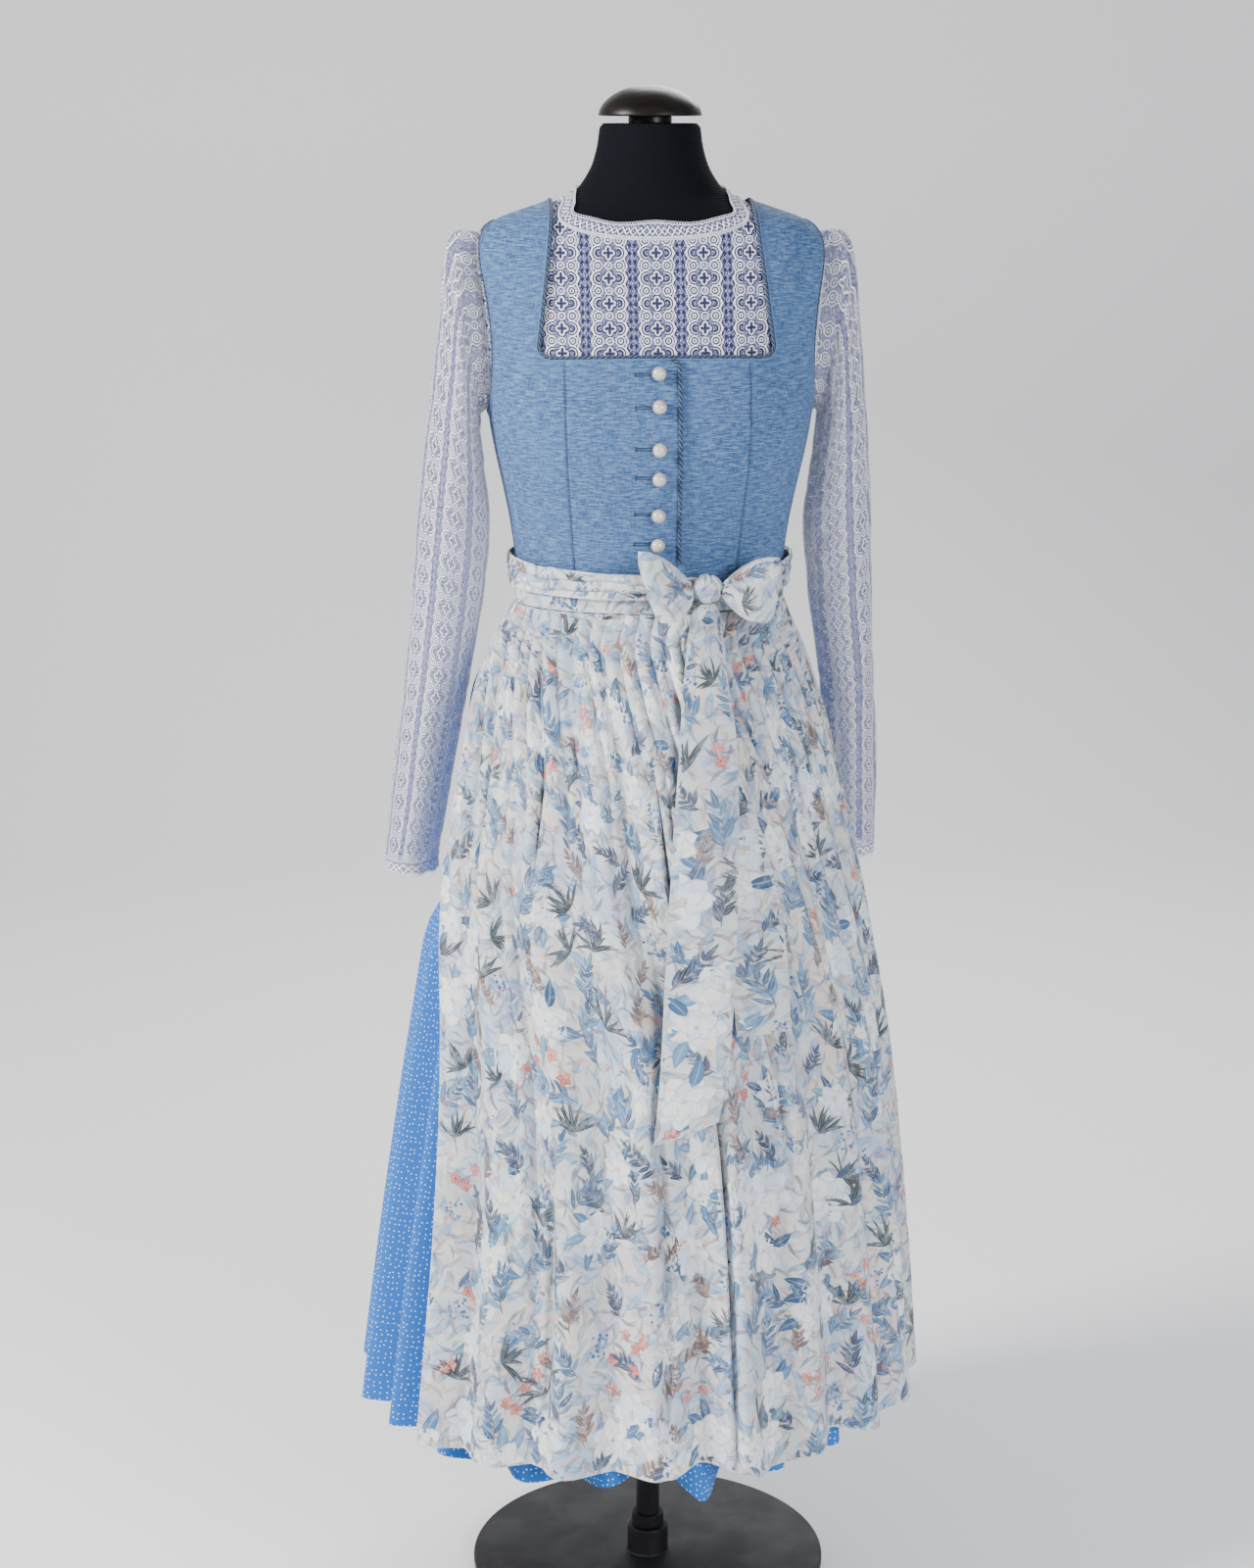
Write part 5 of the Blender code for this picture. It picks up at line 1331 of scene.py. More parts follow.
def make_form():
    """The jersey-covered torso and neck, its post and its lacquered cap."""
    turns = np.arange(112) * 2 * math.pi / 112
    rim = [FORM_TOP_Z - 1.5 * MM, FORM_TOP_Z - 0.4 * MM, FORM_TOP_Z]
    levels = np.concatenate([
        np.linspace(FORM_BOTTOM_Z, 1.40, 46), np.linspace(1.405, FORM_TOP_Z - 3.5 * MM, 50), rim])
    under = FORM_EASE * (1 - smooth(1.420, 1.450, levels))
    rings = torso_point(turns[None, :], levels[:, None], -under[:, None])
    rings[..., 2] = levels[:, None]
    places, faces = capped_rings(rings)
    places[-2:, :2] = 0.0
    settle(mesh_object("form_body", places, faces, None, finish("form"), 55), "form_cloth", "form_torso")
    high = POST_HEIGHT
    post = [
        (0, high), (0.0205, high), (0.0215, high - 0.7 * MM), (0.0215, 0.8 * MM), (0.0205, 0.0), (0, 0.0)]
    made = turned_solid("form_post", post, FORM_TOP_Z + SEAM_GAP, 48, finish("cap"))
    settle(made, "form_cap", "form_neck_post")
    dome = [(0.0, CAP_HEIGHT)]
    for k in range(1, 26):
        turn = math.pi / 2 * k / 26
        dome.append((CAP_RADIUS * math.sin(turn) ** 0.96, CAP_HEIGHT * math.cos(turn) ** 1.10))
    dome += [(0.0510, 0.0018), (CAP_RADIUS, 0.0008), (0.0498, 0.0), (0.045, 0.0), (0.0, 0.0)]
    z = FORM_TOP_Z + 2 * SEAM_GAP + POST_HEIGHT
    settle(turned_solid("form_dome", dome, z, 96, finish("cap")), "form_cap", "form_cap")


def make_stand():
    """The round foot plate, its boss and the pole."""
    boss = BASE_THICK + 0.030
    profile = round_corners([
        (0.000, boss), (0.022, boss), (0.022, BASE_THICK),
        (BASE_RADIUS, BASE_THICK), (BASE_RADIUS, 0.0), (0.000, 0.0),
    ], 2.5 * MM)
    settle(turned_solid("stand_plate", profile, 0.0, 128, finish("stand")), "stand_metal", "stand_base")
    low, high = boss + SEAM_GAP, FORM_BOTTOM_Z - SEAM_GAP
    tube = [(0, high - low), (POLE_RADIUS - 0.0008, high - low), (POLE_RADIUS, high - low - 0.0008),
            (POLE_RADIUS, 0.0008), (POLE_RADIUS - 0.0008, 0.0), (0, 0.0)]
    settle(turned_solid("stand_tube", tube, low, 48, finish("stand")), "stand_metal", "stand_pole")
    collar = [(0, 0.014), (0.0165, 0.014), (0.0172, 0.0132), (0.0172, 0.0008), (0.0165, 0.0), (0, 0.0)]
    settle(turned_solid("stand_collar", collar, boss + SEAM_GAP, 48, finish("stand")), "stand_metal")


def panel(inner, outer, last, rows, columns, lift, dips=()):
    """Points of a torso panel between two edges. A dip pulls a sewn edge in where the seam lies."""
    r = np.linspace(0, last, rows)
    (angle_a, z_a), (angle_b, z_b) = inner(r), outer(r)
    s = (1 - np.cos(np.linspace(0, math.pi, columns))) / 2
    angle = angle_a[:, None] + (angle_b - angle_a)[:, None] * s
    z = z_a[:, None] + (z_b - z_a)[:, None] * s
    lifts = np.full(z.shape, lift)
    width = np.linalg.norm(torso_point(angle[:, 0], z[:, 0]) - torso_point(angle[:, -1], z[:, -1]), axis=-1)
    for edge, upto in dips:
        off = width[:, None] * (s if edge == "inner" else 1 - s)
        fading = (1 - smooth(upto - 0.6, upto, r))[:, None]
        lifts = lifts - 0.75 * MM * np.exp(-((off / 0.0011) ** 2)) * fading
    return angle, z, lifts


def mirrored_grid(points):
    """The same grid on the other side of the figure, still facing out."""
    other = points[:, ::-1].copy()
    other[..., 0] *= -1
    return other


def torso_cloth(name, angle, z, lifts, thick, material, side=1, origin=0.0, table=()):
    """A torso panel with its creases, as cloth. Its UV map runs from the middle of the front or back."""
    points = torso_point(angle, z, lifts)
    lengths = run_lengths(points)
    if table:
        bend = creases(table, lengths, z)
        calm = smooth(0, 0.008, lengths) * smooth(0, 0.008, lengths[:, -1:] - lengths)
        points = points + torso_normal(angle, z) * (bend * calm)[..., None]
    across = origin + lengths
    uvs = np.stack([across, z], axis=-1)
    if side < 0:
        points = mirrored_grid(points)
        uvs = uvs[:, ::-1] * np.array([-1.0, 1.0])
    return shell(name, points, uvs, thick, finish(material))


def make_bodice():
    """Linen bodice: centre and side panels in front, centre back and side backs behind."""
    for word, side in (("right", -1), ("left", 1)):
        inner_x = CLOSING_X * side + SEAM_GAP / 2

        def closing(r):
            _, z = front_seam(r, -SEAM_GAP / 2)
            z = z + (neck_front_height(inner_x) - neck_front_height(SEAM_NECK_X)) * (z - WAIST_Z) / 0.25
            return angle_at(inner_x, z), z

        def seam(r):
            return front_seam(r, -SEAM_GAP / 2)

        grid = panel(closing, seam, 11, 60, 34, BODICE_LIFT, [("outer", 99)])
        made = torso_cloth("linen_centre_" + word, *grid, BODICE_THICK, "linen", side, inner_x)
        settle(made, "linen", "bodice_centre_" + word)
        declare_sheet(made)

        def inner(r):
            seam_angle, seam_z = front_seam(np.minimum(r, 11), SEAM_GAP / 2)
            strap_angle, strap_z = strap_edge(np.maximum(r - 11, 0))
            angle = np.where(r < 11, seam_angle, strap_angle + SEAM_TURN)
            return np.where(r > 19.999, -SEAM_TURN, angle), np.where(r < 11, seam_z, strap_z)

        def outer(r):
            hole_angle, hole_z = hole_edge(ARMHOLE, -90 + 15 * np.maximum(r - 8, 0))
            side_z = WAIST_Z + (ARMHOLE["bottom"] - WAIST_Z) * np.minimum(r, 8) / 8
            return np.where(r < 8, 0.0, hole_angle) - SEAM_TURN, np.where(r < 8, side_z, hole_z)

        grid = panel(inner, outer, 20, 125, 34, BODICE_LIFT, [("inner", 11), ("outer", 8)])
        made = torso_cloth("linen_side_" + word, *grid, BODICE_THICK, "linen", side, 0.09, BODICE_CREASES)
        settle(made, "linen", "bodice_side_" + word)
        declare_sheet(made)

    meet = -30
    end_angle, end_z = hole_edge(ARMHOLE, meet, back=True)
    start_angle = angle_at(0.040, WAIST_Z, back=True)

    def back_seam(r):
        t = np.minimum(r, 8) / 8
        return start_angle + (end_angle - start_angle) * t**2.2, WAIST_Z + (end_z - WAIST_Z) * t

    def middle(r):
        straight = WAIST_Z + (NECK_BACK_Z - WAIST_Z) * np.minimum(r, 9) / 9
        neck_angle, neck_z = back_neck_edge(np.clip((r - 9) / 7, 0, 1))
        angle = np.where(r < 9, BACK, neck_angle)
        return np.where(r > 15.999, SEAM_TURN, angle), np.where(r < 9, straight, neck_z)

    def back_outer(r):
        seam_angle, seam_z = back_seam(r)
        hole_angle, hole_z = hole_edge(ARMHOLE, meet + 15 * np.maximum(r - 8, 0), back=True)
        return np.where(r < 8, seam_angle, hole_angle) + SEAM_TURN, np.where(r < 8, seam_z, hole_z)

    angle, z, lifts = panel(middle, back_outer, 16, 113, 38, BODICE_LIFT, [("outer", 8)])
    half = torso_point(angle, z, lifts)
    half[:, 0, 0] = np.where(angle[:, 0] > BACK - 1e-6, 0.0, half[:, 0, 0])
    lengths = run_lengths(half)
    uv_half = np.stack([lengths, z], axis=-1)
    cut = 7 * 9
    full = np.concatenate([half[:, ::-1], mirrored_grid(half)[:, ::-1][:, 1:]], axis=1)
    uv_full = np.concatenate([uv_half[:, ::-1] * [-1, 1], uv_half[:, 1:]], axis=1)
    made = double_panel("linen_back_centre", full, uv_full, cut, BODICE_THICK, "linen")
    settle(made, "linen", "bodice_back_centre")
    declare_sheet(made)

    r = np.linspace(0, 8, 100)
    s = (1 - np.cos(np.linspace(0, math.pi, 36))) / 2
    (angle_a, z_a) = back_seam(r)
    angle = (angle_a - SEAM_TURN)[:, None] * (1 - s) + SEAM_TURN * s
    z = z_a[:, None] + ((WAIST_Z + (ARMHOLE["bottom"] - WAIST_Z) * r / 8) - z_a)[:, None] * s
    turn = -30 - 60 * s
    hole_angle, hole_z = hole_edge(ARMHOLE, turn, back=True)
    share = smooth(6.6, 8.0, r)[:, None]
    angle = angle * (1 - share) + (hole_angle + SEAM_TURN) * share
    angle[:, 0] = (angle_a - SEAM_TURN)
    z = z * (1 - share) + hole_z * share
    width = np.abs(angle[:, :1] - angle[:, -1:]) * 0.13
    grooves = np.exp(-((width * s / 0.0011) ** 2)), np.exp(-((width * (1 - s) / 0.0011) ** 2))
    lifts = BODICE_LIFT - 0.75 * MM * grooves[0] - 0.75 * MM * grooves[1]
    points = torso_point(angle, z, lifts)[:, ::-1]
    uvs = np.stack([0.1 + run_lengths(points), z[:, ::-1]], axis=-1)
    for word, side in (("right", -1), ("left", 1)):
        grid = points if side > 0 else mirrored_grid(points)
        flat = uvs if side > 0 else uvs[:, ::-1] * [-1, 1]
        made = shell("linen_back_" + word, grid, flat, BODICE_THICK, finish("linen"))
        settle(made, "linen", "bodice_back_" + word)
        declare_sheet(made)
    make_bodice_stitching()


def double_panel(name, points, uvs, cut, thick, material):
    """A symmetric panel in one piece up to a row, and in two halves above it, where the neckline parts them.

    The middle column holds the first half's neckline. The second half's is its mirror image.
    """
    rows, columns = points.shape[:2]
    middle = columns // 2
    normals = grid_normals(points)
    normals[: cut + 1, middle] = unit(normals[: cut + 1, middle] * [0, 1, 1])
    normals[cut + 1:, : middle + 1] = grid_normals(points[:, : middle + 1])[cut + 1:]
    normals[cut + 1:, middle + 1:] = normals[cut + 1:, :middle][:, ::-1] * [-1, 1, 1]
    outer = points + normals * thick
    places, faces, corners, index = [], [], [], {}

    def spot(r, c, side, half):
        parted = r > cut and c == middle and half == 1
        key = (r, c, side, parted)
        if key not in index:
            index[key] = len(places)
            places.append((outer if side else points)[r, c] * ([-1, 1, 1] if parted else 1))
        corners.append(uvs[r, c] * ([-1, 1] if parted else 1))
        return index[key]

    def face(half, *steps):
        faces.append([spot(r, c, side, half) for r, c, side in steps])

    end, last = columns - 1, rows - 1
    for c in range(end):
        half = 0 if c < middle else 1
        for r in range(last):
            face(half, (r, c, 1), (r, c + 1, 1), (r + 1, c + 1, 1), (r + 1, c, 1))
            face(half, (r + 1, c, 0), (r + 1, c + 1, 0), (r, c + 1, 0), (r, c, 0))
        face(half, (0, c, 0), (0, c + 1, 0), (0, c + 1, 1), (0, c, 1))
        face(half, (last, c, 1), (last, c + 1, 1), (last, c + 1, 0), (last, c, 0))
    for r in range(last):
        face(0, (r, 0, 0), (r, 0, 1), (r + 1, 0, 1), (r + 1, 0, 0))
        face(1, (r, end, 1), (r, end, 0), (r + 1, end, 0), (r + 1, end, 1))
        if r >= cut:
            face(1, (r, middle, 0), (r, middle, 1), (r + 1, middle, 1), (r + 1, middle, 0))
            face(0, (r, middle, 1), (r, middle, 0), (r + 1, middle, 0), (r + 1, middle, 1))
    made = mesh_object(name, places, faces, corners, finish(material))
    CLOTHS[name] = (outer, normals, uvs)
    return made


def torso_line(angle, z, lift):
    """Points and normals of a line on the torso."""
    return torso_point(angle, z, np.full(np.shape(angle), lift)), torso_normal(angle, z)


def flipped_line(line):
    """The same line mirrored to the other side."""
    places, facing = line
    return places * [-1, 1, 1], facing * [-1, 1, 1]


def make_bodice_stitching():
    """Fine stitches beside the shaped seams, and the worked buttonholes."""
    top = BODICE_LIFT + BODICE_THICK
    meshes = []
    r = np.linspace(0.1, 10.9, 120)
    line = torso_line(*front_seam(r, 1.4 * MM), top + 0.05 * MM)
    for run in (line, flipped_line(line)):
        meshes.append(stitches("seam", *run, 0.0026, (0.00018, 0.00030, 0.0010), "blue thread"))
    line = torso_line(*front_seam(r, 0.0), top - 0.45 * MM)
    for run in (line, flipped_line(line)):
        meshes.append(stitches("seam", *run, 0.0012, (0.0003, 0.0004, 0.0008), "blue thread"))
    for height in BUTTON_HEIGHTS:
        x = np.linspace(-0.0225, -0.0065, 30)
        for dz in (-1.1 * MM, 1.1 * MM):
            z = np.full(30, height + dz)
            run = torso_line(angle_at(x, z), z, top + 0.1 * MM)
            meshes.append(stitches("hole", *run, 0.00055, (0.00032, 0.00070, 0.00024), "blue thread"))
        z = np.linspace(height - 2.2 * MM, height + 2.2 * MM, 12)
        run = torso_line(angle_at(np.full(12, -0.0225), z), z, top + 0.15 * MM)
        meshes.append(stitches("bar", *run, 0.0005, (0.0003, 0.0009, 0.00024), "blue thread"))
    settle(joined("bodice_stitching", meshes), "linen")


def beside(angle, z, away, lift, closed=False):
    """Points beside an edge on the torso, in its surface, at a distance to the left of its run."""
    places, normals = torso_line(angle, z, lift)
    if closed:
        run = np.roll(places, -1, 0) - np.roll(places, 1, 0)
    else:
        run = np.gradient(places, axis=0)
    return places + unit(np.cross(normals, run)) * away, normals


def neck_run(away, lift):
    """The whole neckline of the bodice as a closed line."""
    x = np.linspace(0, SEAM_NECK_X, 60)[:-1]
    z = neck_front_height(x)
    strap = strap_edge(np.linspace(0, 9, 150))
    back = back_neck_edge(np.linspace(1, 0, 110)[1:])
    angle = np.concatenate([angle_at(x, z), strap[0], back[0]])
    height = np.concatenate([z, strap[1], back[1]])
    places, normals = beside(angle, height, away, lift)
    places[0, 0] = places[-1, 0] = 0.0
    other = places[1:-1][::-1] * [-1, 1, 1]
    facing = normals[1:-1][::-1] * [-1, 1, 1]
    return np.concatenate([places, other]), np.concatenate([normals, facing])


def hole_run(away, lift, side):
    """An armhole of the bodice as a closed line."""
    turn = np.linspace(-90, 90, 90)
    front = hole_edge(ARMHOLE, turn)
    back = hole_edge(ARMHOLE, turn[::-1][1:-1], back=True)
    angle, z = np.concatenate([front[0], back[0]]), np.concatenate([front[1], back[1]])
    places, normals = beside(angle, z, -away, lift, closed=True)
    return places * [side, 1, 1], normals * [side, 1, 1]


def make_piping():
    """Twisted two-tone piping round the neckline and armholes and down the closing edge."""
    lift = BODICE_LIFT + BODICE_THICK / 2 + 0.6 * MM
    away = PIPING_RADIUS + 0.5 * MM
    twisted_cord("piping_cord_neck", *neck_run(away, lift), PIPING_RADIUS, True, ["piping_neck"])
    edge_cord = {
        "Step": 0.003, "Lay Radius": 0.0, "Strand Radius": 0.0009, "Pitch": 1.0,
        "Material": finish("piping edge")}
    high = BODICE_LIFT + BODICE_THICK
    edges = [along_line("edge", twisted_cord_tree, *neck_run(-0.5 * MM, high), edge_cord, True)]
    for word, side in (("right", -1), ("left", 1)):
        twisted_cord("piping_cord_armhole_" + word, *hole_run(away, lift, side), PIPING_RADIUS, True,
                     ["piping_armhole_" + word])
        run = hole_run(-0.5 * MM, high, side)
        edges.append(along_line("edge", twisted_cord_tree, *run, edge_cord, True))
    settle(joined("piping_flange", edges), "linen")
    t = np.linspace(0, 1, 110)
    bend = 8 * MM
    z = CLOSING_BOTTOM_Z + (NECK_FRONT_Z - bend - 1.5 * MM - CLOSING_BOTTOM_Z) * t
    x = CLOSING_X + 1.2 * MM - 0.8 * MM * t
    turn = np.linspace(0, math.pi / 2, 14)[1:]
    z = np.concatenate([z, z[-1] + bend * np.sin(turn)])
    x = np.concatenate([x, x[-1] - bend + bend * np.cos(turn)])
    places, normals = torso_line(angle_at(x, z), z, high + PIPING_RADIUS + 0.5 * MM)
    twisted_cord("piping_cord_closing", places, normals, 1.2 * PIPING_RADIUS, False, ["piping_closing_edge"])


def make_buttons():
    """Half-round pearl buttons with a turned rim."""
    for number, z in enumerate(BUTTON_HEIGHTS, start=1):
        flatten = 0.82
        normal = torso_normal(FRONT, z)
        base = torso_point(FRONT, z, BODICE_LIFT + BODICE_THICK + 0.1 * MM)
        high = 2 * BUTTON_RADIUS * flatten
        profile = [(0.0, high)]
        for k in range(1, 15):
            turn = math.pi / 2 * k / 15
            profile.append((BUTTON_RADIUS * math.sin(turn), high * 0.42 + high * 0.58 * math.cos(turn)))
        profile += [
            (BUTTON_RADIUS, high * 0.40), (BUTTON_RADIUS * 0.985, high * 0.34),
            (BUTTON_RADIUS * 0.90, high * 0.27), (BUTTON_RADIUS * 0.62, high * 0.20),
            (BUTTON_RADIUS * 0.36, high * 0.16), (BUTTON_RADIUS * 0.34, 0.0), (0.0, 0.0)]
        made = turned_solid(f"pearl_button_{number}", profile, 0.0, 40, finish("pearl"))
        matrix = Vector(normal).to_track_quat("Z", "Y").to_matrix().to_4x4()
        matrix.translation = Vector(base)
        made.data.transform(matrix)
        settle(made, "pearl", f"button_{number}")


def make_blouse_body():
    """Front and back of the lace blouse."""
    for back in (False, True):
        facing = BACK if back else FRONT
        turn = SEAM_TURN if back else -SEAM_TURN
        heights = [BLOUSE_HEM_Z, 1.225, 1.249, 1.272, 1.325, 1.394, float(collar_base(facing))]

        def inner(r):
            angle = facing * (1 - 4 * np.clip(r - 6, 0, 7) / 28)
            z = np.where(r < 6, np.interp(r, range(7), heights), collar_base(angle))
            return np.where(r > 12.999, turn, angle), z

        def outer(r):
            side_z = BLOUSE_HEM_Z + (SLEEVE_HOLE["bottom"] - BLOUSE_HEM_Z) * np.minimum(r, 3) / 3
            hole_angle, hole_z = hole_edge(SLEEVE_HOLE, -90 + 18 * np.maximum(r - 3, 0), back)
            return np.where(r < 3, 0.0, hole_angle) + turn, np.where(r < 3, side_z, hole_z)

        r = np.linspace(0, 13, 105)
        s = np.linspace(0, 1, 37)
        (angle_a, z_a), (angle_b, z_b) = inner(r), outer(r)
        angle = angle_a[:, None] + (angle_b - angle_a)[:, None] * s
        z = z_a[:, None] + (z_b - z_a)[:, None] * s
        half = torso_point(angle, z, BLOUSE_LIFT)
        half[:, 0, 0] = np.where(np.abs(angle[:, 0] - facing) < 1e-6, 0.0, half[:, 0, 0])
        across = np.sign(half[..., 0]) * across_torso(angle, z, facing)
        uvs = np.stack([np.abs(across), z], axis=-1)
        if back:
            half, uvs = half[:, ::-1], uvs[:, ::-1]
            full = np.concatenate([half, mirrored_grid(half)[:, 1:]], axis=1)
            flat = np.concatenate([uvs, uvs[:, ::-1][:, 1:] * [-1, 1]], axis=1)
        else:
            full = np.concatenate([mirrored_grid(half), half[:, 1:]], axis=1)
            flat = np.concatenate([uvs[:, ::-1] * [-1, 1], uvs[:, 1:]], axis=1)
        cut = 8 * 6
        word = "back" if back else "front"
        made = double_panel("lace_" + word, full, flat, cut, LACE_THICK, "lace")
        settle(made, "lace", "blouse_" + word)
        declare_sheet(made)


def across_torso(angle, z, facing):
    """Distance round the torso from the middle of the front or back, at a fixed height."""
    reach = np.linspace(0, 1, 24)
    turns = facing + (angle - facing)[..., None] * reach
    points = torso_skin(turns, np.broadcast_to(z[..., None], turns.shape))
    return np.linalg.norm(np.diff(points, axis=-2), axis=-1).sum(axis=-1)


def make_collar():
    """The narrow lace collar with picots on its scalloped top edge, and the tape at its foot."""
    columns, rows = 336, 9
    turns = np.arange(columns) * 2 * math.pi / columns
    level = np.linspace(0, 1, rows)
    wave = -1.2 * MM * np.cos(COLLAR_WAVES * turns)
    start = collar_base(turns)
    waving = wave * smooth(0.4, 1.0, level)[:, None]
    distance = 4 * SEAM_GAP + (COLLAR_HEIGHT - 4 * SEAM_GAP) * level[:, None] + waving
    z = np.stack([up_the_neck(turns, start, row) for row in distance])
    angle = np.broadcast_to(turns, z.shape)
    points = torso_point(angle, z, BLOUSE_LIFT + 0.8 * MM * level[:, None])
    lengths = run_lengths(points[:1], closed=True)
    repeat = lengths[0, -1] / round(lengths[0, -1] / EDGING_REPEAT)
    flat = np.stack(
        np.broadcast_arrays(lengths * EDGING_REPEAT / repeat, distance.mean(axis=1)[:, None]), axis=-1)
    made = shell("lace_collar", points, flat, LACE_THICK, finish("edging"), closed=True)
    settle(made, "lace", "blouse_collar")
    outer, normals, _ = CLOTHS["lace_collar"]
    meshes = [picot_row(outer[-1] + [0, 0, 0.6 * MM], normals[-1], 0.0027)]
    heights = up_the_neck(turns, start, np.full(columns, 0.6 * MM))
    tape = torso_point(turns, heights, BLOUSE_LIFT + LACE_THICK + 0.4 * MM)
    facing = torso_normal(turns, start)
    for shift in (-0.9, 0.9):
        row = tape + [0, 0, shift * MM]
        meshes.append(stitches(
            "tape", row, facing, 0.0022, (0.0007, 0.0009, 0.0018), "white thread", True))
    trim = settle(joined("lace_collar_picots", meshes), "lace")
    declare_sheet(made)


def catmull(rings, steps):
    """Rings of points with smooth ones added between them."""
    rings = np.asarray(rings)
    padded = np.concatenate([rings[:1] * 2 - rings[1:2], rings, rings[-1:] * 2 - rings[-2:-1]])
    found = []
    for i in range(1, len(padded) - 2):
        a, b, c, d = padded[i - 1:i + 3]
        for k in range(steps):
            t = k / steps
            second = 2 * a - 5 * b + 4 * c - d
            third = 3 * b - a - 3 * c + d
            found.append(0.5 * (2 * b + (c - a) * t + second * t * t + third * t**3))
    found.append(rings[-1])
    return np.array(found)


def make_sleeves():
    """Long lace sleeves with creases at armhole and elbow, a seam tape at the top and a scalloped cuff."""
    columns = 96
    for word, table, side in (("right", SLEEVE_RIGHT, -1), ("left", SLEEVE_LEFT, 1)):
        turns = np.arange(columns) * 2 * math.pi / columns
        middle = (SLEEVE_HOLE["bottom"] + SLEEVE_HOLE["top"]) / 2
        half = (SLEEVE_HOLE["top"] - SLEEVE_HOLE["bottom"]) / 2 - 0.6 * MM
        lift = BLOUSE_LIFT + LACE_THICK + 0.5 * MM
        wide = (SLEEVE_HOLE["half_angle"] - 0.006) * np.sin(turns)
        rings = [torso_point(wide, middle + half * np.cos(turns), lift)]
        for inner_x, inner_z, outer_x, outer_z, set_back, half_depth in table:
            inner = np.array([inner_x, set_back, inner_z])
            outer = np.array([outer_x, set_back, outer_z])
            across = np.array([0.0, half_depth, 0.0])
            centre, reach = (inner + outer) / 2, (outer - inner) / 2
            rings.append(centre + reach * np.cos(turns)[:, None] + across * np.sin(turns)[:, None])
        grid = catmull(rings, 10)
        down = rise(grid)
        around = run_lengths(grid, closed=True)
        centred = around[:, :-1] - around[:, -1:] * (turns > math.pi)
        inwards = grid_normals(grid, closed=True)
        fade = smooth(0.0, 0.02, down)[:, None] * smooth(0.0, 0.03, down[-1] - down)[:, None]
        bend = creases(SLEEVE_CREASES, centred * (1 if side < 0 else -1), down[:, None]) * fade
        ripple = 0.5 * MM * np.sin(centred * 95 + 5 * np.sin(down[:, None] * 23)) * fade
        grid = grid - inwards * (bend + ripple)[..., None]
        grid[..., 0] *= side
        total = round(float(around[:, -1].mean()) / LACE_COLUMN) * LACE_COLUMN
        flat_u = around / around[:, -1:] * total
        flat = np.stack(np.broadcast_arrays(flat_u, -down[:, None]), axis=-1)
        if side > 0:
            grid = grid[:, ::-1]
            flat = flat[:, ::-1]
        made = shell(
            "lace_sleeve_" + word, grid, flat, LACE_THICK, finish("lace"), closed=True, outward=False)
        settle(made, "lace", "blouse_sleeve_" + word)
        edge = grid[-1]
        level = np.linspace(0, 1, 8)
        waves = 1.2 * MM * np.cos(10 * turns) * smooth(0.4, 1.0, level)[:, None]
        cuff = np.repeat(edge[None], 8, axis=0)
        cuff[..., 2] -= SEAM_GAP + CUFF_HEIGHT * level[:, None] + waves
        length = run_lengths(cuff[:1], closed=True)
        cuff_flat = np.stack(np.broadcast_arrays(
            length / length[0, -1] * 0.156, (0.0155 - 0.013 * level)[:, None]), axis=-1)
        trim = shell(
            "lace_cuff_" + word, cuff, cuff_flat, LACE_THICK, finish("edging"), closed=True, outward=False)
        settle(trim, "lace", "blouse_cuff_" + word)
        outer, normals, _ = CLOTHS["lace_cuff_" + word]
        sleeve, sleeve_normals, _ = CLOTHS["lace_sleeve_" + word]
        meshes = [picot_row(outer[-1] - [0, 0, 0.6 * MM], normals[-1], 0.0028)]
        for row, shift in ((0, 0.2 * MM), (len(sleeve) - 1, 0.2 * MM)):
            ring = sleeve[row] + sleeve_normals[row] * shift
            size = (0.0008, 0.0022 if row == 0 else 0.0009, 0.0010)
            meshes.append(
                stitches("tape", ring, sleeve_normals[row], 0.0016, size, "white thread", True))
        picots = settle(joined("lace_cuff_picots_" + word, meshes), "lace")
        declare_sheet(made)
        declare_sheet(trim)


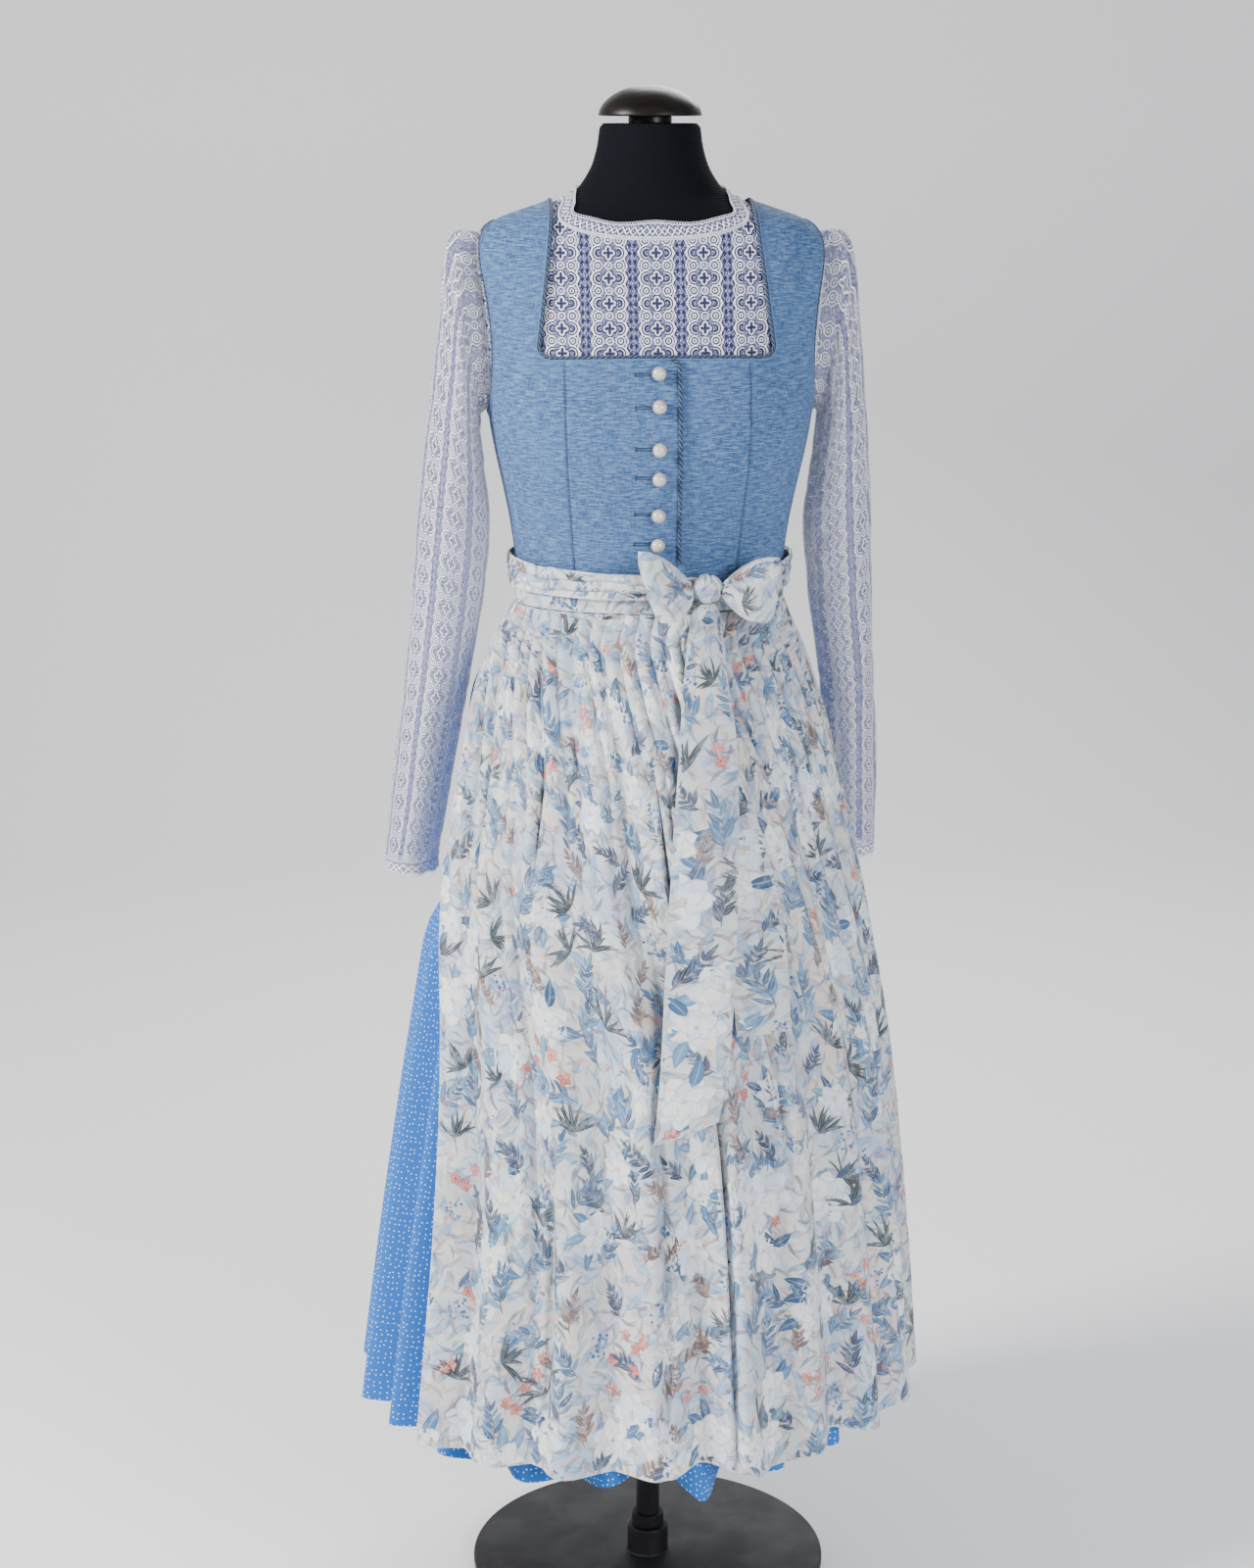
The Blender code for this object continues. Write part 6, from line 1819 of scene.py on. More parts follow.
def make_skirt():
    """The dotted skirt, gathered at the waist, in a front and a back."""
    gathers = [3 if crest in (-12, 168) else 2 for crest in SKIRT_CRESTS[:-1]]
    heights = [np.linspace(SKIRT_HEM_Z, 0.93, 34), np.linspace(0.945, WAIST_Z - SEAM_GAP, 20)]
    z = np.concatenate(heights)[:, None]
    seam = 2 * math.degrees(SEAM_TURN)
    for word, low, high in (("front", -180, 0), ("back", 0, 180)):
        hem = np.linspace(low + seam, high - seam, 270)[None, :]
        turn = np.where(hem >= SKIRT_CRESTS[0], hem, hem + 360)
        top = smooth(0.90, 1.05, z)
        wave = fold_wave(turn, SKIRT_CRESTS, gathers, top)
        right_edge, left_edge = APRON_EDGES.at(z)
        around = (turn + 180) % 360 - 180
        covered = (right_edge < around) & (around < left_edge)
        outside = np.where(covered, 0.0, np.minimum((around - left_edge) % 360, (right_edge - around) % 360))
        push = 6 * MM * smooth(8, 32, outside) * smooth(0.0, 0.12, 1.06 - z)
        beside_arm = 1 - smooth(18, 36, np.abs(turn % 360 - 170))
        dent = 17 * MM * beside_arm * smooth(0.70, 0.76, z) * (1 - smooth(0.87, 0.975, z))
        depth = FOLDS.at(z)[0]
        fading = smooth(0.80, 1.0, z) * smooth(0, 0.015, WAIST_Z - z)
        fine = 0.5 * MM * np.sin(turn * 1.9 + 2.0 * np.sin(turn * 0.31)) * fading
        points = hang_point(np.radians(turn), z, push - dent - 1.8 * MM - depth * (1 - wave) + fine)
        points[..., 2] -= hem_drop(SKIRT_DIPS, hem, z, SKIRT_HEM_Z, 0.50)
        lengths = run_lengths(points)
        flat_u = np.broadcast_to(lengths[0], lengths.shape)
        flat = np.stack([flat_u, np.broadcast_to(rise(points)[:, None], lengths.shape)], axis=-1)
        made = shell("cotton_skirt_" + word, points, flat, SKIRT_THICK, finish("skirt"), outward=False)
        settle(made, "skirt_cotton", "skirt_" + word)
        outer, normals, _ = CLOTHS["cotton_skirt_" + word]
        row = 4
        hem_line = outer[row] + normals[row] * 0.1 * MM
        thread = settle(joined("skirt_hem_stitches_" + word, [
            stitches("hem", hem_line, normals[row], 0.0035, (0.00022, 0.0003, 0.0012), "pale thread"),
        ]), "skirt_cotton")
        declare_sheet(made,
                      flat=(float(lengths[0, -1]), float(rise(points)[-1])))


def apron_points(share, z, lift=0.0):
    """Points on the apron's inner side: share runs from its right edge to its left edge."""
    right_edge, left_edge = APRON_EDGES.at(z)
    hem = APRON_CRESTS[0] + (APRON_CRESTS[-1] - APRON_CRESTS[0]) * share
    wave = fold_wave(hem, APRON_CRESTS, [3] * 9, smooth(0.80, 1.04, z))
    angle = np.radians(right_edge + (left_edge - right_edge) * share)
    calm = 0.55 + 0.45 * np.minimum(1.0, 2.2 * np.abs(np.sin(angle)))
    fading = smooth(0.60, 1.0, z) * smooth(0, 0.01, APRON_TOP_Z - z)
    fine = 0.45 * MM * np.sin(share * 190 + 3 * np.sin(share * 37)) * fading
    depth = FOLDS.at(z)[1]
    sharp = 1.45 * creases(APRON_CREASES, share, z) * smooth(0.0, 0.02, APRON_TOP_Z - z)
    fold = depth * wave * calm + sharp
    points = hang_point(angle, z, 1.3 * MM + np.clip(fold, 0, depth) + fine + lift)
    points[..., 2] -= hem_drop(APRON_DIPS, share, z, APRON_HEM_Z, 0.50)
    return points


def make_apron():
    """The printed apron, gathered into a straight waistband."""
    share = np.linspace(0, 1, 330)[None, :]
    z = np.concatenate([np.linspace(APRON_HEM_Z, 0.93, 53), np.linspace(0.941, APRON_TOP_Z, 27)])[:, None]
    points = apron_points(share, z)
    lengths = run_lengths(points)
    fullness = np.minimum(lengths[0, -1] / lengths[:, -1:], 1.35)
    flat_u = (lengths - lengths[:, -1:] / 2) * fullness
    flat = np.stack(np.broadcast_arrays(flat_u, rise(points)[:, None]), axis=-1)
    made = shell("satin_apron", points, flat, APRON_THICK, finish("apron"))
    settle(made, "apron_print", "apron_skirt")
    outer, normals, _ = CLOTHS["satin_apron"]
    row = int(np.argmin(np.abs(z[:, 0] - (APRON_HEM_Z + 0.050))))
    outer = outer + normals * 0.1 * MM
    stitch = 0.0032, (0.0002, 0.00028, 0.0011), "pale thread"
    meshes = [stitches("hem", outer[row], normals[row], *stitch)]
    for column in (5, 324):
        meshes.append(stitches("side", outer[:, column], normals[:, column], *stitch))
    thread = settle(joined("apron_hem_stitches", meshes), "apron_print")
    spacing = round(bpy.context.scene.dirndl_sizes.print_spacing, 6)
    printed = print_on("satin_apron", "apron_print_flowers", 11, spacing)
    declare_sheet(made,
                  flat=(float(lengths[0, -1]), float(rise(points)[-1])))

    angle = np.radians(np.linspace(-179, -2, 160))[None, :]
    z = np.linspace(BAND_BOTTOM_Z, BAND_TOP_Z, 14)[:, None]
    ripple = 0.3 * MM * np.sin(angle * 47 + 3 * np.sin(angle * 11)) * (1 - smooth(1.062, 1.085, z))
    points = torso_point(angle, z, 7.2 * MM + ripple)
    flat = np.stack(np.broadcast_arrays(run_lengths(points)[:1], (z - BAND_BOTTOM_Z)), axis=-1)
    band = shell("satin_waistband", points, flat, 1.6 * MM, finish("apron"))
    settle(band, "apron_print", "apron_waistband")
    printed = print_on("satin_waistband", "waistband_print", 23, spacing)
    declare_sheet(band)


def tie_points(start, end, columns, low, high, lift):
    """A tie wound round the waist, with soft folds along it."""
    t = np.linspace(0, 1, columns)[None, :]
    level = np.linspace(0, 1, 30)[:, None]
    angle = np.radians(start + (end - start) * t)
    bottom = low[0] + (low[1] - low[0]) * t
    top = high[0] + (high[1] - high[0]) * t
    phase = 2.6 * level + 0.45 * (1 - t) + 0.10 * np.sin(angle * 7) + 0.06 * np.sin(angle * 17)
    roll = phase - np.floor(phase)
    fold = 3.9 * np.sin(math.pi * roll**0.40) ** 0.8
    drift = 0.35 * np.sin(angle * 23 + level * 9) * np.sin(angle * 5)
    drifting = drift * smooth(0, 0.2, level)
    return torso_point(angle, bottom + (top - bottom) * level, lift + (fold + drifting) * MM)


def flat_strip(points):
    """The flat sizes of a strip of cloth."""
    lengths = run_lengths(points)
    return np.stack(np.broadcast_arrays(lengths.mean(axis=0)[None, :], rise(points)[:, None]), axis=-1)


def make_tie():
    """The apron's tie round the waist, in front and across the back."""
    lift = 9.7 * MM
    for name, node, run in (
        ("satin_tie_right", "tie_wrap_right", (-179, -68, 90, (1.0795, 1.0770), (1.1120, 1.0985), lift)),
        ("satin_tie_left", "tie_wrap_left", (-58, -1, 60, (1.0770, 1.0795), (1.0985, 1.1120), lift)),
        ("satin_tie_back", "tie_back",
         (-0.8, 180.8, 110, (1.0795, 1.0795), (1.1120, 1.1120), lift - 1 * MM)),
    ):
        points = tie_points(*run)
        made = shell(name, points, flat_strip(points), 1.5 * MM, finish("apron"))
        settle(made, "apron_print", node)
        printed = print_on(name, name.replace("satin", "print"), len(name) + 5, 0.025)
        declare_sheet(made)


def loop_points(knot, end_high, end_low, depth, columns, across):
    """A bow loop: out along the front, round its outer end and back behind, wide at the end."""
    low, high, knot = np.array(end_low), np.array(end_high), np.array(knot)
    turn = 2 * math.pi * (0.035 + 0.93 * np.linspace(0, 1, columns))
    side = np.linspace(-1, 1, across)[None, :]
    turn = turn[:, None]
    reach = (1 - np.cos(turn)) / 2
    wide = 0.17 + 0.83 * (1 - (1 - reach) ** 2.4)
    rounded = reach * (1 - 0.10 * side**4)
    centre = (low + high) / 2
    spot = knot + (centre - knot) * rounded[..., None] + (high - low) / 2 * (side * wide)[..., None]
    fanned = 1.9 * MM * np.cos(side * 6.5 + 0.9) * (1 - 0.75 * reach)
    pleats = fanned + 1.0 * MM * np.cos(side * 3 + 5 * reach)
    belly = depth * np.sin(turn) * (1 - 0.30 * side**2)
    return spot + point(0, -belly - pleats, 0)


def tail_points(table, rows, columns):
    """The grid of points of one hanging tail of the bow."""
    table = np.array(table)
    smoothed = catmull(table[:, None, :], rows)[:, 0]
    t = np.linspace(0, 1, columns)[None, :]
    z = smoothed[:, :1] + (smoothed[:, 2:3] - smoothed[:, :1]) * t
    x = smoothed[:, 1:2] + (smoothed[:, 3:4] - smoothed[:, 1:2]) * t
    bow = 1.5 * MM * np.sin(math.pi * t)
    y = apron_front_y(x, z, smoothed[:, 4:5] + bow)
    return point(x, y, z)[::-1]


def make_bow():
    """The bow: a knot, two loops and two hanging tails with slanted ends."""
    for name, node, run in (
        ("satin_loop_right", "bow_loop_right",
         ((0.0331, -0.1160, 1.0890), (-0.0240, -0.1320, 1.1290), (-0.0030, -0.1330, 1.0600), 0.0095)),
        ("satin_loop_left", "bow_loop_left",
         ((0.0629, -0.1160, 1.0890), (0.1240, -0.1050, 1.1170), (0.1110, -0.1230, 1.0560), 0.0090)),
    ):
        points = loop_points(*run, 90, 28)
        if name == "satin_loop_left":
            points = points[:, ::-1]
        made = shell(name, points, flat_strip(points), 1.4 * MM, finish("apron"))
        settle(made, "apron_print", node)
        printed = print_on(name, name.replace("satin", "print"), len(node) + 3, 0.031)
        declare_sheet(made)
    turns = np.linspace(0, 2 * math.pi, 49)[:-1]
    levels = np.linspace(-math.pi / 2, math.pi / 2, 30)[1:-1]
    wide = np.cos(levels)[:, None]
    ring = point(np.cos(turns) * wide, np.sin(turns) * wide, np.sin(levels)[:, None])
    groove = 1.02 - 0.15 * (1 - np.abs(np.sin(3.4 * ring[..., 0] + 2.0 * ring[..., 2] + 0.5))) ** 3
    ring = ring * groove[..., None] * np.array([0.0152, 0.0116, 0.0145])
    ends = [[0, 0, -0.0143], [0, 0, 0.0143]]
    places = np.concatenate([ring.reshape(-1, 3), ends]) + [0.0480, -0.1150, 1.0888]
    faces, corners = [], []
    rows, columns = ring.shape[:2]
    for r in range(rows - 1):
        for c in range(columns):
            d = (c + 1) % columns
            faces.append([r * columns + c, r * columns + d, (r + 1) * columns + d, (r + 1) * columns + c])
            corners += [(u * 0.002, v * 0.0015) for u, v in ((c, r), (c + 1, r), (c + 1, r + 1), (c, r + 1))]
    low, high = rows * columns, rows * columns + 1
    for c in range(columns):
        d = (c + 1) % columns
        faces.append([d, c, low])
        faces.append([(rows - 1) * columns + c, (rows - 1) * columns + d, high])
        corners += [((c + 1) * 0.002, 0), (c * 0.002, 0), (c * 0.002, 0)]
        corners += [(c * 0.002, 0.04), ((c + 1) * 0.002, 0.04), (c * 0.002, 0.04)]
    made = mesh_object("satin_knot", places, faces, corners, finish("apron"), None)
    settle(made, "apron_print", "bow_knot")
    for word, table, columns in (("long", LONG_TAIL, 30), ("short", SHORT_TAIL, 26)):
        points = tail_points(table, 14, columns)
        made = shell("satin_tail_" + word, points, flat_strip(points), 1.3 * MM, finish("apron"))
        settle(made, "apron_print", "bow_tail_" + word)
        printed = print_on("satin_tail_" + word, "print_tail_" + word, 31 + columns, 0.042)
        declare_sheet(made)


# Inks of the print, pale to dark
INKS = {
    "leaf": [shade(62, 110, 154), shade(48, 92, 136), shade(92, 138, 176), shade(40, 76, 116)],
    "deep": [shade(32, 56, 94), shade(24, 40, 68), shade(44, 72, 108)],
    "teal": [shade(34, 48, 60), shade(52, 68, 78), shade(26, 36, 48)],
    "rose": [shade(226, 232, 238), shade(210, 220, 230), shade(234, 232, 226)],
    "heart": [shade(206, 192, 178), shade(190, 178, 168)],
    "coral": [shade(206, 124, 110), shade(218, 150, 136), shade(186, 100, 90)],
    "brown": [shade(116, 84, 76), shade(146, 116, 100), shade(88, 66, 66)],
    "berry": [shade(64, 104, 172), shade(92, 130, 190), shade(48, 80, 146)],
}


class Print:
    """Painted shapes in the flat sizes of a cloth, in metres, before they are laid on it."""

    def __init__(self, seed):
        self.pick = random.Random(seed)
        self.flat, self.local, self.ink, self.layer, self.faces = [], [], [], [], []
        self.depth = 0

    def ink_of(self, kind):
        """One ink of a kind, picked at random."""
        return self.pick.choice(INKS[kind])

    def next_layer(self):
        """The next of sixteen thin layers, so that overlapping shapes do not meet."""
        self.depth = (self.depth + 1) % 16
        return self.depth

    def leaf(self, x, y, turn, length, width, ink, bend=0.0, blunt=0.0):
        """A leaf or petal along a bent midrib, from its base."""
        start = len(self.flat)
        layer = self.next_layer()
        steps = max(4, int(length / 0.0042))
        for k in range(steps + 1):
            t = k / steps
            away = turn + bend * t
            px = x + length * t * math.cos(turn + bend * t / 2)
            py = y + length * t * math.sin(turn + bend * t / 2)
            shape = math.sin(math.pi * min(1.0, t ** (0.75 - 0.25 * blunt))) ** (0.9 - 0.45 * blunt)
            half = width / 2 * max(shape, 0.04 if t in (0, 1) else 0.0)
            for s in (-1, 0, 1):
                self.flat.append((px - s * half * math.sin(away), py + s * half * math.cos(away)))
                self.local.append((s, t))
                self.ink.append(ink)
                self.layer.append(layer)
        for k in range(steps):
            a = start + 3 * k
            self.faces.append((a, a + 3, a + 4, a + 1))
            self.faces.append((a + 1, a + 4, a + 5, a + 2))

    def stem(self, x, y, turn, length, bend, ink, width=0.0010):
        """A thin bent stem, and the places along it with their directions."""
        self.leaf(x, y, turn, length, width, ink, bend, 1.0)
        found = []
        for t in np.linspace(0.15, 1.0, 6):
            way = turn + bend * t / 2
            found.append((x + length * t * math.cos(way), y + length * t * math.sin(way), turn + bend * t))
        return found

    def dot(self, x, y, radius, ink):
        """A small round dot."""
        start = len(self.flat)
        layer = self.next_layer()
        for k in range(7):
            turn = 2 * math.pi * k / 7
            self.flat.append((x + radius * math.cos(turn), y + radius * math.sin(turn)))
            self.local.append((0.9, 0.5))
            self.ink.append(ink)
            self.layer.append(layer)
        self.flat.append((x, y))
        self.local.append((0.3, 0.5))
        self.ink.append(ink)
        self.layer.append(layer)
        for k in range(7):
            self.faces.append((start + k, start + (k + 1) % 7, start + 7))

    def spray(self, x, y, turn, size, kind="leaf"):
        """A stem with pairs of slender leaves."""
        p = self.pick
        places = self.stem(x, y, turn, size, p.uniform(-0.7, 0.7), self.ink_of("brown"))
        for i, (px, py, way) in enumerate(places):
            for side in (-1, 1):
                if i == 0 and side < 0:
                    continue
                length = size * p.uniform(0.40, 0.62) * (1 - 0.07 * i)
                self.leaf(px, py, way + side * p.uniform(0.5, 0.95), length, length * p.uniform(0.22, 0.32),
                          self.ink_of(kind), side * p.uniform(-0.4, 0.2))
        px, py, way = places[-1]
        self.leaf(px, py, way, size * 0.5, size * 0.13, self.ink_of(kind))

    def spiky(self, x, y, turn, size):
        """A tuft of narrow dark leaves."""
        p = self.pick
        for k in range(p.randint(9, 13)):
            way = turn + p.uniform(-1.35, 1.35)
            self.leaf(x, y, way, size * p.uniform(0.55, 1.0), size * p.uniform(0.07, 0.13),
                      self.ink_of("teal"), p.uniform(-0.7, 0.7))

    def rose(self, x, y, size):
        """Layers of pale petals round a warm heart."""
        p = self.pick
        for count, reach, wide in ((7, 1.0, 0.80), (6, 0.72, 0.62), (5, 0.46, 0.44)):
            first = p.uniform(0, 6.28)
            for k in range(count):
                way = first + 2 * math.pi * k / count + p.uniform(-0.15, 0.15)
                start = size * 0.06 * reach
                self.leaf(x + start * math.cos(way), y + start * math.sin(way), way, size * 0.5 * reach,
                          size * wide * 0.62, self.ink_of("rose"), p.uniform(-0.2, 0.2), 1.0)
        for k in range(4):
            way = p.uniform(0, 6.28)
            self.leaf(x, y, way, size * 0.16, size * 0.13, self.ink_of("heart"), 0.3, 0.8)

    def blossom(self, x, y, size):
        """A few small coral flowers on thin dark stems."""
        p = self.pick
        for k in range(p.randint(2, 4)):
            way = p.uniform(0, 6.28)
            cx, cy = x + size * 0.5 * math.cos(way), y + size * 0.5 * math.sin(way)
            self.stem(x, y - size * 0.2, way, size * 0.5, 0.4, self.ink_of("brown"), 0.0008)
            first = p.uniform(0, 6.28)
            for petal in range(5):
                turn = first + 2 * math.pi * petal / 5
                self.leaf(cx, cy, turn, size * 0.30, size * 0.22, self.ink_of("coral"), 0.2, 0.8)
            self.dot(cx, cy, size * 0.045, self.ink_of("brown"))

    def berries(self, x, y, size):
        """A loose cluster of berries."""
        p = self.pick
        for k in range(p.randint(14, 22)):
            way, reach = p.uniform(0, 6.28), size * 0.5 * math.sqrt(p.random())
            ahead, up = x + reach * math.cos(way), y + reach * 1.2 * math.sin(way)
            self.dot(ahead, up, size * p.uniform(0.045, 0.085), self.ink_of("berry"))

    def scatter(self, width, height, spacing):
        """Fills a rectangle with motifs in offset rows."""
        p = self.pick
        rows = int(height / (spacing * 0.86)) + 2
        columns = int(width / spacing) + 2
        motifs = []
        for row in range(rows):
            for column in range(columns):
                x = -width / 2 + (column + 0.5 * (row % 2)) * spacing + p.uniform(-0.22, 0.22) * spacing
                y = row * spacing * 0.86 + p.uniform(-0.22, 0.22) * spacing
                motifs.append((x, y))
        p.shuffle(motifs)
        unit_size = spacing / 0.036
        for x, y in motifs:
            kind = p.random()
            up = math.pi / 2 + p.uniform(-1.3, 1.3)
            if kind < 0.30:
                self.spray(x, y - 0.01, up, p.uniform(0.026, 0.040) * unit_size)
            elif kind < 0.42:
                self.spray(x, y - 0.01, up, p.uniform(0.022, 0.034) * unit_size, "deep")
            elif kind < 0.54:
                self.spiky(x, y, up, p.uniform(0.024, 0.038) * unit_size)
            elif kind < 0.71:
                size = p.uniform(0.030, 0.046) * unit_size
                for k in range(3):
                    way = p.uniform(0, 6.28)
                    foot = x + size * 0.3 * math.cos(way), y + size * 0.3 * math.sin(way)
                    self.leaf(*foot, way, size * 0.6, size * 0.24, self.ink_of("leaf"), 0.3)
                self.rose(x, y, size)
            elif kind < 0.80:
                self.blossom(x, y, p.uniform(0.019, 0.027) * unit_size)
            elif kind < 0.90:
                self.berries(x, y, p.uniform(0.016, 0.024) * unit_size)
            else:
                self.spray(x, y, up, p.uniform(0.020, 0.030) * unit_size, "brown")


def on_cloth(cloth, u, v, margin=0.0012):
    """Places and directions on a cloth for flat sizes, and which of them lie on it."""
    points, normals, uvs = cloth
    rows, columns = points.shape[:2]
    heights = uvs[:, 0, 1]
    row = np.interp(v, heights, np.arange(rows))
    low = np.minimum(row.astype(int), rows - 2)
    part = row - low
    inside = (v > heights[0] + margin) & (v < heights[-1] - margin)
    column = np.zeros_like(u)
    index = np.arange(columns)
    for k in np.unique(low):
        pick = low == k
        first = np.interp(u[pick], uvs[k, :, 0], index)
        second = np.interp(u[pick], uvs[k + 1, :, 0], index)
        column[pick] = first * (1 - part[pick]) + second * part[pick]
        left = max(uvs[k, 0, 0], uvs[k + 1, 0, 0]) + margin
        right = min(uvs[k, -1, 0], uvs[k + 1, -1, 0]) - margin
        inside[pick] &= (u[pick] > left) & (u[pick] < right)
    near = np.minimum(column.astype(int), columns - 2)
    across = (column - near)[:, None]
    up = part[:, None]

    def blend(grid):
        bottom = grid[low, near] * (1 - across) + grid[low, near + 1] * across
        top = grid[low + 1, near] * (1 - across) + grid[low + 1, near + 1] * across
        return bottom * (1 - up) + top * up

    return blend(points), unit(blend(normals)), inside


def print_on(cloth_name, name, seed, spacing):
    """Lays a printed pattern on a cloth, a hair above it, and trims it at the edges."""
    cloth = CLOTHS[cloth_name]
    uvs = cloth[2]
    middle = (uvs[..., 0].max() + uvs[..., 0].min()) / 2
    design = Print(seed)
    design.scatter(float(np.ptp(uvs[..., 0])), float(np.ptp(uvs[..., 1])), spacing)
    flat = np.array(design.flat)
    places, normals, inside = on_cloth(cloth, flat[:, 0] + middle, flat[:, 1] + uvs[:, 0, 1].min())
    layer = np.array(design.layer)[:, None]
    places = places + normals * (0.24 + 0.014 * layer) * MM
    local, ink = np.array(design.local), np.array(design.ink)
    kept = [face for face in design.faces if all(inside[i] for i in face)]
    used = sorted({i for face in kept for i in face})
    renumber = {old: new for new, old in enumerate(used)}
    faces = [[renumber[i] for i in face] for face in kept]
    corner = np.array([used[i] for face in faces for i in face])
    made = mesh_object(name, places[used], faces, local[corner], finish("ink"), None)
    attribute = made.data.color_attributes.new("ink", "FLOAT_COLOR", "POINT")
    inks = np.concatenate([ink[used], np.ones((len(used), 1))], axis=1)
    attribute.data.foreach_set("color", inks.astype(np.float32).ravel())
    return settle(made, "apron_print")


def make_stage():
    """A pale floor, soft studio light and the camera at the photograph's viewing angle."""
    profile = [(-9.0, 0.0), (3.0, 0.0)]
    for k in range(1, 13):
        turn = math.pi / 2 * k / 12
        profile.append((3.0 + 1.5 * math.sin(turn), 1.5 - 1.5 * math.cos(turn)))
    profile.append((4.5, 5.0))
    places = [(x, y, z - 0.0005) for y, z in profile for x in (-9.0, 9.0)]
    faces = [(2 * i, 2 * i + 1, 2 * i + 3, 2 * i + 2) for i in range(len(profile) - 1)]
    mesh_object("studio_floor", places, faces, None, finish("floor"), None)
    world = bpy.data.worlds.new("studio")
    bpy.context.scene.world = world
    world.use_nodes = True
    background = world.node_tree.nodes["Background"]
    background.inputs["Color"].default_value = (0.93, 0.96, 1.0, 1.0)
    background.inputs["Strength"].default_value = 0.36
    for name, place, size, power, tint in (
        ("key", (-3.0, -1.25, 2.5), 1.0, 255.0, (1.0, 0.98, 0.95)),
        ("fill", (1.9, -3.2, 1.8), 1.6, 122.0, (0.95, 0.97, 1.0)),
        ("back", (0.8, 2.6, 3.0), 1.8, 80.0, (1.0, 1.0, 1.0)),
    ):
        lamp = bpy.data.lights.new(name + "_light", "AREA")
        lamp.energy = power
        lamp.size = size
        lamp.color = tint
        light = linked(name + "_light", lamp)
        light.location = place
        light.rotation_euler = (LIT_POINT - Vector(place)).to_track_quat("-Z", "Y").to_euler()
    lens = bpy.data.cameras.new("photo_camera")
    lens.lens = 68.625
    lens.sensor_width = 36.0
    camera = linked("photo_camera", lens)
    camera.location = (-0.2318, -2.9911, 1.56)
    camera.rotation_euler = (math.radians(77), 0.0, math.radians(-4))
    bpy.context.scene.camera = camera


class DirndlSizes(bpy.types.PropertyGroup):
    """Sizes of trimmings and print."""

    piping_pitch: FloatProperty(
        name="Piping Pitch", description="Length of one full twist of the piping", default=0.011,
        unit="LENGTH")
    print_spacing: FloatProperty(
        name="Print Spacing", description="Distance between the motifs of the apron's print", default=0.040,
        unit="LENGTH")


class DirndlColours(bpy.types.PropertyGroup):
    """Main colours of the cloths."""

    linen: FloatVectorProperty(
        name="Linen", description="Light threads of the bodice", subtype="COLOR",
        default=shade(80, 111, 152))
    linen_shade: FloatVectorProperty(
        name="Linen Shade", description="Dark threads of the bodice", subtype="COLOR",
        default=shade(44, 70, 112))
    lace_cord: FloatVectorProperty(
        name="Lace Cord", description="Raised cord of the lace", subtype="COLOR",
        default=shade(248, 248, 255))
    lace_net: FloatVectorProperty(
        name="Lace Net", description="Net between the cords", subtype="COLOR", default=shade(138, 144, 206))
    skirt: FloatVectorProperty(
        name="Skirt", description="Ground of the skirt", subtype="COLOR", default=shade(42, 110, 192))
    apron: FloatVectorProperty(
        name="Apron", description="Ground of the apron", subtype="COLOR", default=shade(206, 212, 212))


class DIRNDL_OT_stage(bpy.types.Operator):
    """Make the floor, the lights and the camera"""

    bl_idname = "dirndl.stage"
    bl_label = "Stage"

    def execute(self, context):
        make_stage()
        return {"FINISHED"}


class DIRNDL_OT_form(bpy.types.Operator):
    """Make the dress form and its stand"""

    bl_idname = "dirndl.form"
    bl_label = "Dress Form"

    def execute(self, context):
        make_form()
        make_stand()
        return {"FINISHED"}


class DIRNDL_OT_blouse(bpy.types.Operator):
    """Make the lace blouse"""

    bl_idname = "dirndl.blouse"
    bl_label = "Lace Blouse"

    def execute(self, context):
        make_blouse_body()
        make_collar()
        make_sleeves()
        return {"FINISHED"}


class DIRNDL_OT_bodice(bpy.types.Operator):
    """Make the bodice panels and their stitching"""

    bl_idname = "dirndl.bodice"
    bl_label = "Linen Bodice"

    def execute(self, context):
        make_bodice()
        return {"FINISHED"}


class DIRNDL_OT_piping(bpy.types.Operator):
    """Make the twisted piping"""

    bl_idname = "dirndl.piping"
    bl_label = "Piping"

    def execute(self, context):
        make_piping()
        return {"FINISHED"}


class DIRNDL_OT_buttons(bpy.types.Operator):
    """Make the pearl buttons"""

    bl_idname = "dirndl.buttons"
    bl_label = "Buttons"

    def execute(self, context):
        make_buttons()
        return {"FINISHED"}


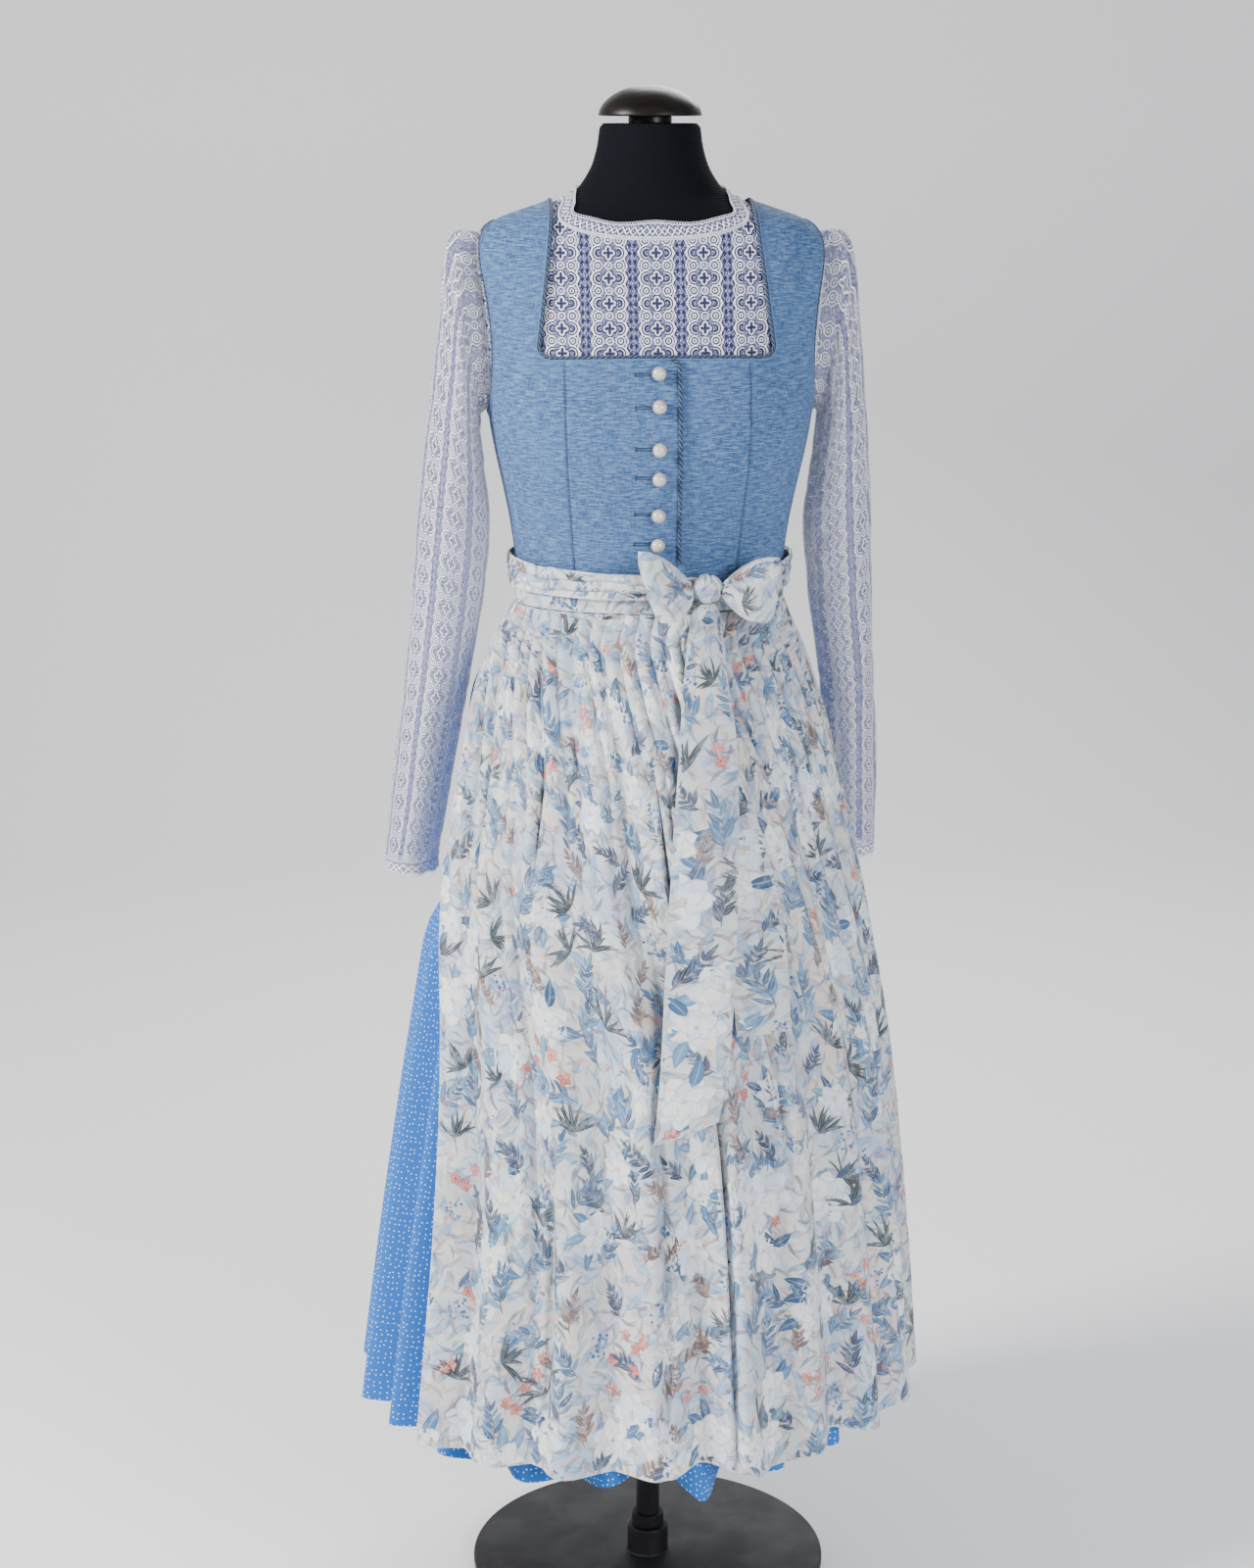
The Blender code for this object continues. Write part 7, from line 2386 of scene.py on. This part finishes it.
class DIRNDL_OT_skirt(bpy.types.Operator):
    """Make the gathered skirt"""

    bl_idname = "dirndl.skirt"
    bl_label = "Skirt"

    def execute(self, context):
        make_skirt()
        return {"FINISHED"}


class DIRNDL_OT_apron(bpy.types.Operator):
    """Make the apron with its print and waistband"""

    bl_idname = "dirndl.apron"
    bl_label = "Apron"

    def execute(self, context):
        make_apron()
        return {"FINISHED"}


class DIRNDL_OT_bow(bpy.types.Operator):
    """Make the tie, knot, loops and tails"""

    bl_idname = "dirndl.bow"
    bl_label = "Tie and Bow"

    def execute(self, context):
        make_tie()
        make_bow()
        return {"FINISHED"}


# In the order in which the pieces are made
OPERATORS = [
    DIRNDL_OT_stage, DIRNDL_OT_form, DIRNDL_OT_blouse, DIRNDL_OT_bodice, DIRNDL_OT_piping,
    DIRNDL_OT_buttons, DIRNDL_OT_skirt, DIRNDL_OT_apron, DIRNDL_OT_bow,
]


class DIRNDL_PT_panel(bpy.types.Panel):
    """Lists the building steps."""

    bl_idname = "DIRNDL_PT_panel"
    bl_label = "Dirndl"
    bl_space_type = "VIEW_3D"
    bl_region_type = "UI"
    bl_category = "Dirndl"

    def draw(self, context):
        """Draws the settings and a button for each operator."""
        for operator in OPERATORS:
            self.layout.operator(operator.bl_idname)
        for group_name in ("dirndl_sizes", "dirndl_colours"):
            values = getattr(context.scene, group_name)
            for key in values.bl_rna.properties.keys():
                if key not in ("rna_type", "name"):
                    self.layout.prop(values, key)


CLASSES = [DirndlSizes, DirndlColours, *OPERATORS, DIRNDL_PT_panel]


def register():
    """Registers the classes and hangs the sizes and looks on the scene."""
    for cls in CLASSES:
        bpy.utils.register_class(cls)
    bpy.types.Scene.dirndl_sizes = PointerProperty(type=DirndlSizes)
    bpy.types.Scene.dirndl_colours = PointerProperty(type=DirndlColours)


def unregister():
    """Takes the classes and settings away again."""
    del bpy.types.Scene.dirndl_colours
    del bpy.types.Scene.dirndl_sizes
    for cls in reversed(CLASSES):
        bpy.utils.unregister_class(cls)


def main():
    """Builds everything in order."""
    register()
    for operator in OPERATORS:
        getattr(bpy.ops.dirndl, operator.bl_idname.split(".")[1])()


if __name__ == "__main__":
    main()
